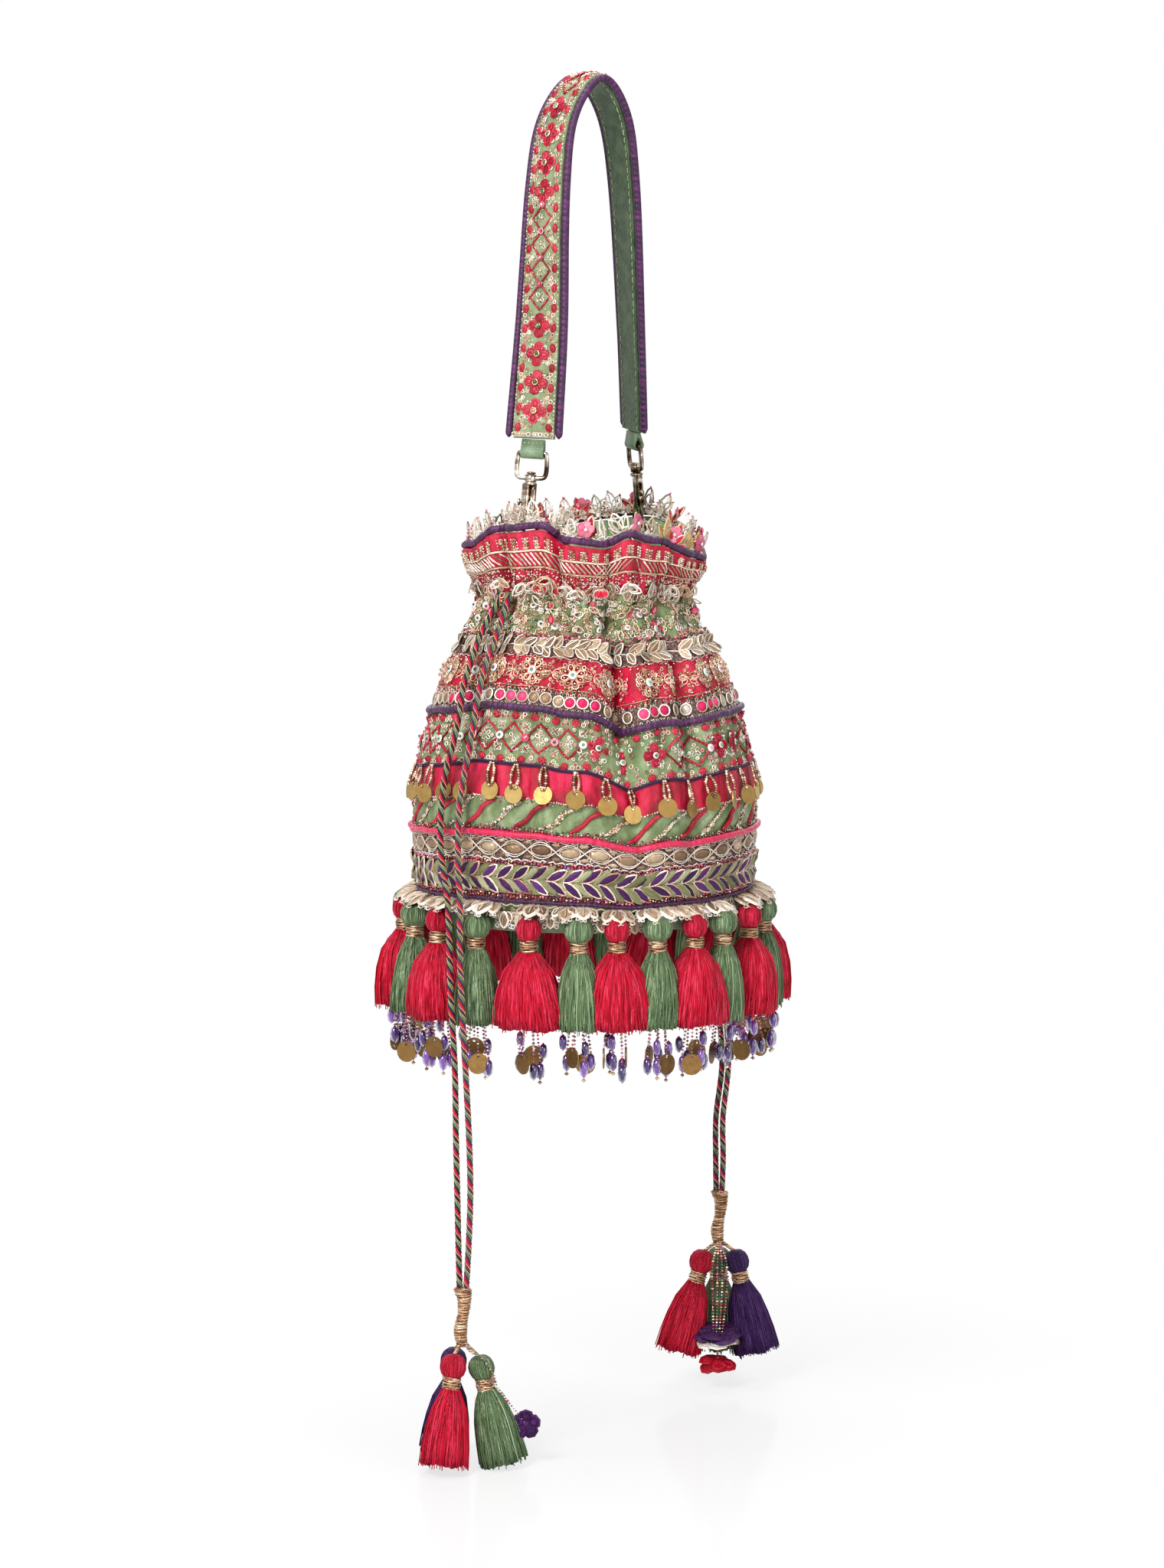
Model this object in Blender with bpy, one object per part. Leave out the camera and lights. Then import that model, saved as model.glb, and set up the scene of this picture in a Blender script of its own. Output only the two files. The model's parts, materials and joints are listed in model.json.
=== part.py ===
"""Embroidered potli bag, hanging from the top of its strap.

Metres, +Z up. The origin is the underside of the strap's top, where the bag is held.
X runs through both snap hooks, with the near side at -X.
"""

import math

import bmesh
import bpy
from mathutils import Matrix, Vector

# Strap
STRAP_DROP = 0.185
STRAP_HALF_SPAN = 0.0483
STRAP_HALF_WIDTH = 0.0110
STRAP_FACE_THICKNESS = 0.0026
STRAP_BACKING_THICKNESS = 0.0015
STRAP_PIPING_RADIUS = 0.0020
STRAP_STATIONS = 30

# Bag body, from the mean rim down
RIM_BELOW_STRAP_END = 0.0555
NECK_DEPTH = 0.0295
SHOULDER_HEIGHT = 0.0605
EMBROIDERED_HEIGHT = 0.0280
COIN_BAND_HEIGHT = 0.0340
LEAF_BAND_HEIGHT = 0.0325
HEM_TURN = 0.0045
RIM_RADIUS = 0.0650
RIM_OVAL = 0.0020
NECK_RADIUS = 0.0535
SWAG_RADIUS = 0.0815
EDGING_RADIUS = 0.0890
LOWER_RADIUS = 0.0910
HEM_RADIUS = 0.0885
FOLD_DEPTH = 0.0070
FOLD_WIDTH_DEG = 6.5
SHELL_THICKNESS = 0.0025
SHELL_FLOOR = 0.0025
LINING_THICKNESS = 0.0008
LINING_GAP = 0.0006
BASE_INSET = 0.0013
BASE_HEIGHT = 0.0100
COLUMNS = 48

# Trims
PIPING_RADIUS = 0.0020
LACE_THICKNESS = 0.0008
MOUTH_LACE_HEIGHT = 0.0150
MOUTH_LACE_SCALLOP = 0.0035
MOUTH_LACE_TUCK = 0.0030
MOUTH_LACE_FLARE = 0.0035
HEM_LACE_DROP = 0.0085
HEM_LACE_SCALLOP = 0.0025
COIN_COUNT = 36
COIN_WIDTH = 0.0102
COIN_STRING_WIDTH = 0.0028
COIN_STRING_LENGTH = 0.0100
COIN_LIFT = 0.0011
COIN_THICKNESS = 0.0011
EDGING_HEIGHT = 0.0030

# Hardware, along the hook's own axis
RING_INSET = 0.0091429
TAB_DROP = 0.0070
TAB_WIDTH = 0.0122
TAB_THICKNESS = 0.0013
EYE_WIRE = 0.00125
EYE_HEIGHT = 0.0130
EYE_HALF_WIDTH = 0.0080
BOSS_RADIUS = 0.0031
BOSS_HEIGHT = 0.0038
BOSS_BELOW_BAR = 0.0022
STEM_RADIUS = 0.00135
STEM_HEAD_RADIUS = 0.0024
STEM_HEAD_HEIGHT = 0.0012
COLLAR_RADIUS = 0.0034
COLLAR_HEIGHT = 0.0018
BARREL_RADIUS = 0.0023
BARREL_LENGTH = 0.0165
BARREL_OFFSET = 0.0020
BORE_RADIUS = 0.0015
BORE_ROOF = 0.0010
BOLT_RADIUS = 0.0012
BOLT_REACH = 0.0075
BOLT_TRAVEL = 0.0040
THUMB_NECK_HEIGHT = 0.0022
THUMB_NECK_WIDTH = 0.0013
SPRING_LENGTH = 0.0059
SPRING_WIRE = 0.00025
SPRING_TURNS = 4
ARM_RADIUS = 0.0016
ARM_OFFSET = 0.0019
ARM_BULGE = 0.0059
ARM_DROP = 0.0129
ARM_LOW_X = -0.0017
RING_WIRE = 0.0010
RING_HALF_WIDTH = 0.0050
RING_HEIGHT = 0.0100
RING_TURN_DEG = 75.0
TAPE_WIDTH = 0.0066

# Cords and tassels
CORD_RADIUS = 0.00185
CORD_EXIT_DEG = {"near": 165.5, "far": 345.5}
CASING_RADIUS = 0.0476
CASING_STEP = 0.0041
EXIT_SPREAD_DEG = 14.0
STRAND_POINTS = 29
LOOP_POINTS = 16
SLOT_WIDTH = 0.0150
SLOT_HEIGHT = 0.0052
SLOT_REACH = 0.0100
BINDING_RADIUS = 0.0042
BINDING_LENGTH = 0.0305
STRAND_RADIUS = 0.0011
TASSEL_BALL = 0.0069
TASSEL_WRAP_RADIUS = 0.0043
TASSEL_WRAP_HEIGHT = 0.0072
TASSEL_SKIRT = 0.0385
FRINGE_SKIRT_RADIUS = 0.0086
SKIRT_STRETCH = 1.25
FRINGE_DROP = 0.0290
FRINGE_LOOP = 0.0004
CLUSTER_SKIRT_RADIUS = 0.0105

CLEARANCE = 0.0003
SIDES = {"near": -1, "far": 1}

BASE_RADIUS = HEM_RADIUS - BASE_INSET

# Depths of the body's seams below the mean rim
SWAG_DEPTH = NECK_DEPTH + SHOULDER_HEIGHT
EDGING_DEPTH = SWAG_DEPTH + EMBROIDERED_HEIGHT
LOWER_DEPTH = EDGING_DEPTH + COIN_BAND_HEIGHT
HEM_DEPTH = LOWER_DEPTH + LEAF_BAND_HEIGHT
SHELL_BOTTOM_DEPTH = HEM_DEPTH + HEM_TURN

STRAP_END_Z = -STRAP_DROP
RIM_Z = STRAP_END_Z - RIM_BELOW_STRAP_END
NECK_Z = RIM_Z - NECK_DEPTH
SHELL_BOTTOM_Z = RIM_Z - SHELL_BOTTOM_DEPTH
BASE_TOP_Z = SHELL_BOTTOM_Z - CLEARANCE
BASE_BOTTOM_Z = BASE_TOP_Z - BASE_HEIGHT
HEM_LACE_RADIUS = HEM_RADIUS - CLEARANCE
FRINGE_RADIUS = HEM_LACE_RADIUS + LACE_THICKNESS + 2 * CLEARANCE + TASSEL_BALL

# Levels of the hook on its own axis, from the eye's bar
BODY_LENGTH = CLEARANCE + COLLAR_HEIGHT + BARREL_LENGTH
HOOK_REACH = TAB_DROP + 2 * CLEARANCE + EYE_HEIGHT + BOSS_BELOW_BAR + BODY_LENGTH + ARM_DROP
HOOK_LEAN = math.asin((RIM_RADIUS - RING_INSET - STRAP_HALF_SPAN) / HOOK_REACH)
BOSS_LOW = -(EYE_HEIGHT + BOSS_BELOW_BAR)
BOSS_HIGH = BOSS_LOW + BOSS_HEIGHT
COLLAR_TOP = BOSS_LOW - CLEARANCE
COLLAR_LOW = COLLAR_TOP - COLLAR_HEIGHT
BARREL_LOW = COLLAR_LOW - BARREL_LENGTH
BORE_TOP = COLLAR_LOW - BORE_ROOF
SPRING_TOP = BORE_TOP - CLEARANCE
SPRING_LOW = SPRING_TOP - SPRING_LENGTH
BOLT_TOP = SPRING_LOW - CLEARANCE
BOLT_LOW = BARREL_LOW - BOLT_REACH
ARM_TIP = BOLT_LOW - CLEARANCE

# Strap centreline: shares of the half span along X and Y, and share of the drop
STRAP_ROUTE = [
    (-1.00, 0.000, -1.000),
    (-0.78, 0.041, -0.690),
    (-0.57, 0.093, -0.300),
    (-0.34, 0.104, -0.105),
    (0.06, 0.000, 0.000),
    (0.40, -0.104, -0.095),
    (0.64, -0.093, -0.300),
    (0.86, -0.041, -0.690),
    (1.00, 0.000, -1.000),
]
STRAP_TWIST_DEG = [20.0, 8.0, -4.0, -12.0, -21.0, -27.0, -30.0, -33.0, -34.0]

# Folds of the body: angle and share of the full depth
FOLDS = [
    (22.5, 0.7),
    (60.0, 0.9),
    (97.5, 0.7),
    (127.5, 0.6),
    (165.0, 0.8),
    (225.0, 1.0),
    (255.0, 0.75),
    (307.5, 0.6),
    (345.0, 0.8),
]
FOLD_FADE = [
    (0.0, 0.10),
    (NECK_DEPTH, 0.10),
    (0.5 * (NECK_DEPTH + SWAG_DEPTH), 0.80),
    (SWAG_DEPTH, 1.00),
    (EDGING_DEPTH, 0.50),
    (LOWER_DEPTH, 0.22),
    (HEM_DEPTH, 0.05),
    (SHELL_BOTTOM_DEPTH, 0.0),
]

# Height of the rim above its mean, which is highest at the hooks, by angle
RIM_WAVE = [
    (0, 0.0080),
    (50, 0.0020),
    (90, -0.0045),
    (125, -0.0060),
    (145, -0.0035),
    (172, 0.0065),
    (194, 0.0090),
    (203, 0.0015),
    (224, -0.0010),
    (234, 0.0040),
    (250, 0.0000),
    (280, -0.0090),
    (302, -0.0135),
    (330, -0.0040),
]

# How far the body's bands ride up or down, by angle
BAND_WAVE = [
    (0, 0.0040),
    (30, 0.0030),
    (60, -0.0020),
    (95, -0.0030),
    (129, -0.0025),
    (150, 0.0020),
    (174, 0.0080),
    (197, 0.0070),
    (212, 0.0040),
    (228, -0.0040),
    (242, -0.0010),
    (255, -0.0015),
    (275, 0.0005),
    (300, 0.0010),
    (330, -0.0010),
    (345, -0.0030),
]
BAND_FADE = [
    (0.0, 0.0),
    (NECK_DEPTH, 0.0),
    (SWAG_DEPTH, 1.0),
    (EDGING_DEPTH, 1.0),
    (LOWER_DEPTH, 0.6),
    (HEM_DEPTH, 0.25),
    (SHELL_BOTTOM_DEPTH, 0.0),
]

# Routes of the free strands, from the neck down: radius, angle and height in mm and degrees
NEAR_STRANDS = (
    [
        (60.5, 161.2, -275.5),
        (69.5, 162.0, -287.0),
        (78.0, 164.5, -299.0),
        (86.0, 165.8, -314.0),
        (91.5, 167.5, -328.0),
        (95.0, 167.0, -343.0),
        (97.5, 165.0, -358.0),
        (99.0, 164.0, -378.0),
        (100.5, 164.8, -398.0),
        (102.0, 167.5, -413.0),
        (105.0, 170.3, -425.0),
        (110.0, 173.4, -446.0),
        (112.5, 174.8, -470.0),
        (113.0, 176.4, -511.0),
        (113.2, 176.8, -549.0),
        (113.5, 177.4, -586.0),
        (113.9, 177.8, -606.0),
    ],
    [
        (63.5, 170.6, -279.0),
        (72.5, 172.4, -291.0),
        (80.5, 173.3, -302.0),
        (87.5, 174.2, -315.0),
        (93.0, 175.0, -330.0),
        (96.5, 174.4, -346.0),
        (99.0, 173.0, -365.0),
        (100.5, 172.2, -384.0),
        (102.0, 173.0, -409.0),
        (104.5, 174.8, -422.0),
        (110.5, 177.2, -446.0),
        (112.5, 178.4, -472.0),
        (113.0, 179.9, -511.0),
        (113.0, 181.0, -548.0),
        (113.3, 181.4, -576.0),
        (113.7, 181.0, -602.0),
    ],
)
FAR_STRANDS = (
    [
        (60.5, 341.4, -275.5),
        (69.5, 343.0, -287.0),
        (78.0, 344.0, -299.0),
        (86.0, 344.6, -314.0),
        (91.5, 345.0, -328.0),
        (95.0, 345.4, -343.0),
        (97.5, 346.0, -358.0),
        (99.5, 347.0, -380.0),
        (101.5, 348.5, -402.0),
        (105.0, 350.0, -421.0),
        (111.5, 351.5, -446.0),
        (116.0, 352.0, -475.0),
        (120.0, 352.2, -511.0),
        (122.0, 352.0, -540.0),
        (121.0, 353.4, -570.0),
        (120.8, 353.2, -592.0),
    ],
    [
        (61.5, 350.2, -276.5),
        (70.5, 351.0, -288.0),
        (79.0, 351.2, -300.0),
        (86.5, 351.4, -314.0),
        (92.0, 351.6, -329.0),
        (96.0, 351.8, -345.0),
        (98.5, 352.2, -362.0),
        (100.5, 352.6, -384.0),
        (102.5, 353.4, -405.0),
        (106.0, 354.2, -424.0),
        (112.5, 354.8, -448.0),
        (117.0, 355.0, -477.0),
        (121.0, 354.8, -511.0),
        (123.4, 354.6, -540.0),
        (122.6, 356.2, -570.0),
        (121.2, 355.8, -592.0),
    ],
)
CORD_BINDING = {"near": (114.4, 179.2, -626.0), "far": (121.2, 354.6, -612.0)}

# Fringe tassels seen in front; the rest share the remaining arc evenly
FRONT_FRINGE_DEG = [144.7, 160.3, 177.2, 195.6, 211.3, 223.1, 236.3, 249.7, 261.8, 277.4, 293.0]
FRINGE_COUNT = 24

COLOURS = {
    "sage": (0.27, 0.43, 0.20),
    "leather": (0.09, 0.13, 0.06),
    "crimson": (0.67, 0.01, 0.05),
    "green": (0.12, 0.28, 0.13),
    "purple": (0.07, 0.015, 0.13),
    "gold": (0.50, 0.37, 0.20),
    "brass": (0.60, 0.46, 0.32),
    "satin": (0.30, 0.44, 0.22),
}
METALS = {"gold": 0.7, "brass": 1.0}


def material(colour):
    """The Principled material of that colour name, made once."""
    found = bpy.data.materials.get(colour)
    if found:
        return found
    made = bpy.data.materials.new(colour)
    made.use_nodes = True
    shader = made.node_tree.nodes["Principled BSDF"]
    shader.inputs["Base Color"].default_value = (*COLOURS[colour], 1.0)
    shader.inputs["Metallic"].default_value = METALS.get(colour, 0.0)
    shader.inputs["Roughness"].default_value = 0.3 if colour == "brass" else 0.7
    return made


def add(name, data, colour, parent=None):
    """Link an object of that data and colour into the scene."""
    made = bpy.data.objects.new(name, data)
    bpy.context.scene.collection.objects.link(made)
    if colour:
        data.materials.append(material(colour))
    made.parent = parent
    return made


def mesh_of(name, points, faces):
    """A mesh of those points and faces, with its faces turned outwards."""
    data = bpy.data.meshes.new(name)
    data.from_pydata([tuple(p) for p in points], [], faces)
    work = bmesh.new()
    work.from_mesh(data)
    bmesh.ops.recalc_face_normals(work, faces=work.faces)
    work.to_mesh(data)
    work.free()
    return data


def smooth_line(points, steps, closed=False):
    """Points of a Catmull-Rom curve through the given ones, some steps to each stretch."""
    route = [Vector(p) for p in points]
    count = len(route)
    line = []
    stretches = count if closed else count - 1
    for i in range(stretches):
        if closed:
            a, b, c, d = (route[(i + k) % count] for k in (-1, 0, 1, 2))
        else:
            b, c = route[i], route[i + 1]
            a = route[i - 1] if i else b * 2 - c
            d = route[i + 2] if i + 2 < count else c * 2 - b
        for k in range(steps):
            t = k / steps
            line.append(
                0.5 * (b * 2 + (c - a) * t + (a * 2 - b * 5 + c * 4 - d) * t**2)
                + 0.5 * (b * 3 - a - c * 3 + d) * t**3
            )
    if not closed:
        line.append(route[-1])
    return line


def evenly(line, count):
    """That many points at even distances along a line."""
    along = [0.0]
    for a, b in zip(line, line[1:]):
        along.append(along[-1] + (b - a).length)
    found = []
    i = 0
    for k in range(count):
        at = along[-1] * k / (count - 1)
        while i < len(line) - 2 and along[i + 1] < at:
            i += 1
        share = (at - along[i]) / (along[i + 1] - along[i])
        found.append(line[i].lerp(line[i + 1], min(1.0, share)))
    return found


def tube(name, line, radius, colour, closed=False, resolution=1, parent=None):
    """A round tube along a line, as a bevelled curve with filled caps."""
    data = bpy.data.curves.new(name, "CURVE")
    data.dimensions = "3D"
    data.bevel_depth = radius
    data.bevel_resolution = resolution
    data.use_fill_caps = True
    spline = data.splines.new("POLY")
    spline.points.add(len(line) - 1)
    for point, place in zip(spline.points, line):
        point.co = (*place, 1.0)
    spline.use_cyclic_u = closed
    return add(name, data, colour, parent)


def rings(name, loops, colour=None, parent=None, closed=False):
    """A body of rings joined in turn, capped at both ends unless the last ring meets the first."""
    count = len(loops[0])
    points = [p for loop in loops for p in loop]
    faces = []
    total = len(loops)
    for i in range(total if closed else total - 1):
        low, high = i * count, (i + 1) % total * count
        for k in range(count):
            j = (k + 1) % count
            faces.append((low + k, low + j, high + j))
            faces.append((low + k, high + j, high + k))
    if not closed:
        faces.append(tuple(range(count)))
        faces.append(tuple(range((total - 1) * count, total * count)))
    return add(name, mesh_of(name, points, faces), colour, parent)


def swept(name, path, radius, sides, colour=None, parent=None, closed=False, flat=Vector((0, 1, 0))):
    """A round rod along a path that keeps about square to the flat direction."""
    loops = []
    last = len(path) - 1
    for i, place in enumerate(path):
        after = path[(i + 1) % len(path)] if closed else path[min(i + 1, last)]
        before = path[i - 1] if closed or i else place
        ahead = (after - before).normalized()
        outward = flat.cross(ahead).normalized()
        upright = ahead.cross(outward)
        loops.append(
            [
                place
                + outward * (radius * math.cos(math.tau * k / sides))
                + upright * (radius * math.sin(math.tau * k / sides))
                for k in range(sides)
            ]
        )
    return rings(name, loops, colour, parent, closed)


def turned(name, profile, sides, colour=None, parent=None):
    """A body turned about Z from (radius, height) rows, where a third value stretches a row along X."""
    loops = []
    for radius, height, *more in profile:
        stretch = more[0] if more else 1.0
        loops.append(
            [
                (
                    stretch * radius * math.cos(math.tau * k / sides),
                    radius * math.sin(math.tau * k / sides),
                    height,
                )
                for k in range(sides)
            ]
        )
    return rings(name, loops, colour, parent)


def box(name, low, high, colour=None, parent=None):
    """A box between two corners."""
    corners = [
        [(x, y, z) for x, y in ((low[0], low[1]), (high[0], low[1]), (high[0], high[1]), (low[0], high[1]))]
        for z in (low[2], high[2])
    ]
    return rings(name, corners, colour, parent)


def combine(target, other, operation):
    """Join or cut a body with another, which stays behind as a hidden guide."""
    step = target.modifiers.new(other.name, "BOOLEAN")
    step.operation = operation
    step.object = other
    other.hide_render = True
    other.display_type = "WIRE"


def interpolate(table, at):
    """The value at a place in a table of (place, value) rows in order."""
    if at <= table[0][0]:
        return table[0][1]
    for (x0, y0), (x1, y1) in zip(table, table[1:]):
        if at <= x1:
            return y0 + (y1 - y0) * (at - x0) / (x1 - x0)
    return table[-1][1]


def smooth_table(table, at):
    """A cubic through the rows of a table, for the body's profile."""
    last = len(table) - 1
    i = 0
    while i < last - 1 and at > table[i + 1][0]:
        i += 1
    (x1, y1), (x2, y2) = table[i], table[i + 1]
    x0, y0 = table[max(0, i - 1)]
    x3, y3 = table[min(last, i + 2)]
    slope1 = (y2 - y0) / (x2 - x0)
    slope2 = (y3 - y1) / (x3 - x1)
    h = x2 - x1
    t = min(1.0, max(0.0, (at - x1) / h))
    return (
        y1 * (1 + 2 * t) * (1 - t) ** 2
        + slope1 * h * t * (1 - t) ** 2
        + y2 * t * t * (3 - 2 * t)
        + slope2 * h * t * t * (t - 1)
    )


def wave(table, degrees):
    """The value at an angle of a table that goes round, eased between its rows."""
    degrees %= 360.0
    rows = table + [(table[0][0] + 360.0, table[0][1])]
    for (a, low), (b, high) in zip(rows, rows[1:]):
        if a <= degrees <= b:
            share = (degrees - a) / (b - a)
            return low + (high - low) * share * share * (3 - 2 * share)
    return table[0][1]


BODY_PROFILE = [
    (0.0, RIM_RADIUS),
    (0.42 * NECK_DEPTH, 0.70 * RIM_RADIUS + 0.30 * NECK_RADIUS),
    (NECK_DEPTH, NECK_RADIUS),
    (NECK_DEPTH + 0.30 * (SWAG_DEPTH - NECK_DEPTH), 0.72 * NECK_RADIUS + 0.28 * SWAG_RADIUS),
    (NECK_DEPTH + 0.60 * (SWAG_DEPTH - NECK_DEPTH), 0.32 * NECK_RADIUS + 0.68 * SWAG_RADIUS),
    (SWAG_DEPTH, SWAG_RADIUS),
    (EDGING_DEPTH, EDGING_RADIUS),
    (LOWER_DEPTH, LOWER_RADIUS),
    (HEM_DEPTH, HEM_RADIUS),
    (SHELL_BOTTOM_DEPTH, BASE_RADIUS),
]


def body_radius(degrees, depth):
    """Radius of the bag's outer cloth at an angle and a depth below the rim."""
    radius = smooth_table(BODY_PROFILE, depth)
    radius += RIM_OVAL * math.cos(2 * math.radians(degrees)) * max(0.0, 1 - depth / NECK_DEPTH)
    fold = 0.0
    for centre, share in FOLDS:
        off = (degrees - centre + 180.0) % 360.0 - 180.0
        fold += share * math.exp(-((off / FOLD_WIDTH_DEG) ** 2))
    return radius - FOLD_DEPTH * fold * interpolate(FOLD_FADE, depth)


def body_height(degrees, depth):
    """Height of a line on the bag's cloth at an angle and a depth below the rim."""
    rim = wave(RIM_WAVE, degrees) * max(0.0, 1 - depth / NECK_DEPTH)
    return RIM_Z - depth + rim + wave(BAND_WAVE, degrees) * interpolate(BAND_FADE, depth)


def polar(radius, degrees, height):
    """The point at a radius, an angle and a height."""
    turn = math.radians(degrees)
    return Vector((radius * math.cos(turn), radius * math.sin(turn), height))


def body_ring(depth, inward=0.0, lift=0.0):
    """A ring of points round the body, one to a column, set inwards and lifted by some."""
    return [
        polar(
            body_radius(360.0 * k / COLUMNS, depth) - inward,
            360.0 * k / COLUMNS,
            body_height(360.0 * k / COLUMNS, depth) + lift,
        )
        for k in range(COLUMNS)
    ]


WALL_ROWS = [
    0.0,
    0.45 * NECK_DEPTH,
    0.72 * NECK_DEPTH,
    NECK_DEPTH,
    1.28 * NECK_DEPTH,
    0.65 * NECK_DEPTH + 0.35 * SWAG_DEPTH,
    0.33 * NECK_DEPTH + 0.67 * SWAG_DEPTH,
    SWAG_DEPTH,
]
OUTER_ROWS = WALL_ROWS + [EDGING_DEPTH, 0.5 * (EDGING_DEPTH + LOWER_DEPTH), LOWER_DEPTH, HEM_DEPTH]
INNER_ROWS = WALL_ROWS + [EDGING_DEPTH, LOWER_DEPTH]
LINING_ROWS = [depth for depth in INNER_ROWS if depth != NECK_DEPTH]
LINING_INNER_ROWS = [depth for depth in LINING_ROWS if depth != EDGING_DEPTH]


def lining_ring(depth, inward=0.0):
    """A ring of the lining's outer face, which leaves room for the cords round the neck."""
    ring = body_ring(depth, SHELL_THICKNESS + LINING_GAP + inward)
    if abs(depth - NECK_DEPTH) > 0.3 * NECK_DEPTH:
        return ring
    half_step = math.radians((360.0 - 2 * EXIT_SPREAD_DEG) / LOOP_POINTS / 2)
    radius = CASING_RADIUS * math.cos(half_step) - CORD_RADIUS - 2 * CLEARANCE - inward
    return [polar(radius, 360.0 * k / COLUMNS, point.z) for k, point in enumerate(ring)]


def make_shell():
    """The padded outer bag, a cup open at the rim."""
    outer = [body_ring(depth) for depth in OUTER_ROWS]
    foot = [polar(BASE_RADIUS, 360.0 * k / COLUMNS, SHELL_BOTTOM_Z) for k in range(COLUMNS)]
    floor_z = SHELL_BOTTOM_Z + SHELL_FLOOR
    inner_foot = [
        polar(BASE_RADIUS - SHELL_THICKNESS, 360.0 * k / COLUMNS, floor_z) for k in range(COLUMNS)
    ]
    inner = [body_ring(depth, SHELL_THICKNESS) for depth in INNER_ROWS]
    shell = rings("bag_shell", [foot, *reversed(outer), *inner, inner_foot], "sage")
    for side in SIDES:
        slot = box(
            f"{side}_slot_cutter",
            (NECK_RADIUS - SLOT_REACH, -0.5 * SLOT_WIDTH, -0.5 * SLOT_HEIGHT),
            (NECK_RADIUS + SLOT_REACH, 0.5 * SLOT_WIDTH, 0.5 * SLOT_HEIGHT),
        )
        slot.location.z = NECK_Z + casing_lift(side)
        slot.rotation_euler.z = math.radians(CORD_EXIT_DEG[side])
        combine(shell, slot, "DIFFERENCE")
    return shell


def casing_lift(side):
    """Height of a drawstring's loop in the casing above the neck's middle."""
    return CASING_STEP * (0.5 if side == "near" else -0.5)


def make_lining():
    """The satin lining with a tape for each ring."""
    outer = [lining_ring(depth) for depth in LINING_ROWS]
    inner = [lining_ring(depth, LINING_THICKNESS) for depth in LINING_INNER_ROWS]
    floor_z = SHELL_BOTTOM_Z + SHELL_FLOOR + LINING_GAP
    inset = BASE_RADIUS - SHELL_THICKNESS - LINING_GAP
    foot = [polar(inset, 360.0 * k / COLUMNS, floor_z) for k in range(COLUMNS)]
    inner_foot = [
        polar(inset - LINING_THICKNESS, 360.0 * k / COLUMNS, floor_z + LINING_THICKNESS)
        for k in range(COLUMNS)
    ]
    lining = rings("bag_lining", [inner_foot, *reversed(inner), *outer, foot], "satin")
    for side, sign in SIDES.items():
        frame = ring_frame(side)
        bar = frame @ Vector((0.0, 0.0, -RING_HEIGHT))
        half_height = RING_WIRE + 2 * CLEARANCE + 1.5 * LINING_THICKNESS
        degrees = 180.0 if side == "near" else 0.0
        depth = mouth_depth(degrees, bar.z - half_height)
        inset = SHELL_THICKNESS + LINING_GAP + 0.5 * LINING_THICKNESS
        wall = sign * (body_radius(degrees, depth) - inset)
        inside = bar.x - sign * half_height
        low = (min(inside, wall), bar.y - 0.5 * TAPE_WIDTH, bar.z - half_height)
        high = (max(inside, wall), bar.y + 0.5 * TAPE_WIDTH, bar.z + half_height)
        combine(lining, box(f"{side}_tape_guide", low, high), "UNION")
        path = [frame @ place for place in ring_path()]
        cutter = swept(
            f"{side}_tape_cutter", path, RING_WIRE + 2 * CLEARANCE, 6, closed=True, flat=frame.col[1].xyz
        )
        combine(lining, cutter, "DIFFERENCE")
    return lining


def mouth_depth(degrees, height):
    """The depth below the rim of a height on the mouth's wall."""
    rim = wave(RIM_WAVE, degrees)
    return (RIM_Z + rim - height) / (1 + rim / NECK_DEPTH)


def make_base():
    """The stiff round base under the shell."""
    sides = COLUMNS
    profile = [(BASE_RADIUS, BASE_TOP_Z), (BASE_RADIUS, BASE_BOTTOM_Z)]
    return turned("base_panel", profile, sides, "sage")


def ring_normal(ring_above, ring_here, ring_below, k):
    """The outward direction of the body's surface at one column of a ring."""
    count = len(ring_here)
    round_it = ring_here[(k + 1) % count] - ring_here[k - 1]
    down_it = ring_below[k] - ring_above[k]
    return down_it.cross(round_it).normalized()


def make_piping(name, depth, colour):
    """A corded piping that lies on the body along a line of its cloth."""
    step = 0.006
    above, here, below = (body_ring(d) for d in (depth - step, depth, depth + step))
    line = []
    for k in range(COLUMNS):
        normal = ring_normal(above, here, below, k)
        line.append(here[k] + normal * (PIPING_RADIUS + 2 * CLEARANCE))
    return tube(name, line, PIPING_RADIUS, colour, closed=True)


def make_mouth_piping():
    """The corded piping that binds the rim, over the shell's and the lining's edges."""
    inset = 0.5 * (SHELL_THICKNESS + LINING_GAP)
    return tube(
        "mouth_piping",
        body_ring(0.0, inset, PIPING_RADIUS + 4 * CLEARANCE),
        PIPING_RADIUS,
        "purple",
        closed=True,
    )


def make_mouth_lace():
    """The lace that stands up inside the rim and leans out over the piping, with a scalloped edge."""
    foot = SHELL_THICKNESS + LINING_GAP + LINING_THICKNESS + 2 * CLEARANCE
    over_piping = 2 * PIPING_RADIUS + 5 * CLEARANCE
    loops = []
    for more in (0.0, LACE_THICKNESS):
        tucked = body_ring(MOUTH_LACE_TUCK, foot + more)
        middle = body_ring(0.0, foot + more, over_piping)
        top = body_ring(0.0, foot + more - MOUTH_LACE_FLARE, MOUTH_LACE_HEIGHT)
        scallop = Vector((0.0, 0.0, MOUTH_LACE_SCALLOP))
        loops.append([tucked, middle, [p + scallop * (k % 2) for k, p in enumerate(top)]])
    return rings("mouth_lace", [*loops[0], *reversed(loops[1])], "gold", closed=True)


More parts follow.
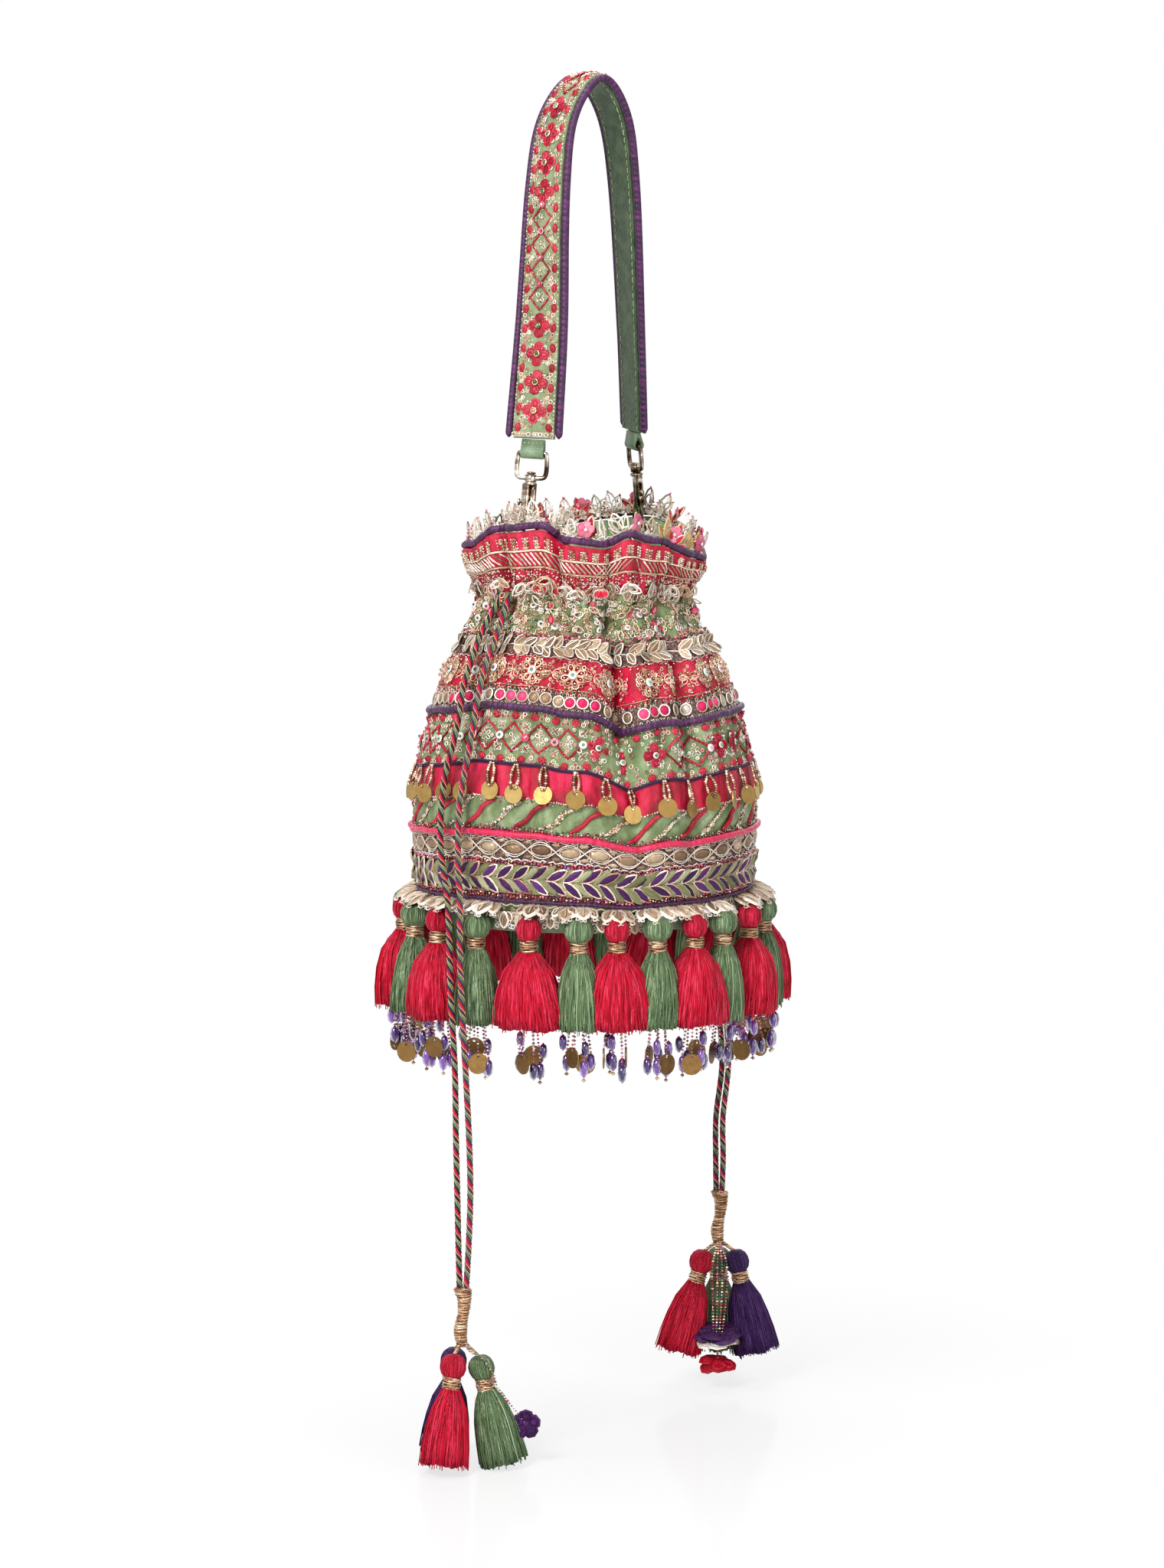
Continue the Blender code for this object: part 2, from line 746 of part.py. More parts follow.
def make_hem_lace():
    """The scalloped lace that hangs from the hem over the base's side."""
    depth = HEM_DEPTH + PIPING_RADIUS + 4 * CLEARANCE
    loops = []
    for radius in (HEM_LACE_RADIUS + LACE_THICKNESS, HEM_LACE_RADIUS):
        turns = [360.0 * k / COLUMNS for k in range(COLUMNS)]
        high = [polar(radius, turn, body_height(turn, depth)) for turn in turns]
        low = [
            polar(radius, turn, body_height(turn, depth) - HEM_LACE_DROP - HEM_LACE_SCALLOP * (k % 2))
            for k, turn in enumerate(turns)
        ]
        loops.append([high, low])
    return rings("hem_lace", [*loops[0], *reversed(loops[1])], "gold", closed=True)


def make_coin_fringe():
    """The thin edging round the body with its hanging strings and coins, as one body."""
    points, faces = [], []
    step = 360.0 / COIN_COUNT
    sheets = (COIN_LIFT, COIN_LIFT + COIN_THICKNESS)
    coin_top = EDGING_DEPTH + EDGING_HEIGHT + COIN_STRING_LENGTH
    rows = (
        EDGING_DEPTH,
        EDGING_DEPTH + EDGING_HEIGHT,
        coin_top,
        coin_top + 0.5 * COIN_WIDTH,
        coin_top + COIN_WIDTH,
    )
    half_widths = (0.5 * COIN_STRING_WIDTH,) * 3 + (0.5 * COIN_WIDTH, 0.25 * COIN_WIDTH)
    for lift in sheets:
        for i in range(COIN_COUNT):
            for depth, half in zip(rows, half_widths):
                for side in (-1, 1):
                    degrees = i * step + side * math.degrees(half / EDGING_RADIUS)
                    radius = max(body_radius(i * step, depth), body_radius(degrees, depth)) + lift
                    points.append(polar(radius, degrees, body_height(i * step, depth)))
    per = 2 * len(rows)
    sheet = per * COIN_COUNT

    def quad(a, b, c, d):
        faces.append((a, b, c, d))

    for i in range(COIN_COUNT):
        here, after = i * per, (i + 1) % COIN_COUNT * per
        for base in (0, sheet):
            quad(base + here, base + here + 1, base + here + 3, base + here + 2)
            quad(base + here + 1, base + after, base + after + 2, base + here + 3)
            for row in range(1, len(rows) - 1):
                a = base + here + 2 * row
                quad(a, a + 1, a + 3, a + 2)
        quad(here, here + 1, sheet + here + 1, sheet + here)
        quad(here + 1, after, sheet + after, sheet + here + 1)
        quad(here + 3, after + 2, sheet + after + 2, sheet + here + 3)
        for row in range(1, len(rows) - 1):
            for side in (0, 1):
                a = here + 2 * row + side
                quad(a, a + 2, sheet + a + 2, sheet + a)
        last = here + per - 2
        quad(last, last + 1, sheet + last + 1, sheet + last)
    return add("coin_fringe", mesh_of("coin_fringe", points, faces), "gold")


def strap_line():
    """Stations along the strap: its place, its direction, its width's direction and its outward one."""
    rise = 0.5 * CLEARANCE + STRAP_BACKING_THICKNESS
    route = [
        (x * STRAP_HALF_SPAN, y * STRAP_HALF_SPAN, z * (STRAP_DROP + rise) + rise)
        for x, y, z in STRAP_ROUTE
    ]
    line = evenly(smooth_line(route, 12), STRAP_STATIONS)
    twist = [(i / (len(STRAP_TWIST_DEG) - 1), value) for i, value in enumerate(STRAP_TWIST_DEG)]
    stations = []
    for i, place in enumerate(line):
        ahead = (line[min(i + 1, len(line) - 1)] - line[max(i - 1, 0)]).normalized()
        turn = math.radians(interpolate(twist, i / (len(line) - 1)))
        across = Vector((math.sin(turn), -math.cos(turn), 0.0))
        across = (across - ahead * across.dot(ahead)).normalized()
        stations.append((place, ahead, across, across.cross(ahead)))
    return stations


def make_strap():
    """The strap's two layers and the pipings along its edges."""
    stations = strap_line()
    layers = {
        "strap_face": (0.5 * CLEARANCE, STRAP_FACE_THICKNESS, "sage"),
        "strap_backing": (-0.5 * CLEARANCE, -STRAP_BACKING_THICKNESS, "leather"),
    }
    for name, (seam, thickness, colour) in layers.items():
        outside = seam + thickness
        loops = []
        for place, _, across, outward in stations:
            loops.append(
                [
                    place + across * (w * STRAP_HALF_WIDTH) + outward * n
                    for w, n in ((-1, seam), (1, seam), (1, outside), (-1, outside))
                ]
            )
        rings(name, loops, colour)
    reach = STRAP_HALF_WIDTH + CLEARANCE * 1.5 + STRAP_PIPING_RADIUS
    middle = 0.5 * (STRAP_FACE_THICKNESS - STRAP_BACKING_THICKNESS)
    for name, side in (("strap_piping_front", 1), ("strap_piping_rear", -1)):
        line = [place + across * (side * reach) + outward * middle for place, _, across, outward in stations]
        tube(name, line, STRAP_PIPING_RADIUS, "purple")


def hook_frame(side):
    """Frame at an eye's top bar: Z up the hook's axis, X towards its thumb knob."""
    sign = SIDES[side]
    up = Vector((-sign * math.sin(HOOK_LEAN), 0.0, math.cos(HOOK_LEAN)))
    twist = math.radians(STRAP_TWIST_DEG[0] if side == "near" else STRAP_TWIST_DEG[-1])
    across = Vector((math.sin(twist), -math.cos(twist), 0.0)) * sign
    knob = (across - up * across.dot(up)).normalized()
    end = Vector((sign * STRAP_HALF_SPAN, 0.0, STRAP_END_Z))
    bar = end - up * (TAB_DROP + 2 * CLEARANCE)
    frame = Matrix((knob, up.cross(knob), up)).transposed().to_4x4()
    return Matrix.Translation(bar) @ frame


def ring_frame(side):
    """Frame at a ring's top wire: X across the ring, Z up."""
    turn = math.radians(RING_TURN_DEG if side == "far" else -RING_TURN_DEG)
    hook = hook_frame(side)
    knob = Vector((hook[0][0], hook[1][0], 0.0)).normalized()
    across = Matrix.Rotation(turn, 3, "Z") @ knob
    low = -(EYE_HEIGHT + BOSS_BELOW_BAR + BODY_LENGTH + ARM_DROP)
    place = hook @ Vector((ARM_LOW_X, 0.0, low + ARM_RADIUS + 2 * CLEARANCE + RING_WIRE))
    frame = Matrix((across, Vector((0, 0, 1)).cross(across), Vector((0, 0, 1)))).transposed()
    return Matrix.Translation(place) @ frame.to_4x4()


def make_tab(side, frame):
    """The leather loop that holds an eye under the strap's end, a teardrop seen along its width."""
    inner_radius = EYE_WIRE + 2 * CLEARANCE
    outer_radius = inner_radius + TAB_THICKNESS
    outer = [(1.1 * TAB_THICKNESS, TAB_DROP)]
    inner = [(0.2 * TAB_THICKNESS, TAB_DROP - 2.0 * TAB_THICKNESS)]
    turns = 9
    for k in range(turns):
        angle = math.radians(30.0 - 240.0 * k / (turns - 1))
        outer.append((outer_radius * math.cos(angle), outer_radius * math.sin(angle)))
        inner.append((inner_radius * math.cos(angle), inner_radius * math.sin(angle)))
    outer.append((-1.1 * TAB_THICKNESS, TAB_DROP))
    inner.append((-0.2 * TAB_THICKNESS, TAB_DROP - 2.0 * TAB_THICKNESS))
    half = 0.5 * TAB_WIDTH
    loops = []
    for (y0, z0), (y1, z1) in zip(outer, inner):
        loops.append([(-half, y0, z0), (half, y0, z0), (half, y1, z1), (-half, y1, z1)])
    rings(f"strap_tab_{side}", loops, "leather", frame, closed=True)


def make_eye(side, frame):
    """The wire eye in the tab, with the drilled boss that the hook swivels in."""
    low = -EYE_HEIGHT
    route = [
        (-0.50 * TAB_WIDTH, 0.0, 0.0),
        (0.0, 0.0, 0.0),
        (0.50 * TAB_WIDTH, 0.0, 0.0),
        (0.93 * EYE_HALF_WIDTH, 0.0, 0.10 * low),
        (EYE_HALF_WIDTH, 0.0, 0.45 * low),
        (0.97 * EYE_HALF_WIDTH, 0.0, 0.85 * low),
        (0.75 * EYE_HALF_WIDTH, 0.0, low),
        (0.0, 0.0, low),
        (-0.75 * EYE_HALF_WIDTH, 0.0, low),
        (-0.97 * EYE_HALF_WIDTH, 0.0, 0.85 * low),
        (-EYE_HALF_WIDTH, 0.0, 0.45 * low),
        (-0.93 * EYE_HALF_WIDTH, 0.0, 0.10 * low),
    ]
    path = smooth_line(route, 2, closed=True)
    eye = swept(f"swivel_eye_{side}", path, EYE_WIRE, 6, "brass", frame, closed=True)
    boss = turned(f"{side}_boss_guide", [(BOSS_RADIUS, BOSS_HIGH), (BOSS_RADIUS, BOSS_LOW)], 10, None, frame)
    drill = STEM_RADIUS + CLEARANCE
    hole = turned(f"{side}_boss_cutter", [(drill, 0.5 * BOSS_HIGH), (drill, 2 * BOSS_LOW)], 10, None, frame)
    combine(eye, boss, "UNION")
    combine(eye, hole, "DIFFERENCE")


def make_hook(side, frame):
    """The swivel hook: stem and head, collar, slotted barrel and curved arm in one body."""
    head_low = BOSS_HIGH + CLEARANCE
    profile = [
        (0.6 * STEM_HEAD_RADIUS, head_low + STEM_HEAD_HEIGHT),
        (STEM_HEAD_RADIUS, head_low + 0.6 * STEM_HEAD_HEIGHT),
        (STEM_HEAD_RADIUS, head_low),
        (STEM_RADIUS, head_low),
        (STEM_RADIUS, COLLAR_TOP),
        (COLLAR_RADIUS, COLLAR_TOP),
        (COLLAR_RADIUS, COLLAR_LOW),
    ]
    hook = turned(f"snap_hook_{side}", profile, 10, "brass", frame)
    seam = COLLAR_LOW + 0.5 * COLLAR_HEIGHT
    barrel = turned(
        f"{side}_barrel_guide", [(BARREL_RADIUS, seam), (BARREL_RADIUS, BARREL_LOW)], 10, None, frame
    )
    barrel.location.x = BARREL_OFFSET
    combine(hook, barrel, "UNION")
    low = BARREL_LOW - ARM_DROP
    route = [
        (-ARM_OFFSET, 0.0, seam),
        (-ARM_OFFSET, 0.0, BARREL_LOW + 0.2 * BARREL_LENGTH),
        (-1.25 * ARM_OFFSET, 0.0, BARREL_LOW),
        (-0.90 * ARM_BULGE, 0.0, 0.68 * BARREL_LOW + 0.32 * low),
        (-ARM_BULGE, 0.0, 0.42 * BARREL_LOW + 0.58 * low),
        (-0.78 * ARM_BULGE, 0.0, 0.14 * BARREL_LOW + 0.86 * low),
        (ARM_LOW_X, 0.0, low),
        (0.55 * BARREL_OFFSET, 0.0, 0.10 * BARREL_LOW + 0.90 * low),
        (BARREL_OFFSET, 0.0, 0.5 * (low + ARM_TIP)),
        (BARREL_OFFSET, 0.0, ARM_TIP),
    ]
    path = smooth_line(route, 2)
    arm = swept(f"{side}_arm_guide", path, ARM_RADIUS, 6, None, frame)
    combine(hook, arm, "UNION")
    bore = turned(
        f"{side}_bore_cutter", [(BORE_RADIUS, BORE_TOP), (BORE_RADIUS, BARREL_LOW - ARM_RADIUS)], 10, None, frame
    )
    bore.location.x = BARREL_OFFSET
    combine(hook, bore, "DIFFERENCE")
    half = 0.5 * THUMB_NECK_WIDTH + CLEARANCE
    slot = box(
        f"{side}_thumb_slot_cutter",
        (BARREL_OFFSET, -half, BOLT_TOP - THUMB_NECK_HEIGHT - 3 * CLEARANCE),
        (BARREL_OFFSET + 2 * BARREL_RADIUS, half, BOLT_TOP + BOLT_TRAVEL + CLEARANCE),
        None,
        frame,
    )
    combine(hook, slot, "DIFFERENCE")


def make_bolt(side, frame):
    """The sliding bolt with its thumb knob."""
    bolt = turned(
        f"snap_bolt_{side}", [(BOLT_RADIUS, BOLT_TOP), (BOLT_RADIUS, BOLT_LOW)], 10, "brass", frame
    )
    bolt.location.x = BARREL_OFFSET
    half = 0.5 * THUMB_NECK_WIDTH
    knob_x = BARREL_OFFSET + BARREL_RADIUS + 4 * CLEARANCE
    neck = box(
        f"{side}_thumb_neck_guide",
        (BARREL_OFFSET, -half, BOLT_TOP - THUMB_NECK_HEIGHT),
        (knob_x, half, BOLT_TOP - 0.1 * THUMB_NECK_HEIGHT),
        None,
        frame,
    )
    combine(bolt, neck, "UNION")
    middle = BOLT_TOP - 0.55 * THUMB_NECK_HEIGHT
    thumb = [
        (0.35 * THUMB_NECK_WIDTH, 0.95 * THUMB_NECK_HEIGHT),
        (1.1 * THUMB_NECK_WIDTH, 0.45 * THUMB_NECK_HEIGHT),
        (1.1 * THUMB_NECK_WIDTH, -0.45 * THUMB_NECK_HEIGHT),
        (0.35 * THUMB_NECK_WIDTH, -0.95 * THUMB_NECK_HEIGHT),
    ]
    thumb = [(radius, height, 0.62) for radius, height in thumb]
    knob = turned(f"{side}_thumb_guide", thumb, 8, None, frame)
    knob.location = (knob_x, 0.0, middle)
    combine(bolt, knob, "UNION")


def make_spring(side, frame):
    """The coil spring between the barrel's roof and the bolt."""
    steps = 6 * SPRING_TURNS
    radius = BOLT_RADIUS - SPRING_WIRE
    line = []
    for k in range(steps + 1):
        angle = math.tau * SPRING_TURNS * k / steps
        height = SPRING_TOP - SPRING_WIRE - (SPRING_LENGTH - 2 * SPRING_WIRE) * k / steps
        line.append(
            Vector((BARREL_OFFSET + radius * math.cos(angle), radius * math.sin(angle), height))
        )
    tube(f"bolt_spring_{side}", line, SPRING_WIRE, "brass", resolution=0, parent=frame)


def ring_path():
    """The ring's centreline in its own frame, with a straight bar below for its tape."""
    bend = 0.55 * RING_HALF_WIDTH
    route = [
        (0.0, 0.0, 0.0),
        (0.68 * RING_HALF_WIDTH, 0.0, -0.27 * RING_HALF_WIDTH),
        (RING_HALF_WIDTH, 0.0, -0.9 * RING_HALF_WIDTH),
        (RING_HALF_WIDTH, 0.0, bend - RING_HEIGHT),
        (RING_HALF_WIDTH - bend, 0.0, -RING_HEIGHT),
        (0.0, 0.0, -RING_HEIGHT),
    ]
    route += [(-x, y, z) for x, y, z in reversed(route[1:-1])]
    return smooth_line(route, 2, closed=True)


def make_ring(side):
    """The ring in the mouth that a hook clips to."""
    ring = swept(f"d_ring_{side}", ring_path(), RING_WIRE, 6, "brass", closed=True)
    ring.matrix_world = ring_frame(side)


def make_hardware():
    """Both sets of tab, eye, hook, bolt, spring and ring."""
    for side in SIDES:
        frame = bpy.data.objects.new(f"{side}_hook_axis", None)
        bpy.context.scene.collection.objects.link(frame)
        frame.matrix_world = hook_frame(side)
        make_tab(side, frame)
        make_eye(side, frame)
        make_hook(side, frame)
        make_bolt(side, frame)
        make_spring(side, frame)
        make_ring(side)


def strand_points(strand):
    """A strand's route points in metres, from radius, angle and height."""
    return [polar(radius / 1000.0, degrees, height / 1000.0) for radius, degrees, height in strand]


def binding_place(side):
    """The top of a cord's binding."""
    radius, degrees, height = CORD_BINDING[side]
    return polar(radius / 1000.0, degrees, height / 1000.0)


def exit_points(side, sign):
    """How a strand turns out of the casing through the slot, from the loop outwards."""
    centre = CORD_EXIT_DEG[side]
    height = NECK_Z + casing_lift(side)
    turns = (
        (CASING_RADIUS, EXIT_SPREAD_DEG, 0.0),
        (CASING_RADIUS + 0.0008, 8.0, 0.0),
        (CASING_RADIUS + 0.0042, 4.0, -0.0001),
        (CASING_RADIUS + 0.0085, 2.9, -0.0012),
    )
    return [polar(radius, centre + sign * off, height + drop) for radius, off, drop in turns]


def strand_line(side, sign, strand):
    """A free strand's points from the casing to the binding: its turn outwards, then even steps."""
    turn = exit_points(side, sign)
    points = strand_points(strand)
    top = binding_place(side) + Vector((0.0, 0.0, 2 * CLEARANCE))
    sideways = points[-1] - top
    sideways.z = 0.0
    end = top + sideways.normalized() * (CORD_RADIUS + CLEARANCE)
    detail = 4
    line = smooth_line([*turn, *points, end], detail)
    hanging = evenly(line[detail * (len(turn) - 1) :], STRAND_POINTS)
    return turn + hanging[1:]


def drawstring_line(side):
    """A drawstring's centreline: up one strand, round the casing and down the other."""
    strands = NEAR_STRANDS if side == "near" else FAR_STRANDS
    low, high = (strand_line(side, sign, s) for sign, s in zip((-1, 1), strands))
    height = NECK_Z + casing_lift(side)
    span = 360.0 - 2 * EXIT_SPREAD_DEG
    arc = [
        polar(CASING_RADIUS, CORD_EXIT_DEG[side] - EXIT_SPREAD_DEG - span * k / LOOP_POINTS, height)
        for k in range(1, LOOP_POINTS)
    ]
    return [*reversed(low), *arc, *high]


def make_drawstrings():
    """The two drawstrings, each one cord."""
    for side in SIDES:
        tube(f"drawstring_{side}", drawstring_line(side), CORD_RADIUS, "crimson", resolution=2)


def tassel_profile(skirt_radius, drop):
    """Half section of a thread tassel from its ball's top: radius and height."""
    ball = TASSEL_BALL
    wrap_top = -ball - 0.82 * ball
    wrap_low = wrap_top - TASSEL_WRAP_HEIGHT
    skirt_low = wrap_low - TASSEL_SKIRT
    rows = [
        (0.40 * ball, 0.0),
        (0.97 * ball, -0.75 * ball),
        (0.97 * ball, -1.25 * ball),
        (TASSEL_WRAP_RADIUS, wrap_top),
        (TASSEL_WRAP_RADIUS, wrap_low),
        (0.72 * skirt_radius, 0.7 * wrap_low + 0.3 * skirt_low, SKIRT_STRETCH),
        (skirt_radius, skirt_low, SKIRT_STRETCH),
    ]
    if drop:
        rows += [(0.42 * skirt_radius, skirt_low), (0.30 * skirt_radius, skirt_low - drop)]
    return rows


def fringe_angles():
    """Angles of all fringe tassels, those in front first."""
    hidden = FRINGE_COUNT - len(FRONT_FRINGE_DEG)
    start, end = FRONT_FRINGE_DEG[-1], FRONT_FRINGE_DEG[0] + 360.0
    step = (end - start) / (hidden + 1)
    return FRONT_FRINGE_DEG + [start + step * (i + 1) for i in range(hidden)]


def make_fringe():
    """The tassels round the hem, green and crimson in turn, with their bead drops."""
    profile = tassel_profile(FRINGE_SKIRT_RADIUS, FRINGE_DROP)
    top = BASE_TOP_Z - FRINGE_LOOP
    for i, degrees in enumerate(fringe_angles()):
        colour = "crimson" if i % 2 else "green"
        tassel = turned(f"fringe_tassel_{i + 1:02d}", profile, 6, colour)
        tassel.location = polar(FRINGE_RADIUS, degrees, top)
        tassel.rotation_euler.z = math.radians(degrees)


# Cluster tassels: colour, sideways angle and reach at the top, drop below the binding, splay
CLUSTER = {
    "near": {
        "red": ("crimson", 60.0, 0.0084, 0.0020, 10.0),
        "green": ("green", 180.0, 0.0084, 0.0045, 12.0),
        "purple": ("purple", -60.0, 0.0084, 0.0025, 12.0),
    },
    "far": {
        "red": ("crimson", 15.0, 0.0084, 0.0020, 15.0),
        "purple": ("purple", 170.0, 0.0084, 0.0020, 13.0),
        "green": ("green", -90.0, 0.0092, 0.0030, 10.0),
    },
}
CLUSTER_LEFT_DEG = 123.0
STEM_BEND = 0.0030
FLOWERS = {
    "near": ((-0.0085, 0.0125, -0.012), (-0.0190, 0.0185, -0.0390), 0.0066),
    "far": ((0.0, 0.0120, -0.012), (0.0010, 0.0155, -0.0600), 0.0095),
}


def cluster_direction(angle):
    """A level direction: 0 degrees is to the left as seen from in front, 90 towards the front."""
    return polar(1.0, CLUSTER_LEFT_DEG + angle, 0.0)


def tassel_frame(side, angle, reach, drop, splay):
    """Where a cluster tassel's top hangs below a binding, and how it leans outwards."""
    outward = cluster_direction(angle)
    down = BINDING_LENGTH + drop + CLEARANCE
    head = binding_place(side) + outward * reach - Vector((0.0, 0.0, down))
    lean = Matrix.Rotation(math.radians(splay), 4, Vector((0, 0, -1)).cross(outward))
    return Matrix.Translation(head) @ lean


def flower_place(offset):
    """A place below a binding's foot: to the left, to the front and down as seen from in front."""
    left, front, down = offset
    level = cluster_direction(0.0) * left + cluster_direction(90.0) * front
    return level + Vector((0.0, 0.0, down - BINDING_LENGTH))


def make_binding(side):
    """The binding at a cord's end, with its bead strand, its flower and a stem to each tassel."""
    profile = [
        (0.86 * BINDING_RADIUS, 0.0),
        (BINDING_RADIUS, -0.002),
        (BINDING_RADIUS, 0.002 - BINDING_LENGTH),
        (0.86 * BINDING_RADIUS, -BINDING_LENGTH),
    ]
    top = binding_place(side)
    binding = turned(f"cord_binding_{side}", profile, 10, "gold")
    binding.location = top
    inside = Vector((0.0, 0.0, 0.003 - BINDING_LENGTH))
    bend, end, size = FLOWERS[side]
    path = smooth_line([inside, flower_place(bend), flower_place(end)], 3)
    strand = swept(f"{side}_strand_guide", path, STRAND_RADIUS, 6, None, binding)
    combine(binding, strand, "UNION")
    petals = [(0.3, 0.3), (1.0, -0.15), (0.9, -0.45), (0.3, -0.35)]
    petals = [(radius * size, height * size) for radius, height in petals]
    flower = turned(f"{side}_flower_guide", petals, 10, None, binding)
    flower.location = flower_place(end)
    combine(binding, flower, "UNION")
    for label, (_, *placing) in CLUSTER[side].items():
        frame = tassel_frame(side, *placing)
        foot = frame @ Vector((0.0, 0.0, CLEARANCE)) - top
        shoulder = frame @ Vector((0.0, 0.0, STEM_BEND)) - top
        stem_path = [inside, shoulder, foot]
        stem = swept(f"{side}_{label}_stem_guide", stem_path, STRAND_RADIUS, 6, None, binding)
        combine(binding, stem, "UNION")


def make_clusters():
    """The binding at each cord's end and the tassels that hang from it."""
    for side in SIDES:
        make_binding(side)
        for label, (colour, *placing) in CLUSTER[side].items():
            profile = tassel_profile(CLUSTER_SKIRT_RADIUS, 0.0)
            tassel = turned(f"{side}_tassel_{label}", profile, 8, colour)
            tassel.matrix_world = tassel_frame(side, *placing)


def main():
    for old in list(bpy.data.objects):
        bpy.data.objects.remove(old, do_unlink=True)
    make_shell()
    make_lining()
    make_base()
    make_mouth_lace()
    make_mouth_piping()
    make_piping("swag_piping", SWAG_DEPTH, "purple")
    make_coin_fringe()
    make_piping("lower_piping", LOWER_DEPTH, "crimson")
    make_piping("hem_piping", HEM_DEPTH, "purple")
    make_hem_lace()
    make_strap()
    make_hardware()
    make_drawstrings()
    make_clusters()
    make_fringe()


main()
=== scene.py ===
"""Looks of the embroidered potli bag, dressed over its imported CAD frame. Metres, +Z up."""

import json
import math

import bpy
import numpy as np
from mathutils import Matrix, Vector

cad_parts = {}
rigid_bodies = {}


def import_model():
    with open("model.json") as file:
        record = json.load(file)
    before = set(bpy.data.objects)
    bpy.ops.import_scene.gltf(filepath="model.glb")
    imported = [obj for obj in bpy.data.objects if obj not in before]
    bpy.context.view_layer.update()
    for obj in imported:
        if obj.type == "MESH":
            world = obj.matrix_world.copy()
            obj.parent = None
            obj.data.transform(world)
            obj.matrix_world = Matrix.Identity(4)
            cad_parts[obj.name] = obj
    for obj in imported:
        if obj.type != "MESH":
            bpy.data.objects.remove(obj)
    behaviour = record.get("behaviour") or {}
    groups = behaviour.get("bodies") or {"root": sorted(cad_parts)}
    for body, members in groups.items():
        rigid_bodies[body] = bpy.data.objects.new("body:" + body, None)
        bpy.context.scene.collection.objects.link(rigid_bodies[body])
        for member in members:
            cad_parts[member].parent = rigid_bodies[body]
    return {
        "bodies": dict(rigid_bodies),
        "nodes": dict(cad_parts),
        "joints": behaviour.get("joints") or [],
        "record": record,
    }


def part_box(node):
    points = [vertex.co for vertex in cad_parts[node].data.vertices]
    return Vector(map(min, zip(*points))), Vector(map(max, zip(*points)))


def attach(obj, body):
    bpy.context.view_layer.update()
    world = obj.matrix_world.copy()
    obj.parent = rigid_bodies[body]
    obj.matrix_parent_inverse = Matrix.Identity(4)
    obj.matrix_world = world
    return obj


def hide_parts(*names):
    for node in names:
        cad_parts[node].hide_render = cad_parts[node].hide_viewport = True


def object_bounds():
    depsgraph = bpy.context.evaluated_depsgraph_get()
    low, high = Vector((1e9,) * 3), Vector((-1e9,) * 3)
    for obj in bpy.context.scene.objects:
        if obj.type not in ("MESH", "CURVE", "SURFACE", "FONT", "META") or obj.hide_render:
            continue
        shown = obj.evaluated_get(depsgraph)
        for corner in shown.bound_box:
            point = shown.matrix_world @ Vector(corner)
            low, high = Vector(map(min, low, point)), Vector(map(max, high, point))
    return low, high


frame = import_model()
cad_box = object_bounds()

rng = np.random.default_rng(11)

# Sizes repeated from the part's source, in metres
STRAP_DROP = 0.185
STRAP_HALF_SPAN = 0.0483
STRAP_HALF_WIDTH = 0.011
STRAP_FACE = 0.0026
STRAP_BACKING = 0.0015
STRAP_PIPING = 0.002
NECK_DEPTH = 0.0295
SWAG_DEPTH = 0.09
EDGING_DEPTH = 0.118
LOWER_DEPTH = 0.152
HEM_DEPTH = 0.1845
BOTTOM_DEPTH = 0.189
RIM_RADIUS = 0.065
NECK_RADIUS = 0.0535
SWAG_RADIUS = 0.0815
EDGING_RADIUS = 0.089
LOWER_RADIUS = 0.091
HEM_RADIUS = 0.0885
BASE_RADIUS = 0.0872
BASE_HEIGHT = 0.01
SHELL_THICKNESS = 0.0025
CLEARANCE = 0.0003
CORD_RADIUS = 0.00185
CASING_RADIUS = 0.0476
CASING_STEP = 0.0041
RIM_Z = -STRAP_DROP - 0.0555
BASE_TOP_Z = RIM_Z - BOTTOM_DEPTH - CLEARANCE
TASSEL_BALL = 0.0069
WRAP_RADIUS = 0.0043
WRAP_HEIGHT = 0.0072
TASSEL_SKIRT = 0.0385
HEM_LACE_RADIUS = HEM_RADIUS - CLEARANCE
FRINGE_RADIUS = HEM_LACE_RADIUS + 0.0008 + 2 * CLEARANCE + TASSEL_BALL

# The body's folds: the angle and the share of their full depth
FOLDS = [
    (22.5, 0.7), (60.0, 0.9), (97.5, 0.7), (127.5, 0.6), (165.0, 0.8), (225.0, 1.0), (255.0, 0.75),
    (307.5, 0.6), (345.0, 0.8),
]
# How much of the folds shows by depth under the rim
FOLD_FADE = [
    (0.0, 0.1), (NECK_DEPTH, 0.1),
    (0.5 * (NECK_DEPTH + SWAG_DEPTH), 0.8),
    (SWAG_DEPTH, 1.0), (EDGING_DEPTH, 0.5), (LOWER_DEPTH, 0.22), (HEM_DEPTH, 0.05),
    (BOTTOM_DEPTH, 0.0),
]
# How far the rim stands up by angle
RIM_WAVE = [
    (0, 0.008), (50, 0.002), (90, -0.0045), (125, -0.006), (145, -0.0035), (172, 0.0065),
    (194, 0.009), (203, 0.0015), (224, -0.001), (234, 0.004), (250, 0.0), (280, -0.009),
    (302, -0.0135), (330, -0.004), (360, 0.008),
]
# How far the bands below the neck stand up by angle
BAND_WAVE = [
    (0, 0.004), (30, 0.003), (60, -0.002), (95, -0.003), (129, -0.0025), (150, 0.002),
    (174, 0.008), (197, 0.007), (212, 0.004), (228, -0.004), (242, -0.001), (255, -0.0015),
    (275, 0.0005), (300, 0.001), (330, -0.001), (345, -0.003), (360, 0.004),
]
# How much of the bands' wave shows by depth
BAND_FADE = [
    (0.0, 0.0), (NECK_DEPTH, 0.0), (SWAG_DEPTH, 1.0), (EDGING_DEPTH, 1.0), (LOWER_DEPTH, 0.6),
    (HEM_DEPTH, 0.25), (BOTTOM_DEPTH, 0.0),
]
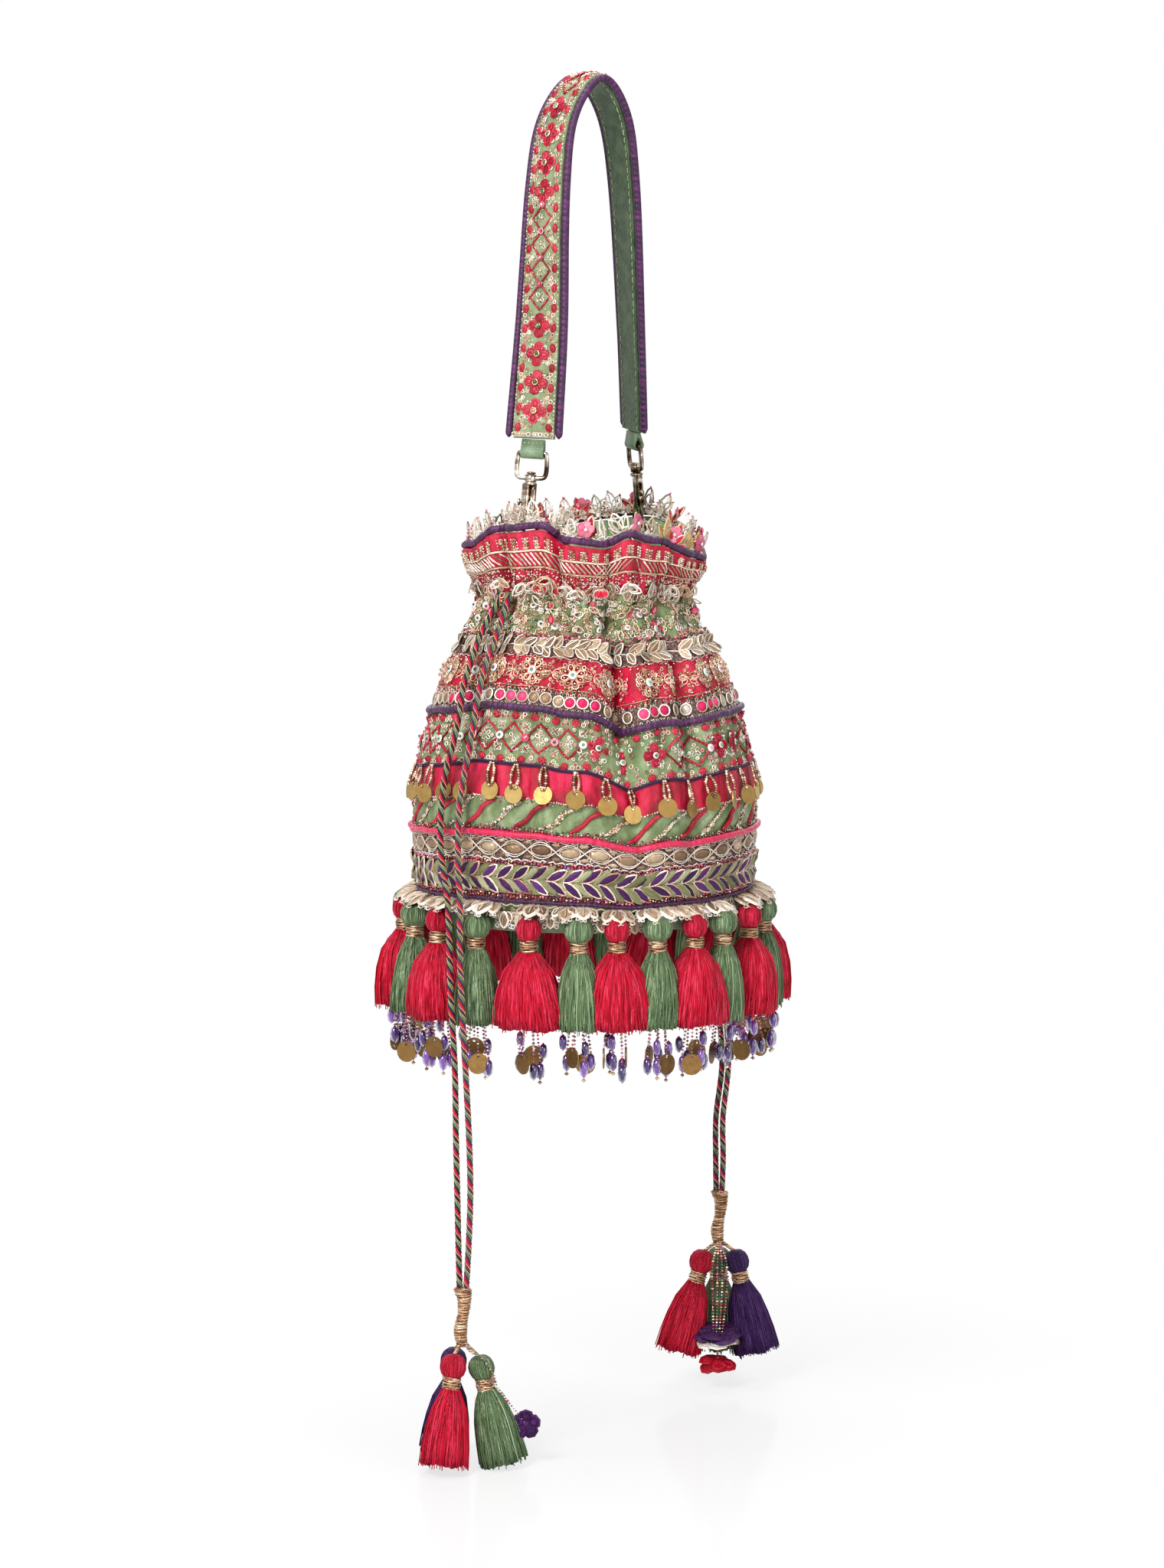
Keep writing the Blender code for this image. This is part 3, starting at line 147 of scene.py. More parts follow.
# The body's radius by depth
BODY_PROFILE = [
    (0.0, RIM_RADIUS),
    (0.42 * NECK_DEPTH, 0.7 * RIM_RADIUS + 0.3 * NECK_RADIUS),
    (NECK_DEPTH, NECK_RADIUS),
    (0.7 * NECK_DEPTH + 0.3 * SWAG_DEPTH, 0.72 * NECK_RADIUS + 0.28 * SWAG_RADIUS),
    (0.4 * NECK_DEPTH + 0.6 * SWAG_DEPTH, 0.32 * NECK_RADIUS + 0.68 * SWAG_RADIUS),
    (SWAG_DEPTH, SWAG_RADIUS), (EDGING_DEPTH, EDGING_RADIUS), (LOWER_DEPTH, LOWER_RADIUS),
    (HEM_DEPTH, HEM_RADIUS), (BOTTOM_DEPTH, BASE_RADIUS),
]
# The strap's centreline: X and Y as shares of its half span, Z of its drop
STRAP_ROUTE = [
    (-1.0, 0.0, -1.0), (-0.78, 0.041, -0.69), (-0.57, 0.093, -0.3), (-0.34, 0.104, -0.105),
    (0.06, 0.0, 0.0), (0.4, -0.104, -0.095), (0.64, -0.093, -0.3), (0.86, -0.041, -0.69),
    (1.0, 0.0, -1.0),
]
# The strap's twist at even distances along it
STRAP_TWIST_DEG = [20.0, 8.0, -4.0, -12.0, -21.0, -27.0, -30.0, -33.0, -34.0]
# The hem tassels seen in front, and how many there are in all
FRONT_FRINGE_DEG = [144.7, 160.3, 177.2, 195.6, 211.3, 223.1, 236.3, 249.7, 261.8, 277.4, 293.0]
FRINGE_COUNT = 24
CORD_EXIT_DEG = {"near": 165.5, "far": 345.5}
# The drawstrings' two free strands after the casing: radius in mm, degrees, height in mm
STRANDS = {
    "near": (
        [
            (60.5, 161.2, -275.5), (69.5, 162.0, -287.0), (78.0, 164.5, -299.0), (86.0, 165.8, -314.0),
            (91.5, 167.5, -328.0), (95.0, 167.0, -343.0), (97.5, 165.0, -358.0), (99.0, 164.0, -378.0),
            (100.5, 164.8, -398.0), (102.0, 167.5, -413.0), (105.0, 170.3, -425.0),
            (110.0, 173.4, -446.0), (112.5, 174.8, -470.0), (113.0, 176.4, -511.0),
            (113.2, 176.8, -549.0), (113.5, 177.4, -586.0), (113.9, 177.8, -606.0),
        ],
        [
            (63.5, 170.6, -279.0), (72.5, 172.4, -291.0), (80.5, 173.3, -302.0), (87.5, 174.2, -315.0),
            (93.0, 175.0, -330.0), (96.5, 174.4, -346.0), (99.0, 173.0, -365.0), (100.5, 172.2, -384.0),
            (102.0, 173.0, -409.0), (104.5, 174.8, -422.0), (110.5, 177.2, -446.0),
            (112.5, 178.4, -472.0), (113.0, 179.9, -511.0), (113.0, 181.0, -548.0),
            (113.3, 181.4, -576.0), (113.7, 181.0, -602.0),
        ],
    ),
    "far": (
        [
            (60.5, 341.4, -275.5), (69.5, 343.0, -287.0), (78.0, 344.0, -299.0), (86.0, 344.6, -314.0),
            (91.5, 345.0, -328.0), (95.0, 345.4, -343.0), (97.5, 346.0, -358.0), (99.5, 347.0, -380.0),
            (101.5, 348.5, -402.0), (105.0, 350.0, -421.0), (111.5, 351.5, -446.0),
            (116.0, 352.0, -475.0), (120.0, 352.2, -511.0), (122.0, 352.0, -540.0),
            (121.0, 353.4, -570.0), (120.8, 353.2, -592.0),
        ],
        [
            (61.5, 350.2, -276.5), (70.5, 351.0, -288.0), (79.0, 351.2, -300.0), (86.5, 351.4, -314.0),
            (92.0, 351.6, -329.0), (96.0, 351.8, -345.0), (98.5, 352.2, -362.0), (100.5, 352.6, -384.0),
            (102.5, 353.4, -405.0), (106.0, 354.2, -424.0), (112.5, 354.8, -448.0),
            (117.0, 355.0, -477.0), (121.0, 354.8, -511.0), (123.4, 354.6, -540.0),
            (122.6, 356.2, -570.0), (121.2, 355.8, -592.0),
        ],
    ),
}
# The bindings' tops in the same terms
BINDING_MM = {"near": (114.4, 179.2, -626.0), "far": (121.2, 354.6, -612.0)}
BINDING_LENGTH = 0.0305
BINDING_RADIUS = 0.0042
# Each cluster's tassels: degrees from the left, distance out, drop, and splay in degrees
CLUSTER = {
    "near": {
        "red": (60.0, 0.0084, 0.002, 10.0),
        "green": (180.0, 0.0084, 0.0045, 12.0),
        "purple": (-60.0, 0.0084, 0.0025, 12.0),
    },
    "far": {
        "red": (15.0, 0.0084, 0.002, 15.0),
        "purple": (170.0, 0.0084, 0.002, 13.0),
        "green": (-90.0, 0.0092, 0.003, 10.0),
    },
}
CLUSTER_LEFT_DEG = 123.0
# The bead strands' routes, left, front and up from the binding's foot, and the flowers' size
FLOWERS = {
    "near": (
        [
            (-0.004, 0.0065, -0.001), (-0.01, 0.0075, -0.0045), (-0.0155, 0.006, -0.013),
            (-0.019, 0.004, -0.022), (-0.033, -0.002, -0.042),
        ],
        0.0076,
    ),
    "far": ([(0.0, 0.011, -0.009), (0.0, 0.0125, -0.025), (0.001, 0.014, -0.048)], 0.0125),
}
STRING_BEADS = 34

# The shape of the cloth, and piles of small shapes

# Sharp creases of the gathered cloth: angles at the rim, the swag and the lower piping, then depths
# at the rim and at the swag
CREASES = [
    (171, 167, 165, 0.0052, 0.0042), (200, 203, 204, 0.006, 0.0022), (225, 227, 231, 0.0042, 0.006),
    (241, 241, 243, 0.0014, 0.0014), (262, 254, 250, 0.0034, 0.0048), (283, 281, 279, 0.002, 0.0018),
    (300, 305, 308, 0.0045, 0.004), (338, 343, 345, 0.005, 0.004), (18, 22, 24, 0.004, 0.004),
    (58, 60, 62, 0.005, 0.0046), (95, 97, 99, 0.0045, 0.0038), (130, 128, 126, 0.0045, 0.004),
]
CREASE_FADE = [(0.0, 1.0), (0.1, 1.0), (0.118, 0.6), (0.15, 0.34), (0.184, 0.06), (0.189, 0.0)]
DROP_FADE = [
    (0.0, 0.0), (0.055, 0.15), (0.075, 0.9), (0.11, 1.0), (0.15, 0.55), (0.18, 0.1), (0.189, 0.0),
]
# How far the cloth sags in the deepest crease, and how deep that is
CREASE_DROP = 0.0034
CREASE_DEEPEST = 0.006
# The slanted cords on the green satin: their top's depth, their height, how far round they run, their number
SLANT_TOP = 0.136
SLANT_HEIGHT = 0.0124
SLANT_REACH = 0.0185
SLANT_CORDS = 19
# A radius that stands for the whole bag's where a distance along the cloth becomes an angle
MEAN_RADIUS = 0.07
# Distances to both sides over which the cloth's slope is taken, for small trims and for wide ones
NEAR_REACH = 0.0022
WIDE_REACH = 0.004


def matched(*values):
    """Values as float arrays of one shape."""
    return np.broadcast_arrays(*(np.asarray(value, float) for value in values))


def xyz(x, y, z):
    """Points from their coordinates."""
    return np.stack(np.broadcast_arrays(x, y, z), axis=-1)


def unit(v):
    """Vectors scaled to length one."""
    return v / np.maximum(np.linalg.norm(v, axis=-1, keepdims=True), 1e-12)


def cubic(table, at):
    """A cubic through the rows of a table, as the part's body profile uses."""
    xs, ys = np.array(table, float).T
    slopes = np.empty_like(ys)
    slopes[1:-1] = (ys[2:] - ys[:-2]) / (xs[2:] - xs[:-2])
    slopes[0] = (ys[1] - ys[0]) / (xs[1] - xs[0])
    slopes[-1] = (ys[-1] - ys[-2]) / (xs[-1] - xs[-2])
    i = np.clip(np.searchsorted(xs, at, side="right") - 1, 0, len(xs) - 2)
    h = xs[i + 1] - xs[i]
    t = np.clip((at - xs[i]) / h, 0, 1)
    low = ys[i] * (1 + 2 * t) * (1 - t) ** 2 + slopes[i] * h * t * (1 - t) ** 2
    return low + ys[i + 1] * t * t * (3 - 2 * t) + slopes[i + 1] * h * t * t * (t - 1)


def eased(table, degrees):
    """An eased value at an angle from a table that goes round."""
    xs, ys = np.array(table, float).T
    degrees = np.mod(degrees, 360.0)
    i = np.clip(np.searchsorted(xs, degrees, side="right") - 1, 0, len(xs) - 2)
    t = (degrees - xs[i]) / (xs[i + 1] - xs[i])
    return ys[i] + (ys[i + 1] - ys[i]) * t * t * (3 - 2 * t)


def linear(table, at):
    """A value between the rows of a table."""
    xs, ys = np.array(table, float).T
    return np.interp(at, xs, ys)


def polar(radius, degrees, height):
    """Points at a radius, an angle and a height."""
    turn = np.radians(degrees)
    return xyz(radius * np.cos(turn), radius * np.sin(turn), height)


def folds(degrees, count, seed, drift=0.0, sharp=1.0):
    """Uneven folds round the bag, from 0 in a crease to 1 on a crest."""
    turn = np.radians(degrees)
    phase = count * turn + 1.1 * np.sin(3 * turn + seed) + 0.8 * np.sin(7 * turn + 2.3 * seed) + drift
    return np.abs(np.sin(0.5 * phase)) ** sharp


def gathers(degrees, depth):
    """How far the drawn cloth stands in or out of the plain body, by angle and depth."""
    turn = np.radians(degrees)
    upper = linear([(0.0, 0.1), (0.012, 0.35), (0.024, 1.0), (0.031, 1.0), (0.04, 0.0)], depth)
    out = 0.0048 * upper * (folds(degrees, 28, 1.0, 0.0, 0.7) - 0.64)
    puff = linear([(0.027, 0.0), (0.033, 0.8), (0.041, 1.0), (0.05, 0.3), (0.06, 0.0)], depth)
    drift = 1.3 * (depth - 0.028) / 0.022
    out += 0.0058 * puff * (folds(degrees, 17, 2.6, drift, 0.75) - 0.62)
    out += 0.002 * puff * np.sin(11 * turn + 210 * depth) * np.sin(330 * depth + 5 * np.sin(5 * turn))
    middle = linear([(0.046, 0.0), (0.056, 1.0), (0.072, 1.0), (0.086, 0.0)], depth)
    out += 0.0019 * middle * (folds(degrees, 25, 4.1, 30 * depth, 0.8) - 0.62)
    band = linear([(0.088, 0.0), (0.097, 1.0), (0.112, 1.0), (0.119, 0.3)], depth)
    out += 0.0008 * band * np.sin(37 * turn + 3 * np.sin(5 * turn)) * np.sin(260 * depth + 4 * turn)
    pleat = linear([(0.118, 0.2), (0.122, 1.0), (0.131, 1.0), (0.136, 0.1)], depth)
    out += 0.0017 * pleat * (folds(degrees, 58, 0.4, 0.0, 0.7) - 0.66)
    pucker = linear([(0.135, 0.0), (0.139, 1.0), (0.145, 1.0), (0.149, 0.0)], depth)
    lean = SLANT_REACH * (1 - np.clip((depth - SLANT_TOP) / SLANT_HEIGHT, 0, 1)) / LOWER_RADIUS
    out += 0.0018 * pucker * (np.abs(np.sin(SLANT_CORDS * (turn - lean))) ** 0.7 - 0.7)
    out += 0.0005 * pucker * np.sin(61 * turn + 900 * depth + 2 * np.sin(9 * turn))
    return out


def creases(degrees, depth):
    """How deep the sharp creases cut at a place, and how much of one the place is in."""
    cut, share = 0.0, 0.0
    for rim, swag, lower, rim_deep, swag_deep in CREASES:
        centre = np.interp(depth, [0.0, SWAG_DEPTH, LOWER_DEPTH], [rim, swag, lower])
        deep = np.interp(depth, [0.01, 0.06], [rim_deep, swag_deep])
        off = np.mod(degrees - centre + 180.0, 360.0) - 180.0
        off = np.abs(off) * np.where(off < 0, 1.35, 0.85)
        cut = cut + deep * (np.exp(-((off / 2.9) ** 1.4)) - 0.3 * np.exp(-(((off - 7.5) / 4.0) ** 2)))
        share = share + deep / CREASE_DEEPEST * np.exp(-((off / 4.2) ** 1.5))
    return cut * linear(CREASE_FADE, depth), share * linear(DROP_FADE, depth)


def body_radius(degrees, depth):
    """The plain body's radius, oval at the rim, with its wide folds."""
    radius = cubic(BODY_PROFILE, depth)
    radius = radius + 0.002 * np.cos(2 * np.radians(degrees)) * np.maximum(0.0, 1 - depth / NECK_DEPTH)
    fold = 0.0
    for centre, share in FOLDS:
        off = np.mod(degrees - centre + 180.0, 360.0) - 180.0
        fold = fold + share * np.exp(-((off / 6.5) ** 2))
    return radius - 0.007 * fold * linear(FOLD_FADE, depth)


def cloth(degrees, depth, inward=0.0):
    """Points on the bag's outer cloth."""
    degrees, depth = matched(degrees, depth)
    height = RIM_Z - depth + eased(RIM_WAVE, degrees) * np.maximum(0.0, 1 - depth / NECK_DEPTH)
    height = height + eased(BAND_WAVE, degrees) * linear(BAND_FADE, depth)
    cut, share = creases(degrees, depth)
    radius = body_radius(degrees, depth) + gathers(degrees, depth) - cut
    return polar(radius - inward, degrees, height - CREASE_DROP * share)


def axes_of(right, up):
    """Axes with Z along right x up and Y kept close to up."""
    outward = unit(np.cross(right, up))
    right = unit(right)
    return np.stack([right, np.cross(outward, right), outward], axis=-2)


def turned(frames, spin=0.0, tilt=0.0, lift=0.0):
    """Frames turned about their own Z by spin, then tipped by tilt so that Y rises, then lifted."""
    origins, axes = frames
    spin = np.radians(np.broadcast_to(spin, len(origins)))[:, None]
    tilt = np.radians(np.broadcast_to(tilt, len(origins)))[:, None]
    x, y, z = axes[:, 0], axes[:, 1], axes[:, 2]
    origins = origins + z * np.broadcast_to(lift, len(origins))[:, None]
    x, y = np.cos(spin) * x + np.sin(spin) * y, np.cos(spin) * y - np.sin(spin) * x
    y, z = np.cos(tilt) * y + np.sin(tilt) * z, np.cos(tilt) * z - np.sin(tilt) * y
    return origins, np.stack([x, y, z], axis=1)


def moved(frames, along):
    """Frames moved along their own Y."""
    return frames[0] + frames[1][:, 1] * np.broadcast_to(along, len(frames[0]))[:, None], frames[1]


def on_cloth(degrees, depth, spin=0.0, tilt=0.0, lift=0.0, reach=NEAR_REACH):
    """Frames on the bag: X to the right as seen from outside, Y up the cloth, Z outwards."""
    degrees, depth = (v.ravel() for v in matched(degrees, depth))
    step = np.degrees(reach / MEAN_RADIUS)
    right = cloth(degrees + step, depth) - cloth(degrees - step, depth)
    up = cloth(degrees, depth - reach) - cloth(degrees, depth + reach)
    return turned((cloth(degrees, depth), axes_of(right, up)), spin, tilt, lift)


def smooth_line(points, steps, closed=False):
    """Points of a Catmull-Rom curve through the given ones."""
    route = np.asarray(points, float)
    if closed:
        route = np.vstack([route[-1:], route, route[:2]])
    else:
        route = np.vstack([2 * route[0] - route[1], route, 2 * route[-1] - route[-2]])
    a, b, c, d = (v[:, None] for v in (route[:-3], route[1:-2], route[2:-1], route[3:]))
    t = (np.arange(steps) / steps)[None, :, None]
    line = 0.5 * (2 * b + (c - a) * t + (2 * a - 5 * b + 4 * c - d) * t**2 + (3 * b - a - 3 * c + d) * t**3)
    line = line.reshape(-1, 3)
    return line if closed else np.vstack([line, route[-2]])


def lengths(line):
    """Distances along a line."""
    return np.concatenate([[0.0], np.cumsum(np.linalg.norm(np.diff(line, axis=0), axis=1))])


def evenly(line, count):
    """That many points at even distances along a line."""
    along = lengths(line)
    at = np.linspace(0, along[-1], count)
    return np.stack([np.interp(at, along, line[:, k]) for k in range(3)], axis=1)


def grid_faces(rows, columns, closed=False, ring=False):
    """Triangles of a grid of points; closed joins the last column to the first, ring the last row."""
    across = columns if closed else columns - 1
    down = rows if ring else rows - 1
    i, k = np.meshgrid(np.arange(down), np.arange(across), indexing="ij")
    a = i * columns + k
    b = i * columns + (k + 1) % columns
    c = (i + 1) % rows * columns + (k + 1) % columns
    d = (i + 1) % rows * columns + k
    return np.concatenate([xyz(a, b, c).reshape(-1, 3), xyz(a, c, d).reshape(-1, 3)])


class Pile:
    """Triangles gathered for one piece, each with the number of its material."""

    def __init__(self):
        self.points, self.faces, self.kinds, self.uvs, self.total = [], [], [], [], 0

    def add(self, points, faces, kind=0, uv=None):
        """Points with the triangles between them, and with their places on the texture if given."""
        points = np.asarray(points, float).reshape(-1, 3)
        faces = np.asarray(faces).reshape(-1, 3)
        self.points.append(points)
        self.faces.append(faces + self.total)
        self.kinds.append(np.broadcast_to(kind, len(faces)))
        self.uvs.append(np.zeros((len(points), 2)) if uv is None else np.asarray(uv).reshape(-1, 2))
        self.total += len(points)

    def stamp(self, template, frames, scale=1.0, kind=0, lift=0.0):
        """Copies of a template at frames. The scale is one number, one for each copy, or a tuple for X, Y
        and Z. A list of kinds leaves each copy's kind to chance."""
        points, faces, kinds = template
        origins, axes = turned(frames, lift=lift) if lift else frames
        count = len(origins)
        if not isinstance(scale, tuple):
            scale = np.reshape(np.broadcast_to(scale, count), (count, 1))
        scale = np.broadcast_to(scale, (count, 3))
        placed = np.einsum("nvk,nkj->nvj", points[None] * scale[:, None], axes) + origins[:, None]
        offsets = (np.arange(count) * len(points))[:, None, None]
        if isinstance(kind, list):
            kind = rng.choice(kind, count)
        number = kinds[None] + np.broadcast_to(kind, count)[:, None]
        self.add(placed, faces[None] + offsets, number.ravel())

    def tubes(self, paths, radius, sides=4, ref=(0.0, 0.0, 1.0), closed=False, kind=0, uv_scale=1000.0):
        """Round threads along paths, all of one number of points."""
        paths = np.asarray(paths, float)
        if paths.ndim == 2:
            paths = paths[None]
        count, steps = paths.shape[:2]
        if closed:
            ahead = np.roll(paths, -1, axis=1) - np.roll(paths, 1, axis=1)
        else:
            ahead = np.gradient(paths, axis=1)
        across = unit(np.cross(np.broadcast_to(ref, paths.shape), ahead))
        over = unit(np.cross(ahead, across))
        turn = math.tau * np.arange(sides) / sides
        radius = np.broadcast_to(radius, (count, steps))[..., None, None]
        round_it = np.cos(turn)[:, None] * across[:, :, None] + np.sin(turn)[:, None] * over[:, :, None]
        points = paths[:, :, None] + radius * round_it
        faces = grid_faces(steps, sides, closed=True, ring=closed)
        if not closed:
            k = np.arange(1, sides - 1)
            cap = xyz(0, k + 1, k)
            faces = np.concatenate([faces, cap, cap[:, ::-1] + (steps - 1) * sides])
        offsets = (np.arange(count) * steps * sides)[:, None, None]
        steps_along = np.cumsum(np.linalg.norm(np.diff(paths, axis=1), axis=2), axis=1)
        along = np.concatenate([np.zeros((count, 1)), steps_along], axis=1)
        u = np.broadcast_to(along[..., None] * uv_scale, (count, steps, sides))
        v = np.broadcast_to(turn / math.tau, (count, steps, sides))
        number = np.repeat(np.broadcast_to(kind, count), len(faces))
        self.add(points, faces[None] + offsets, number, np.stack([u, v], axis=-1))

    def place(self, origin, turn):
        """Everything gathered so far, turned by a matrix and moved to an origin."""
        self.points = [np.concatenate(self.points) @ np.array(turn).T + origin]

    def piece(self, name, finishes, slot, body="bag", replaces=()):
        """The finished object with its looks by name, riding on its body and standing for its CAD nodes."""
        points = np.concatenate(self.points)
        faces = np.concatenate(self.faces)
        data = bpy.data.meshes.new(name)
        data.vertices.add(len(points))
        data.vertices.foreach_set("co", points.astype(np.float32).ravel())
        data.loops.add(3 * len(faces))
        data.loops.foreach_set("vertex_index", faces.astype(np.int32).ravel())
        data.polygons.add(len(faces))
        data.polygons.foreach_set("loop_start", 3 * np.arange(len(faces), dtype=np.int32))
        data.polygons.foreach_set("material_index", np.concatenate(self.kinds).astype(np.int32))
        data.polygons.foreach_set("use_smooth", np.full(len(faces), True))
        layer = data.uv_layers.new(name="UVMap")
        layer.data.foreach_set("uv", np.concatenate(self.uvs)[faces.ravel()].astype(np.float32).ravel())
        data.update(calc_edges=True)
        data.validate()
        for finish in finishes.split():
            data.materials.append(LOOKS[finish])
        made = add_object(name, data)
        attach(made, body)
        if replaces:
            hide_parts(*replaces)
        return made


def lathe(profile, sides, stretch=1.0):
    """A template turned about Z from (radius, height) rows, with one point where the radius is 0."""
    rows = np.array(profile, float)
    turn = math.tau * np.arange(sides) / sides
    radius = rows[:, :1]
    points = xyz(radius * np.cos(turn), radius * np.sin(turn) * stretch, rows[:, 1:2]).reshape(-1, 3)
    faces = grid_faces(len(rows), sides, closed=True)[:, ::-1]
    poles = np.isin(faces // sides, np.flatnonzero(rows[:, 0] == 0))
    faces = np.where(poles, faces // sides * sides, faces)
    a, b, c = faces.T
    used, faces = np.unique(faces[(a != b) & (b != c) & (c != a)], return_inverse=True)
    faces = faces.reshape(-1, 3)
    return points[used], faces, np.zeros(len(faces), int)


def both(*templates):
    """Several templates as one, the later ones with higher material numbers."""
    points, faces, kinds, total = [], [], [], 0
    for number, (p, f, k) in enumerate(templates):
        points.append(p)
        faces.append(f + total)
        kinds.append(k + number)
        total += len(p)
    return np.concatenate(points), np.concatenate(faces), np.concatenate(kinds)


def wire_template(line, wire, closed=True):
    """A ridged thread along a line near the XY plane, open on its underside where it lies on the cloth."""
    ahead = np.roll(line, -1, axis=0) - np.roll(line, 1, axis=0) if closed else np.gradient(line, axis=0)
    across = wire * unit(np.cross([0.0, 0.0, 1.0], ahead))
    up = np.array([0.0, 0.0, wire])
    points = np.stack([line + across - 0.5 * up, line + up, line - across - 0.5 * up], axis=1)
    faces = grid_faces(len(line), 3, ring=closed)
    return points.reshape(-1, 3), faces, np.zeros(len(faces), int)


def leaf(width, wire, count=8, tip=1.0, foot=0.3, dish=0.08):
    """A leaf or petal of unit length along Y from its foot: a wire outline, and a domed fill if dished."""
    angle = math.tau * np.arange(count) / count
    y = 0.5 - 0.5 * np.cos(angle)
    shape = np.abs(np.cos(0.5 * angle)) ** tip * np.abs(np.sin(0.5 * angle)) ** foot
    x = 0.62 * width * np.sin(angle) * shape * (1 + 0.5 * tip)
    line = xyz(x, y, 0.5 * wire)
    outline = wire_template(line, wire)
    if not dish:
        return outline
    k = np.arange(count)
    points = np.vstack([line, [[0.0, 0.5, dish]]])
    faces = xyz(k, count, (k + 1) % count)
    return both(outline, (points, faces, np.zeros(count, int)))


def plain(template):
    """A template with all its triangles in one material."""
    return template[0], template[1], template[2] * 0


def bent(template, angle):
    """A template whose Y runs along an arc of that angle towards its back."""
    x, y, z = template[0].T
    turn = angle * y
    along, back = np.sin(turn) / angle + z * np.sin(turn), (np.cos(turn) - 1) / angle + z * np.cos(turn)
    return xyz(x, along, back), template[1], template[2]


def ring(wire, count=7, stretch=1.0):
    """A loop of thread of unit radius, flat on the XY plane."""
    turn = math.tau * np.arange(count) / count
    return wire_template(xyz(np.cos(turn), stretch * np.sin(turn), wire), wire)


def curl(wire):
    """A flat spiral of thread."""
    share = np.arange(9) / 8
    radius = 0.25 + 0.75 * share
    turn = math.tau * 1.3 * share
    line = xyz(radius * np.cos(turn), radius * np.sin(turn), wire * (1 + 0.6 * share))
    return wire_template(line, wire, closed=False)


def knot():
    """A satin rosebud: a low dome with a spiral thread on it."""
    share = np.linspace(0, 1, 9)
    turn = math.tau * 1.6 * share
    radius = 0.92 - 0.72 * share
    line = xyz(radius * np.cos(turn), radius * np.sin(turn), 0.2 + 0.55 * share)
    dome = lathe([(1.0, 0.0), (0.75, 0.42), (0, 0.62)], 7)
    return plain(both(dome, wire_template(line, 0.19, closed=False)))


BEAD = lathe([(0, -0.85), (1.0, 0.0), (0, 0.85)], 5)
SEQUIN = lathe([(1.0, 0.0), (0.92, 0.14), (0, 0.04)], 9)
DOME = lathe([(1.0, 0.0), (0.78, 0.42), (0, 0.66)], 7)
LONG_BEAD = lathe([(0, -1.0), (0.8, -0.62), (1.0, 0.0), (0.8, 0.62), (0, 1.0)], 7)
LEAF = leaf(0.52, 0.044, tip=0.75, foot=0.5, dish=0.09)
OPEN_LEAF = leaf(0.52, 0.055, tip=0.75, foot=0.5, dish=0)
CURLED_LEAF = leaf(0.54, 0.075, tip=0.5, foot=0.4, dish=0.1)
VEIN = wire_template(np.array([[0, 0.12, 0.09], [0, 0.5, 0.13], [0, 0.88, 0.09]]), 0.03, closed=False)
DRAPE_BEND = 0.7
DRAPED_LEAF, DRAPED_VEIN = bent(CURLED_LEAF, DRAPE_BEND), bent(VEIN, DRAPE_BEND)
SLIM_LEAF = leaf(0.36, 0.05, tip=0.7, foot=0.55, dish=0.1)
PETAL = leaf(0.86, 0.1, tip=0.0, foot=0.35, dish=0.14)
LOOP = leaf(0.62, 0.068, tip=0.2, foot=0.4, dish=0)
RING = ring(0.24)
CURL = curl(0.15)
KNOT = knot()


# Materials

LOOKS = {}


def rgb(tone):
    """The linear colour of an sRGB tone given as six hex digits."""
    shares = bytes.fromhex(tone)
    return tuple(((v / 255 + 0.055) / 1.055) ** 2.4 if v > 10 else v / 3294.6 for v in shares) + (1.0,)


def add_node(tree, kind, inputs, **settings):
    """A new node, with its inputs, given by name or number, set to values or linked to sockets."""
    node = tree.nodes.new("ShaderNode" + kind)
    for key, value in settings.items():
        setattr(node, key, value)
    for key, value in inputs.items():
        if isinstance(value, bpy.types.NodeSocket):
            tree.links.new(value, node.inputs[key])
        else:
            node.inputs[key].default_value = value
    return node


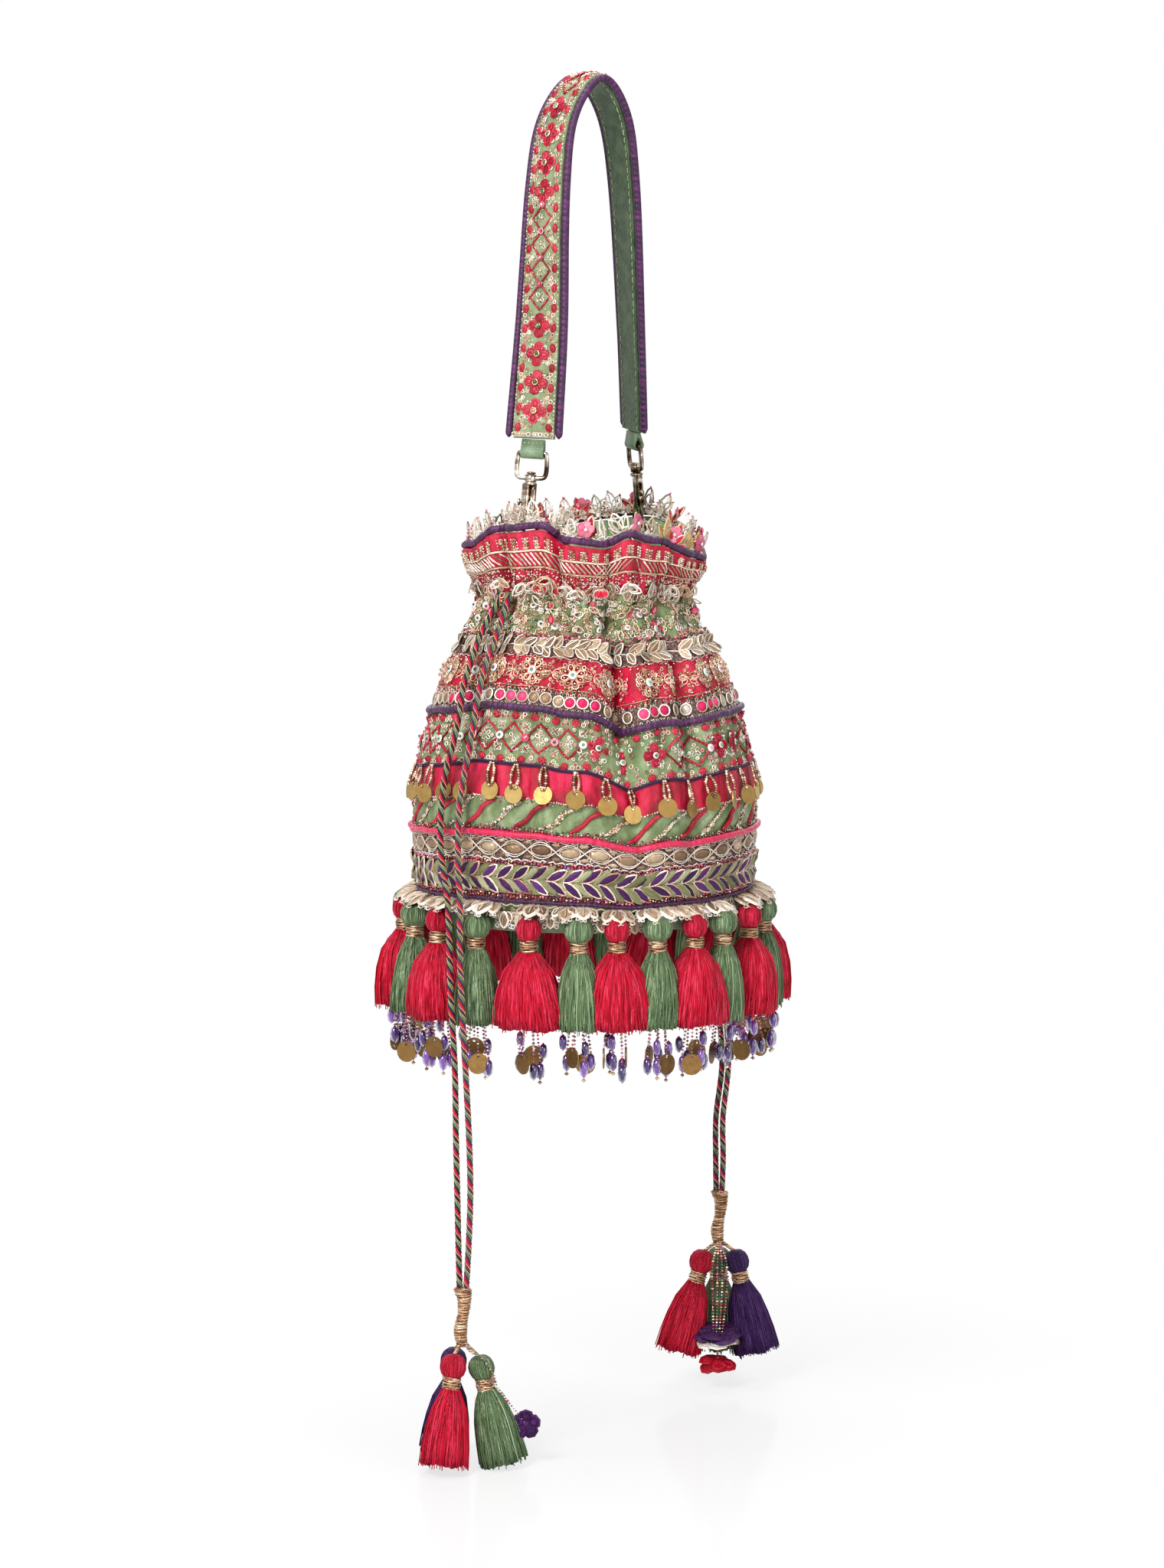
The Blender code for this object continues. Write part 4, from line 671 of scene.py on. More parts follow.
def look(name, tones, grain=600.0, stretch=(1, 1, 1), uv=False, island=0.0, rough=0.5, bumps=(), **values):
    """A Principled material: tones mixed by noise and by island, with bumps of noise or waves."""
    made = LOOKS[name] = bpy.data.materials.new(name)
    made.use_nodes = True
    tree = made.node_tree
    shader = tree.nodes["Principled BSDF"].inputs
    for key, value in {"Roughness": rough, **values}.items():
        shader[key.replace("_", " ")].default_value = value
    coordinates = add_node(tree, "TexCoord", {}).outputs["UV" if uv else "Object"]

    def mapped(scale):
        """The coordinates stretched by a scale for each axis."""
        return add_node(tree, "Mapping", {"Vector": coordinates, "Scale": scale}).outputs["Vector"]

    noise = add_node(tree, "TexNoise", {"Scale": grain, "Detail": 4.0, "Vector": mapped(stretch)})
    factor = noise.outputs["Fac"]
    if island:
        own = add_node(tree, "NewGeometry", {}).outputs["Random Per Island"]
        factor = add_node(tree, "Mix", {"Factor": island, "A": factor, "B": own}).outputs["Result"]
    ramp = add_node(tree, "ValToRGB", {"Fac": factor})
    tree.links.new(ramp.outputs["Color"], shader["Base Color"])
    tones = [rgb(tone) for tone in tones.split()]
    places = np.linspace(0.15, 0.85, len(tones)) if island else np.linspace(0.34, 0.66, len(tones))
    bands = ramp.color_ramp.elements
    bands[0].position, bands[0].color = places[0], tones[0]
    bands[1].position, bands[1].color = places[-1], tones[-1]
    for place, tone in zip(places[1:-1], tones[1:-1]):
        bands.new(place).color = tone
    surface = {}
    for kind, scale, depth, *more in bumps:
        inputs = {"Scale": scale, "Vector": mapped(more[0] if more else (1, 1, 1))}
        if kind == "noise":
            height = add_node(tree, "TexNoise", {"Detail": 3.0, **inputs}).outputs["Fac"]
        elif kind == "cells":
            height = add_node(tree, "TexVoronoi", inputs).outputs["Distance"]
        else:
            inputs["Distortion"] = more[1] if len(more) > 1 else 0.4
            height = add_node(tree, "TexWave", inputs, bands_direction=kind).outputs["Fac"]
        bump = add_node(tree, "Bump", {"Distance": depth, "Height": height, **surface})
        surface = {"Normal": bump.outputs["Normal"]}
    if surface:
        tree.links.new(surface["Normal"], shader["Normal"])


def period(size):
    """The wave scale whose bands are that many units apart."""
    return math.tau / (20 * size)


def satin(name, tones, **values):
    """Silk satin: a fine weave over soft puckers."""
    weave = (("X", period(0.42), 0.00005), ("Y", period(0.3), 0.00007), ("noise", 0.22, 0.0011))
    settings = dict(grain=0.14, stretch=(1, 0.5, 1), uv=True, rough=0.4, bumps=weave)
    look(name, tones, **{**settings, **values})


def thread(name, tones, **values):
    """Thread whose tone differs from stitch to stitch."""
    bumps = (("noise", 2400.0, 0.00015),)
    settings = dict(grain=900.0, island=0.6, bumps=bumps, Specular_IOR_Level=0.3)
    look(name, tones, **{**settings, **values})


def strands(name, tones):
    """A tassel's hanging threads, fine and crimped, along V. Their tone streaks along V are partly each
    thread's own tone and partly painted shade between threads and painted highlights.
    """
    bumps = (("X", period(0.8), 0.0004, (1, 1, 1), 3.0), ("noise", 2.2, 0.0003, (1, 0.3, 1)))
    look(name, tones, grain=1.9, stretch=(1, 0.05, 1), uv=True, bumps=bumps, Specular_IOR_Level=0.2)


def bead(name, tones, **values):
    """Small glass or metal beads, each with its own tone."""
    bumps = (("noise", 1500.0, 0.00004),)
    settings = dict(grain=500.0, island=0.8, rough=0.12, bumps=bumps, Coat_Weight=0.6)
    look(name, tones, **{**settings, **values})


# Tones as sRGB hex numbers, from the darkest to the lightest
satin("crimson_satin", "9c0024 ce0836 ec2658")
satin("sage_satin", "64764a 849868 a6b88c", rough=0.42)
satin("strap_satin", "7a8a62 92a276 aab88e", rough=0.42)
look("lining_satin", "688c58 84a870", grain=140.0, rough=0.42, bumps=(("noise", 220.0, 0.0006),))
satin(
    "gold_ground", "422a30 6c504c 987c6a", grain=1.3, rough=0.5,
    bumps=(("cells", 1.3, 0.0005), ("noise", 2.0, 0.0004)), Metallic=0.3,
)
stitch = (("X", period(0.0004), 0.00014),)
thread("gold_thread", "80563e d6b292 fdeed6", rough=0.3, Metallic=0.35)
thread("silver_thread", "a88c78 ecdecc fffcf6", rough=0.28, Metallic=0.25)
thread(
    "champagne", "684c38 9e8264 d8c2a2", rough=0.32,
    bumps=(("X", period(0.00035), 0.00012, (1, 1, 1), 1.0),), Metallic=0.35,
)
thread("old_gold", "84644c bc9c7c ecd6b8", rough=0.36, bumps=stitch, Metallic=0.3)
bead("gold_bead", "7a5432 caa476 fff0d6", rough=0.15, Metallic=0.85)
bead("bronze_bead", "684632 b28866 fce4c6", rough=0.2, Metallic=0.7)
bead("pink_bead", "960a30 d6385e f8a0b0")
bead("crimson_bead", "680a22 9c1a38 ce546a")
bead("green_bead", "0e3e22 26703e 7ab280")
bead("lilac_bead", "6e3c60 ac7496 ecc4d8", rough=0.2, Metallic=0.5)
glass = dict(rough=0.06, Coat_Weight=1.0, Transmission_Weight=0.3, IOR=1.5)
bead("purple_bead", "2c085c 501c88 8c56be", **glass)
bead("clear_bead", "d8c4b8 fcf8f2", **glass)
bead("pearl", "e8dad6 fdf8f4", island=0.4, rough=0.16)
thread("crimson_thread", "8c0018 c40a2c e82c50")
thread("rosebud_thread", "880820 b61a34 dc4a60", rough=0.4)
thread("hot_pink", "c40a4e e21a64 f65a92", rough=0.36)
thread("green_thread", "42603e 628058 90ac80")
thread("rose_thread", "ce466e ea7896 fab4c4", rough=0.4)
thread("sage_thread", "686844 929268 bcbc96", rough=0.42, bumps=stitch)
thread("purple_thread", "240634 421252 642c76", rough=0.42, bumps=stitch)
thread("dark_thread", "200e28 36183c 522e56")
thread("cream_thread", "c4a070 e2c696 faeac8", rough=0.4)
thread("back_thread", "8a9a74 aab892 cad4b6")
thread("beige_thread", "c4985a e2be82 f6dcaa")
# The strands' dark and bright streaks are partly each thread's tone and partly painted shade between threads
# and painted highlights
strands("crimson_strands", "8a0014 d60e32 fc486c")
strands("green_strands", "344a2e 708a60 b6cca4")
strands("purple_strands", "18082c 3a1a54 6c4486")
look(
    "copper_wrap", "704830 c0926c ffe8c8", grain=420.0, stretch=(0.35, 0.35, 3.4), rough=0.26,
    bumps=(("Z", period(0.00055), 0.00022), ("noise", 1300.0, 0.0002)), Metallic=0.6,
)
cord_twist = (("DIAGONAL", period(1.5), 0.00028, (1, 3.0, 1), 0.3), ("noise", 3.0, 0.0001))
look(
    "purple_cord", "28042e 400942 601c5e", grain=0.5, uv=True, rough=0.52, bumps=cord_twist,
    Sheen_Weight=0.05,
)
look(
    "crimson_cord", "be083a d8164e ea3266", grain=0.4, uv=True, rough=0.4,
    bumps=(("DIAGONAL", period(0.7), 0.00008, (1, 2.0, 1), 0.3),), Sheen_Weight=0.15,
)
hide = (("cells", 1500.0, 0.00012), ("noise", 420.0, 0.00022))
look("leather", "304428 425837 546a48", grain=160.0, rough=0.42, bumps=hide)
look("tab_leather", "607658 768c6c 8a9e7e", grain=160.0, rough=0.42, bumps=hide)
# Pale gold metal whose dark and near-white streaks along Z are painted reflections
look(
    "pale_gold_painted_reflections", "302620 8a7866 faf0e2", grain=56.0, stretch=(1, 1, 3), rough=0.14,
    bumps=(("noise", 300.0, 0.00005),), Metallic=1.0,
)
look(
    "coin_metal", "705428 9e7c40 caaa68", grain=260.0, island=0.6, rough=0.4,
    bumps=(("noise", 1100.0, 0.0001),), Metallic=0.6,
)
look(
    "bronze_metal", "604420 8c6a38 b29056", grain=300.0, island=0.6, rough=0.4,
    bumps=(("noise", 900.0, 0.00014),), Metallic=0.65,
)
look(
    "base_cloth", "708464 849876 94a886", grain=120.0,
    bumps=(("X", period(0.0006), 0.00006), ("Z", period(0.0006), 0.00006), ("noise", 180.0, 0.0003)),
)


# Floor, world, lamps and camera

WORLD_LIGHT = 0.17
VIEW = np.array([-0.8387, -0.5446, 0.0])
RIGHT = np.array([-VIEW[1], VIEW[0], 0.0])
PITCH = math.radians(6.86)
FLOOR_HALF = 6.0
FADE_FROM, FADE_TO = 0.16, 0.42
FLOOR_GLOW = 0.74
WHITE = (1.0, 1.0, 1.0, 1.0)


def add_object(name, data):
    """A new object in the scene."""
    made = bpy.data.objects.new(name, data)
    bpy.context.scene.collection.objects.link(made)
    return made


def make_floor():
    """A pale floor that keeps the object's shadow and faint reflection near it and is white further out."""
    level = cad_box[0][2] - 0.0003
    corners = [(x * FLOOR_HALF, y * FLOOR_HALF, level) for x, y in ((-1, -1), (1, -1), (1, 1), (-1, 1))]
    data = bpy.data.meshes.new("floor")
    data.from_pydata(corners, [], [(0, 1, 2, 3)])
    floor = add_object("floor", data)
    paper = bpy.data.materials.new("floor_paper")
    paper.use_nodes = True
    tree = paper.node_tree
    shader = tree.nodes["Principled BSDF"]
    shader.inputs["Base Color"].default_value = (0.92, 0.92, 0.92, 1.0)
    shader.inputs["Roughness"].default_value = 0.12
    shader.inputs["IOR"].default_value = 1.18
    glow = add_node(tree, "Emission", {"Color": WHITE})
    place = add_node(tree, "TexCoord", {}).outputs["Object"]
    flat = add_node(tree, "VectorMath", {0: place, 1: (1.0, 1.0, 0.0)}, operation="MULTIPLY")
    away = add_node(tree, "VectorMath", {0: flat.outputs[0]}, operation="LENGTH").outputs["Value"]
    reach = {"Value": away, "From Min": FADE_FROM, "From Max": FADE_TO, "To Min": FLOOR_GLOW}
    fade = add_node(tree, "MapRange", reach, interpolation_type="SMOOTHSTEP").outputs[0]
    camera_ray = add_node(tree, "LightPath", {}).outputs["Is Camera Ray"]
    seen = add_node(tree, "Math", {0: camera_ray, 1: fade}, operation="MULTIPLY").outputs[0]
    mix = add_node(tree, "MixShader", {0: seen, 1: shader.outputs[0], 2: glow.outputs[0]})
    tree.links.new(mix.outputs[0], tree.nodes["Material Output"].inputs["Surface"])
    data.materials.append(paper)


def make_world():
    """A world that is white to the eye and in reflections, and lights softly."""
    world = bpy.data.worlds.new("studio")
    bpy.context.scene.world = world
    world.use_nodes = True
    tree = world.node_tree
    background = tree.nodes["Background"].inputs
    background["Color"].default_value = WHITE
    path = add_node(tree, "LightPath", {}).outputs
    seen = path["Is Camera Ray"]
    for ray in ("Is Glossy Ray", "Is Transmission Ray"):
        seen = add_node(tree, "Math", {0: seen, 1: path[ray]}, operation="MAXIMUM").outputs[0]
    strength = add_node(tree, "MapRange", {"Value": seen, "To Min": WORLD_LIGHT, "To Max": 1.0})
    tree.links.new(strength.outputs[0], background["Strength"])


def area_light(name, place, aim, size, power):
    """A square lamp aimed at a point."""
    light = bpy.data.lights.new(name, "AREA")
    light.size = size
    light.energy = power
    made = add_object(name, light)
    made.location = place
    made.rotation_euler = (Vector(aim) - Vector(place)).to_track_quat("-Z", "Y").to_euler()


def make_lights():
    """A key from the upper left in front, a fill from the right, a light from above and one behind."""
    middle = np.array([0.0, 0.0, -0.4])
    area_light("key", middle + 1.5 * VIEW - 0.8 * RIGHT + [0, 0, 1.15], middle, 0.7, 35.0)
    area_light("fill", middle + 1.6 * VIEW + 1.2 * RIGHT + [0, 0, 0.3], middle, 1.0, 11.0)
    area_light("top", middle + [0.1, 0.1, 1.7], middle, 1.0, 14.0)
    area_light("back", middle - 1.4 * VIEW + [0.3, 0, 1.0], middle, 1.2, 12.0)


def make_camera():
    """The photograph's view: slightly from above, with a long lens."""
    data = bpy.data.cameras.new("camera")
    data.lens = 121.15
    data.sensor_width = 36.0
    data.shift_x = -0.00146
    data.clip_end = 30.0
    camera = add_object("camera", data)
    camera.location = Vector(2.8 * VIEW) + Vector((0, 0, -0.035))
    ahead = Vector(-VIEW * math.cos(PITCH)) - Vector((0, 0, math.sin(PITCH)))
    camera.rotation_euler = ahead.to_track_quat("-Z", "Y").to_euler()
    bpy.context.scene.camera = camera


# Drawstrings


def binding_place(side):
    """The top of a cord's binding."""
    radius, degrees, height = BINDING_MM[side]
    return polar(radius / 1000, degrees, height / 1000)


def strand_path(side, sign, strand):
    """A free strand's centreline from the casing to its binding."""
    height = RIM_Z - NECK_DEPTH + CASING_STEP * (0.5 if side == "near" else -0.5)
    turns = [
        (CASING_RADIUS, 14.0, 0.0), (CASING_RADIUS + 0.0008, 8.0, 0.0),
        (CASING_RADIUS + 0.0042, 4.0, -0.0001), (CASING_RADIUS + 0.0085, 2.9, -0.0012),
    ]
    turn = [polar(radius, CORD_EXIT_DEG[side] + sign * off, height + drop) for radius, off, drop in turns]
    points = [polar(r / 1000, degrees, z / 1000) for r, degrees, z in strand]
    top = binding_place(side) + [0, 0, 2 * CLEARANCE]
    sideways = (points[-1] - top) * [1, 1, 0]
    end = top + unit(sideways) * (CORD_RADIUS + CLEARANCE)
    return smooth_line([*turn, *points, end], 8)


CORD_PITCH = 0.0104
# Each ply's turn round the cord, its radius and its distance from the middle as shares, and its finish
PLIES = [
    (0.0, 0.42, 0.58, 0), (0.22, 0.38, 0.6, 1), (0.44, 0.34, 0.62, 2), (0.58, 0.2, 0.8, 3),
    (0.72, 0.4, 0.58, 1), (0.87, 0.18, 0.82, 3),
]


def rope(pile, line, phase):
    """Plies of thread laid round a line; the last two are thin metal threads between the others."""
    along = lengths(line)
    count = int(along[-1] / 0.0013)
    centre = evenly(line, count)
    along = np.linspace(0, along[-1], count)
    ahead = unit(np.gradient(centre, axis=0))
    across = unit(np.cross(ahead, [0.31, 0.95, 0.05]))
    over = np.cross(ahead, across)
    for start, ply, middle, kind in PLIES:
        turn = phase - math.tau * (along / CORD_PITCH + start)
        offset = middle * CORD_RADIUS * (np.cos(turn)[:, None] * across + np.sin(turn)[:, None] * over)
        pile.tubes(centre + offset, ply * CORD_RADIUS, 4 if ply > 0.3 else 3, ref=across, kind=kind)
    return centre


def make_drawstrings():
    """The two free strands of each drawstring, twisted of crimson, purple and green with a metal thread."""
    finishes = "crimson_thread dark_thread green_thread cream_thread"
    for side, pair in STRANDS.items():
        for sign, name, strand in zip((-1, 1), ("first", "second"), pair):
            pile = Pile()
            centre = rope(pile, strand_path(side, sign, strand), sign)
            replaced = (f"drawstring_{side}",) if sign < 0 else ()
            piece = pile.piece(f"{side}_strand_{name}", finishes, "twisted_cord", replaces=replaced)


# Outer cloth, lining, piping and base

# Bands of the outer cloth: top and bottom depth, step between rows in mm, and finish
CLOTH_BANDS = [
    (0.0, 0.026, 1.6, 0), (0.026, 0.0488, 1.2, 1), (0.0488, 0.06, 1.6, 2),
    (0.06, 0.079, 1.5, 0), (0.079, 0.09, 1.7, 2), (0.09, 0.118, 1.7, 1),
    (0.118, 0.1345, 1.5, 0), (0.1345, 0.15, 1.5, 1), (0.15, 0.152, 2.0, 0),
    (0.152, 0.1655, 2.2, 2), (0.1655, 0.184, 2.6, 2), (0.184, 0.189, 2.5, 1),
]


def make_cloth():
    """The padded outer cloth in its bands of satin, drawn in at the neck."""
    columns = 400
    angles = 360.0 * np.arange(columns + 1) / columns + 30.0
    depths, kinds = [0.0], []
    for top, low, step, kind in CLOTH_BANDS:
        count = max(1, round((low - top) * 1000 / step))
        depths += list(np.linspace(top, low, count + 1)[1:])
        kinds += [kind] * count
    depths = np.array(depths)
    outer = cloth(angles[None], depths[:, None])
    foot = polar(BASE_RADIUS, angles, RIM_Z - BOTTOM_DEPTH)
    inner = cloth(angles[None], np.array([0.0, 0.004, 0.009])[:, None], inward=SHELL_THICKNESS)
    rows = np.concatenate([inner[::-1], outer, foot[None]])
    row_kind = np.repeat([1, 1, 0] + kinds + [1], columns)
    pile = Pile()
    depth_uv = np.concatenate([[-9, -4, -1], depths * 1000, [190]])
    uv = np.stack(np.broadcast_arrays(angles[None] * 1.4, depth_uv[:, None]), axis=-1)
    pile.add(rows, grid_faces(len(rows), columns + 1)[:, ::-1], np.concatenate([row_kind, row_kind]), uv)
    finishes = "crimson_satin sage_satin gold_ground"
    piece = pile.piece("bag_cloth", finishes, "shell_satin", replaces=("bag_shell",))


def make_lining():
    """The loose satin lining, with its floor and a tape for each ring."""
    columns = 216
    angles = 360.0 * np.arange(columns) / columns
    depths = np.concatenate([np.linspace(0.0, 0.06, 27), np.linspace(0.064, 0.186, 20)])
    wrinkle = 0.0005 * np.sin(23 * np.radians(angles[None]) + 180 * depths[:, None])
    wall = cloth(angles[None], depths[:, None])
    near_neck = np.exp(-(((depths[:, None] - NECK_DEPTH) / 0.008) ** 2))
    radius = np.hypot(wall[..., 0], wall[..., 1]) - SHELL_THICKNESS - 0.0012 - 0.0052 * near_neck + wrinkle
    rows = polar(radius, angles[None], wall[..., 2])
    floor_z = RIM_Z - BOTTOM_DEPTH + 0.0039 + 0.0004 * np.sin(9 * np.radians(angles))
    floor = [polar(r, angles, floor_z) for r in (0.0815, 0.06, 0.03, 0.001)]
    rows = np.concatenate([rows, floor])
    pile = Pile()
    pile.add(rows, grid_faces(len(rows), columns, closed=True))
    for side, sign in (("near", -1), ("far", 1)):
        low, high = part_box(f"d_ring_{side}")
        x, y, height = 0.5 * (low.x + high.x), 0.5 * (low.y + high.y), low.z + 0.001
        turn = np.linspace(-0.5 * math.pi, 1.5 * math.pi, 17)
        tail = np.array([[x + sign * 0.0025, height - 0.0065], [x + sign * 0.0012, height - 0.0018]])
        loop = np.stack([x - sign * 0.0016 * np.cos(turn), height + 0.0018 * np.sin(turn)], 1)
        line = np.vstack([tail, loop])
        edges = [np.insert(line, 1, y + off, axis=1) for off in (-0.0031, 0.0031)]
        pile.add(np.array(edges), grid_faces(2, len(line)))
    pile.piece("bag_lining_cloth", "lining_satin", "lining_satin", replaces=("bag_lining",))


def corded_line(depth, lift):
    """A line that lies on the cloth at a depth, with the outward direction along it."""
    count = 373
    origins, axes = on_cloth(360.0 * np.arange(count) / count, depth)
    return origins + axes[:, 2] * lift, axes[:, 2]


def make_piping(name, depth, radius, finish, node):
    """Covered piping cord sewn round the bag at a depth."""
    pile = Pile()
    line, outward = corded_line(depth, radius + 0.0003)
    pile.tubes(line, radius, 10, ref=outward, closed=True)
    pile.piece(name, finish, finish, replaces=(node,))


def make_mouth_piping():
    """The corded piping along the rim."""
    pile = Pile()
    count = 300
    line = cloth(360.0 * np.arange(count) / count, 0.0, inward=0.0016) + [0, 0, 0.0026]
    pile.tubes(line, 0.0019, 10, closed=True)
    pile.piece("rim_piping", "purple_cord", "purple_cord", replaces=("mouth_piping",))


def make_base():
    """The stiff cloth-covered base with rounded edges and a seam below."""
    low = BASE_TOP_Z - BASE_HEIGHT
    profile = [
        (0, BASE_TOP_Z), (BASE_RADIUS - 0.003, BASE_TOP_Z), (BASE_RADIUS - 0.0006, BASE_TOP_Z - 0.0004),
        (BASE_RADIUS, BASE_TOP_Z - 0.0014), (BASE_RADIUS, low + 0.0018),
        (BASE_RADIUS - 0.0005, low + 0.0005), (BASE_RADIUS - 0.0018, low), (BASE_RADIUS - 0.004, low),
        (BASE_RADIUS - 0.0044, low + 0.0006), (BASE_RADIUS - 0.0048, low), (0.05, low), (0, low),
    ]
    pile = Pile()
    pile.add(*lathe(profile, 160))
    pile.piece("base_cover", "base_cloth", "base_satin", replaces=("base_panel",))


# Tassels and bead strands

# A tassel from the ball's top: the waist's ends under the ball, the skirt's low end and its bell shape
WAIST_TOP = -1.86 * TASSEL_BALL
WAIST_LOW = WAIST_TOP - WRAP_HEIGHT
SKIRT_LOW = WAIST_LOW - TASSEL_SKIRT
# A direction that no hanging thread runs along
THREAD_REF = (0.3, 0.9, 0.1)
BELL = [(0.0, 0.0), (0.08, 0.26), (0.2, 0.5), (0.4, 0.74), (0.7, 0.93), (1.0, 1.0)]


def thread_ball(pile, wide, tall):
    """A barrel-shaped ball of thread wound over from pole to pole, its top at the origin."""
    sides, rows = 40, 8
    tilt = np.linspace(0.05, math.pi - 0.1, rows)[:, None]
    turn = math.tau * np.arange(sides)[None] / sides
    ridge = 1 + 0.035 * np.cos(20 * turn) * np.sin(tilt) + 0.012 * np.sin(5 * turn + 3 * tilt)
    out = TASSEL_BALL * wide * ridge * np.sin(tilt) ** 0.75
    points = xyz(out * np.cos(turn), out * np.sin(turn), TASSEL_BALL * tall * (np.cos(tilt) - 1))
    uv = np.stack(np.broadcast_arrays(turn / math.tau * 44.0, 14.0 * tilt / math.pi), axis=-1)
    pile.add(points, grid_faces(rows, sides, closed=True)[:, ::-1], 0, uv)


def wound_wrap(pile):
    """Metal thread wound round a tassel's waist, unevenly."""
    top, low = WAIST_TOP + 0.0006, WAIST_LOW + 0.001
    turns = int((top - low) / 0.00125)
    share = np.linspace(0, 1, turns * 11)
    angle = math.tau * turns * share
    height = top - (top - low) * share + 0.0002 * np.sin(3.7 * angle)
    wide = WRAP_RADIUS * (1 + 0.05 * np.sin(math.pi * share) + 0.03 * np.sin(0.61 * angle))
    pile.tubes(xyz(wide * np.cos(angle), wide * np.sin(angle), height), 0.00066, kind=1)


def skirt(pile, wide, loose, stretch=1.0, lean=(0.0, 0.0)):
    """A bell of packed threads with loose ones over it, which end at uneven lengths."""
    top = WAIST_LOW + 0.0024

    def bell(turn, share, out):
        """Points on the bell at an angle and a share of its height, scaled outwards."""
        waist = WRAP_RADIUS * 0.88
        lump = 0.05 * np.sin(3 * turn + lumps) + 0.03 * np.sin(7 * turn + 2 * lumps)
        reach = (waist + (wide - waist) * linear(BELL, share)) * out * (1 + share * lump)
        x = reach * np.cos(turn) * (1 + (stretch - 1) * share) + lean[0] * share**1.5
        y = reach * np.sin(turn) + lean[1] * share**1.5
        return xyz(x, y, top + (SKIRT_LOW - top) * share)

    lumps = rng.uniform(0, math.tau)
    sides, rows = 80, 8
    turn = math.tau * np.arange(sides + 1)[None] / sides
    share = np.linspace(0, 1, rows)[:, None]
    uneven = 1 + 0.014 * np.sin(5 * turn + 3 * lumps) * share + 0.008 * np.sin(23 * turn + lumps) * share**3
    rib = np.where(np.arange(sides + 1) % 2, 1.0, 0.955)[None] ** (0.4 + share)
    wave = 1 + 0.01 * np.sin(34 * share + 9 * turn)
    outer = bell(turn, share * uneven * 0.985, rib * wave)
    inside = bell(turn, 0.9 + 0 * turn, 0.72)
    middle = np.broadcast_to(inside[0, :-1].mean(axis=0), inside.shape)
    uv = np.broadcast_arrays(turn / math.tau * 70.0, np.linspace(0, 44, rows + 2)[:, None])
    faces = grid_faces(rows + 2, sides + 1)[:, ::-1]
    pile.add(np.concatenate([outer, inside, middle]), faces, 0, np.stack(uv, axis=-1))
    steps = 5
    share = np.linspace(0.02, 1, steps)[None] * rng.uniform(0.95, 1.035, (loose, 1))
    turn = rng.uniform(0, math.tau, (loose, 1)) + rng.normal(0, 0.07, (loose, 1)) * share
    turn = turn + 0.03 * np.sin(9 * share + rng.uniform(0, 6.3, (loose, 1)))
    lines = bell(turn, share, rng.uniform(0.93, 1.05, (loose, 1)))
    lines[..., 2] = np.minimum(lines[..., 2], top)
    pile.tubes(lines, np.linspace(0.0004, 0.0003, steps), 3, ref=THREAD_REF, uv_scale=0.0)
    pile.uvs[-1] = pile.uvs[-1] + [1, 0] * np.repeat(rng.uniform(0, 70, loose), 3 * steps)[:, None]


def upright(points):
    """Upright frames at points."""
    points = np.asarray(points, float).reshape(-1, 3)
    return points, np.broadcast_to(np.eye(3), (len(points), 3, 3))


def coin_template():
    """A flat disc on the XY plane with a small hole near its top, of unit radius."""
    sides = 16
    turn = math.tau * np.arange(sides) / sides
    rim = np.stack([np.cos(turn), np.sin(turn)], axis=1)
    hole = 0.13 * rim + [0, 0.7]
    thick = 0.05
    faces = grid_faces(2, sides, closed=True)
    edges = [xyz(*edge.T, z) for edge, z in ((hole, thick), (rim, thick), (rim, -thick), (hole, -thick))]
    return plain(both(*((np.concatenate(pair), faces, 0 * faces[:, 0]) for pair in zip(edges, edges[1:]))))


COIN = coin_template()


def bead_drops(pile):
    """Strings of lilac beads below a skirt, each ending in a disc or in glass beads."""
    count = 6
    start = rng.uniform(0, math.tau)
    for k in range(count):
        turn = start + math.tau * k / count
        foot = 0.00408 * np.array([math.cos(turn), math.sin(turn)])
        out = foot * rng.uniform(1.1, 1.7)
        disc = k % 3 == 1
        string = 0.0275 * rng.uniform(0.72, 1.0) - (0.0108 if disc else 0.0095)
        seeds = max(5, int((string + 0.004) / 0.0017))
        at = np.linspace(0.0, 1.0, seeds)[:, None]
        line = np.hstack([foot + (out - foot) * at, SKIRT_LOW + 0.004 - (0.004 + string) * at])
        pile.stamp(BEAD, upright(line), rng.uniform(0.0008, 0.001, seeds), [2, 2, 3, 4])
        place = np.append(out, SKIRT_LOW - string)
        if disc:
            swing = turn + rng.uniform(-0.5, 0.5)
            side = (-math.sin(swing), math.cos(swing), 0)
            front = (math.cos(swing), math.sin(swing), 0)
            frame = (np.array([place - [0, 0, 0.0046]]), np.array([[side, (0, 0, 1), front]]))
            pile.stamp(COIN, frame, 0.0056, 5)
        else:
            pile.stamp(LONG_BEAD, upright(place - [0, 0, 0.0052]), (0.0024, 0.0024, 0.005), 6)
            if k % 2 == 0:
                pile.stamp(LONG_BEAD, upright(place + [*(0.3 * out), 0.0052]), (0.0022, 0.0022, 0.0046), 6)
                pile.stamp(BEAD, upright(place - [0, 0, 0.0112]), 0.0013, 7)


def fringe_angles():
    """The hem tassels' angles: those seen in front, and the rest spread evenly."""
    hidden = FRINGE_COUNT - len(FRONT_FRINGE_DEG)
    start, end = FRONT_FRINGE_DEG[-1], FRONT_FRINGE_DEG[0] + 360.0
    return FRONT_FRINGE_DEG + [start + (end - start) / (hidden + 1) * (i + 1) for i in range(hidden)]


# The ball's width, the skirt's reach and how deep it is for its width, if crimson or green
FRINGE_SHAPES = {True: (0.94, 0.019, 0.8), False: (1.1, 0.0128, 0.92)}
TASSEL_THREADS = {
    "red": ("crimson_strands", "crimson_thread"),
    "green": ("green_strands", "green_thread"),
    "purple": ("purple_strands", "purple_thread"),
}


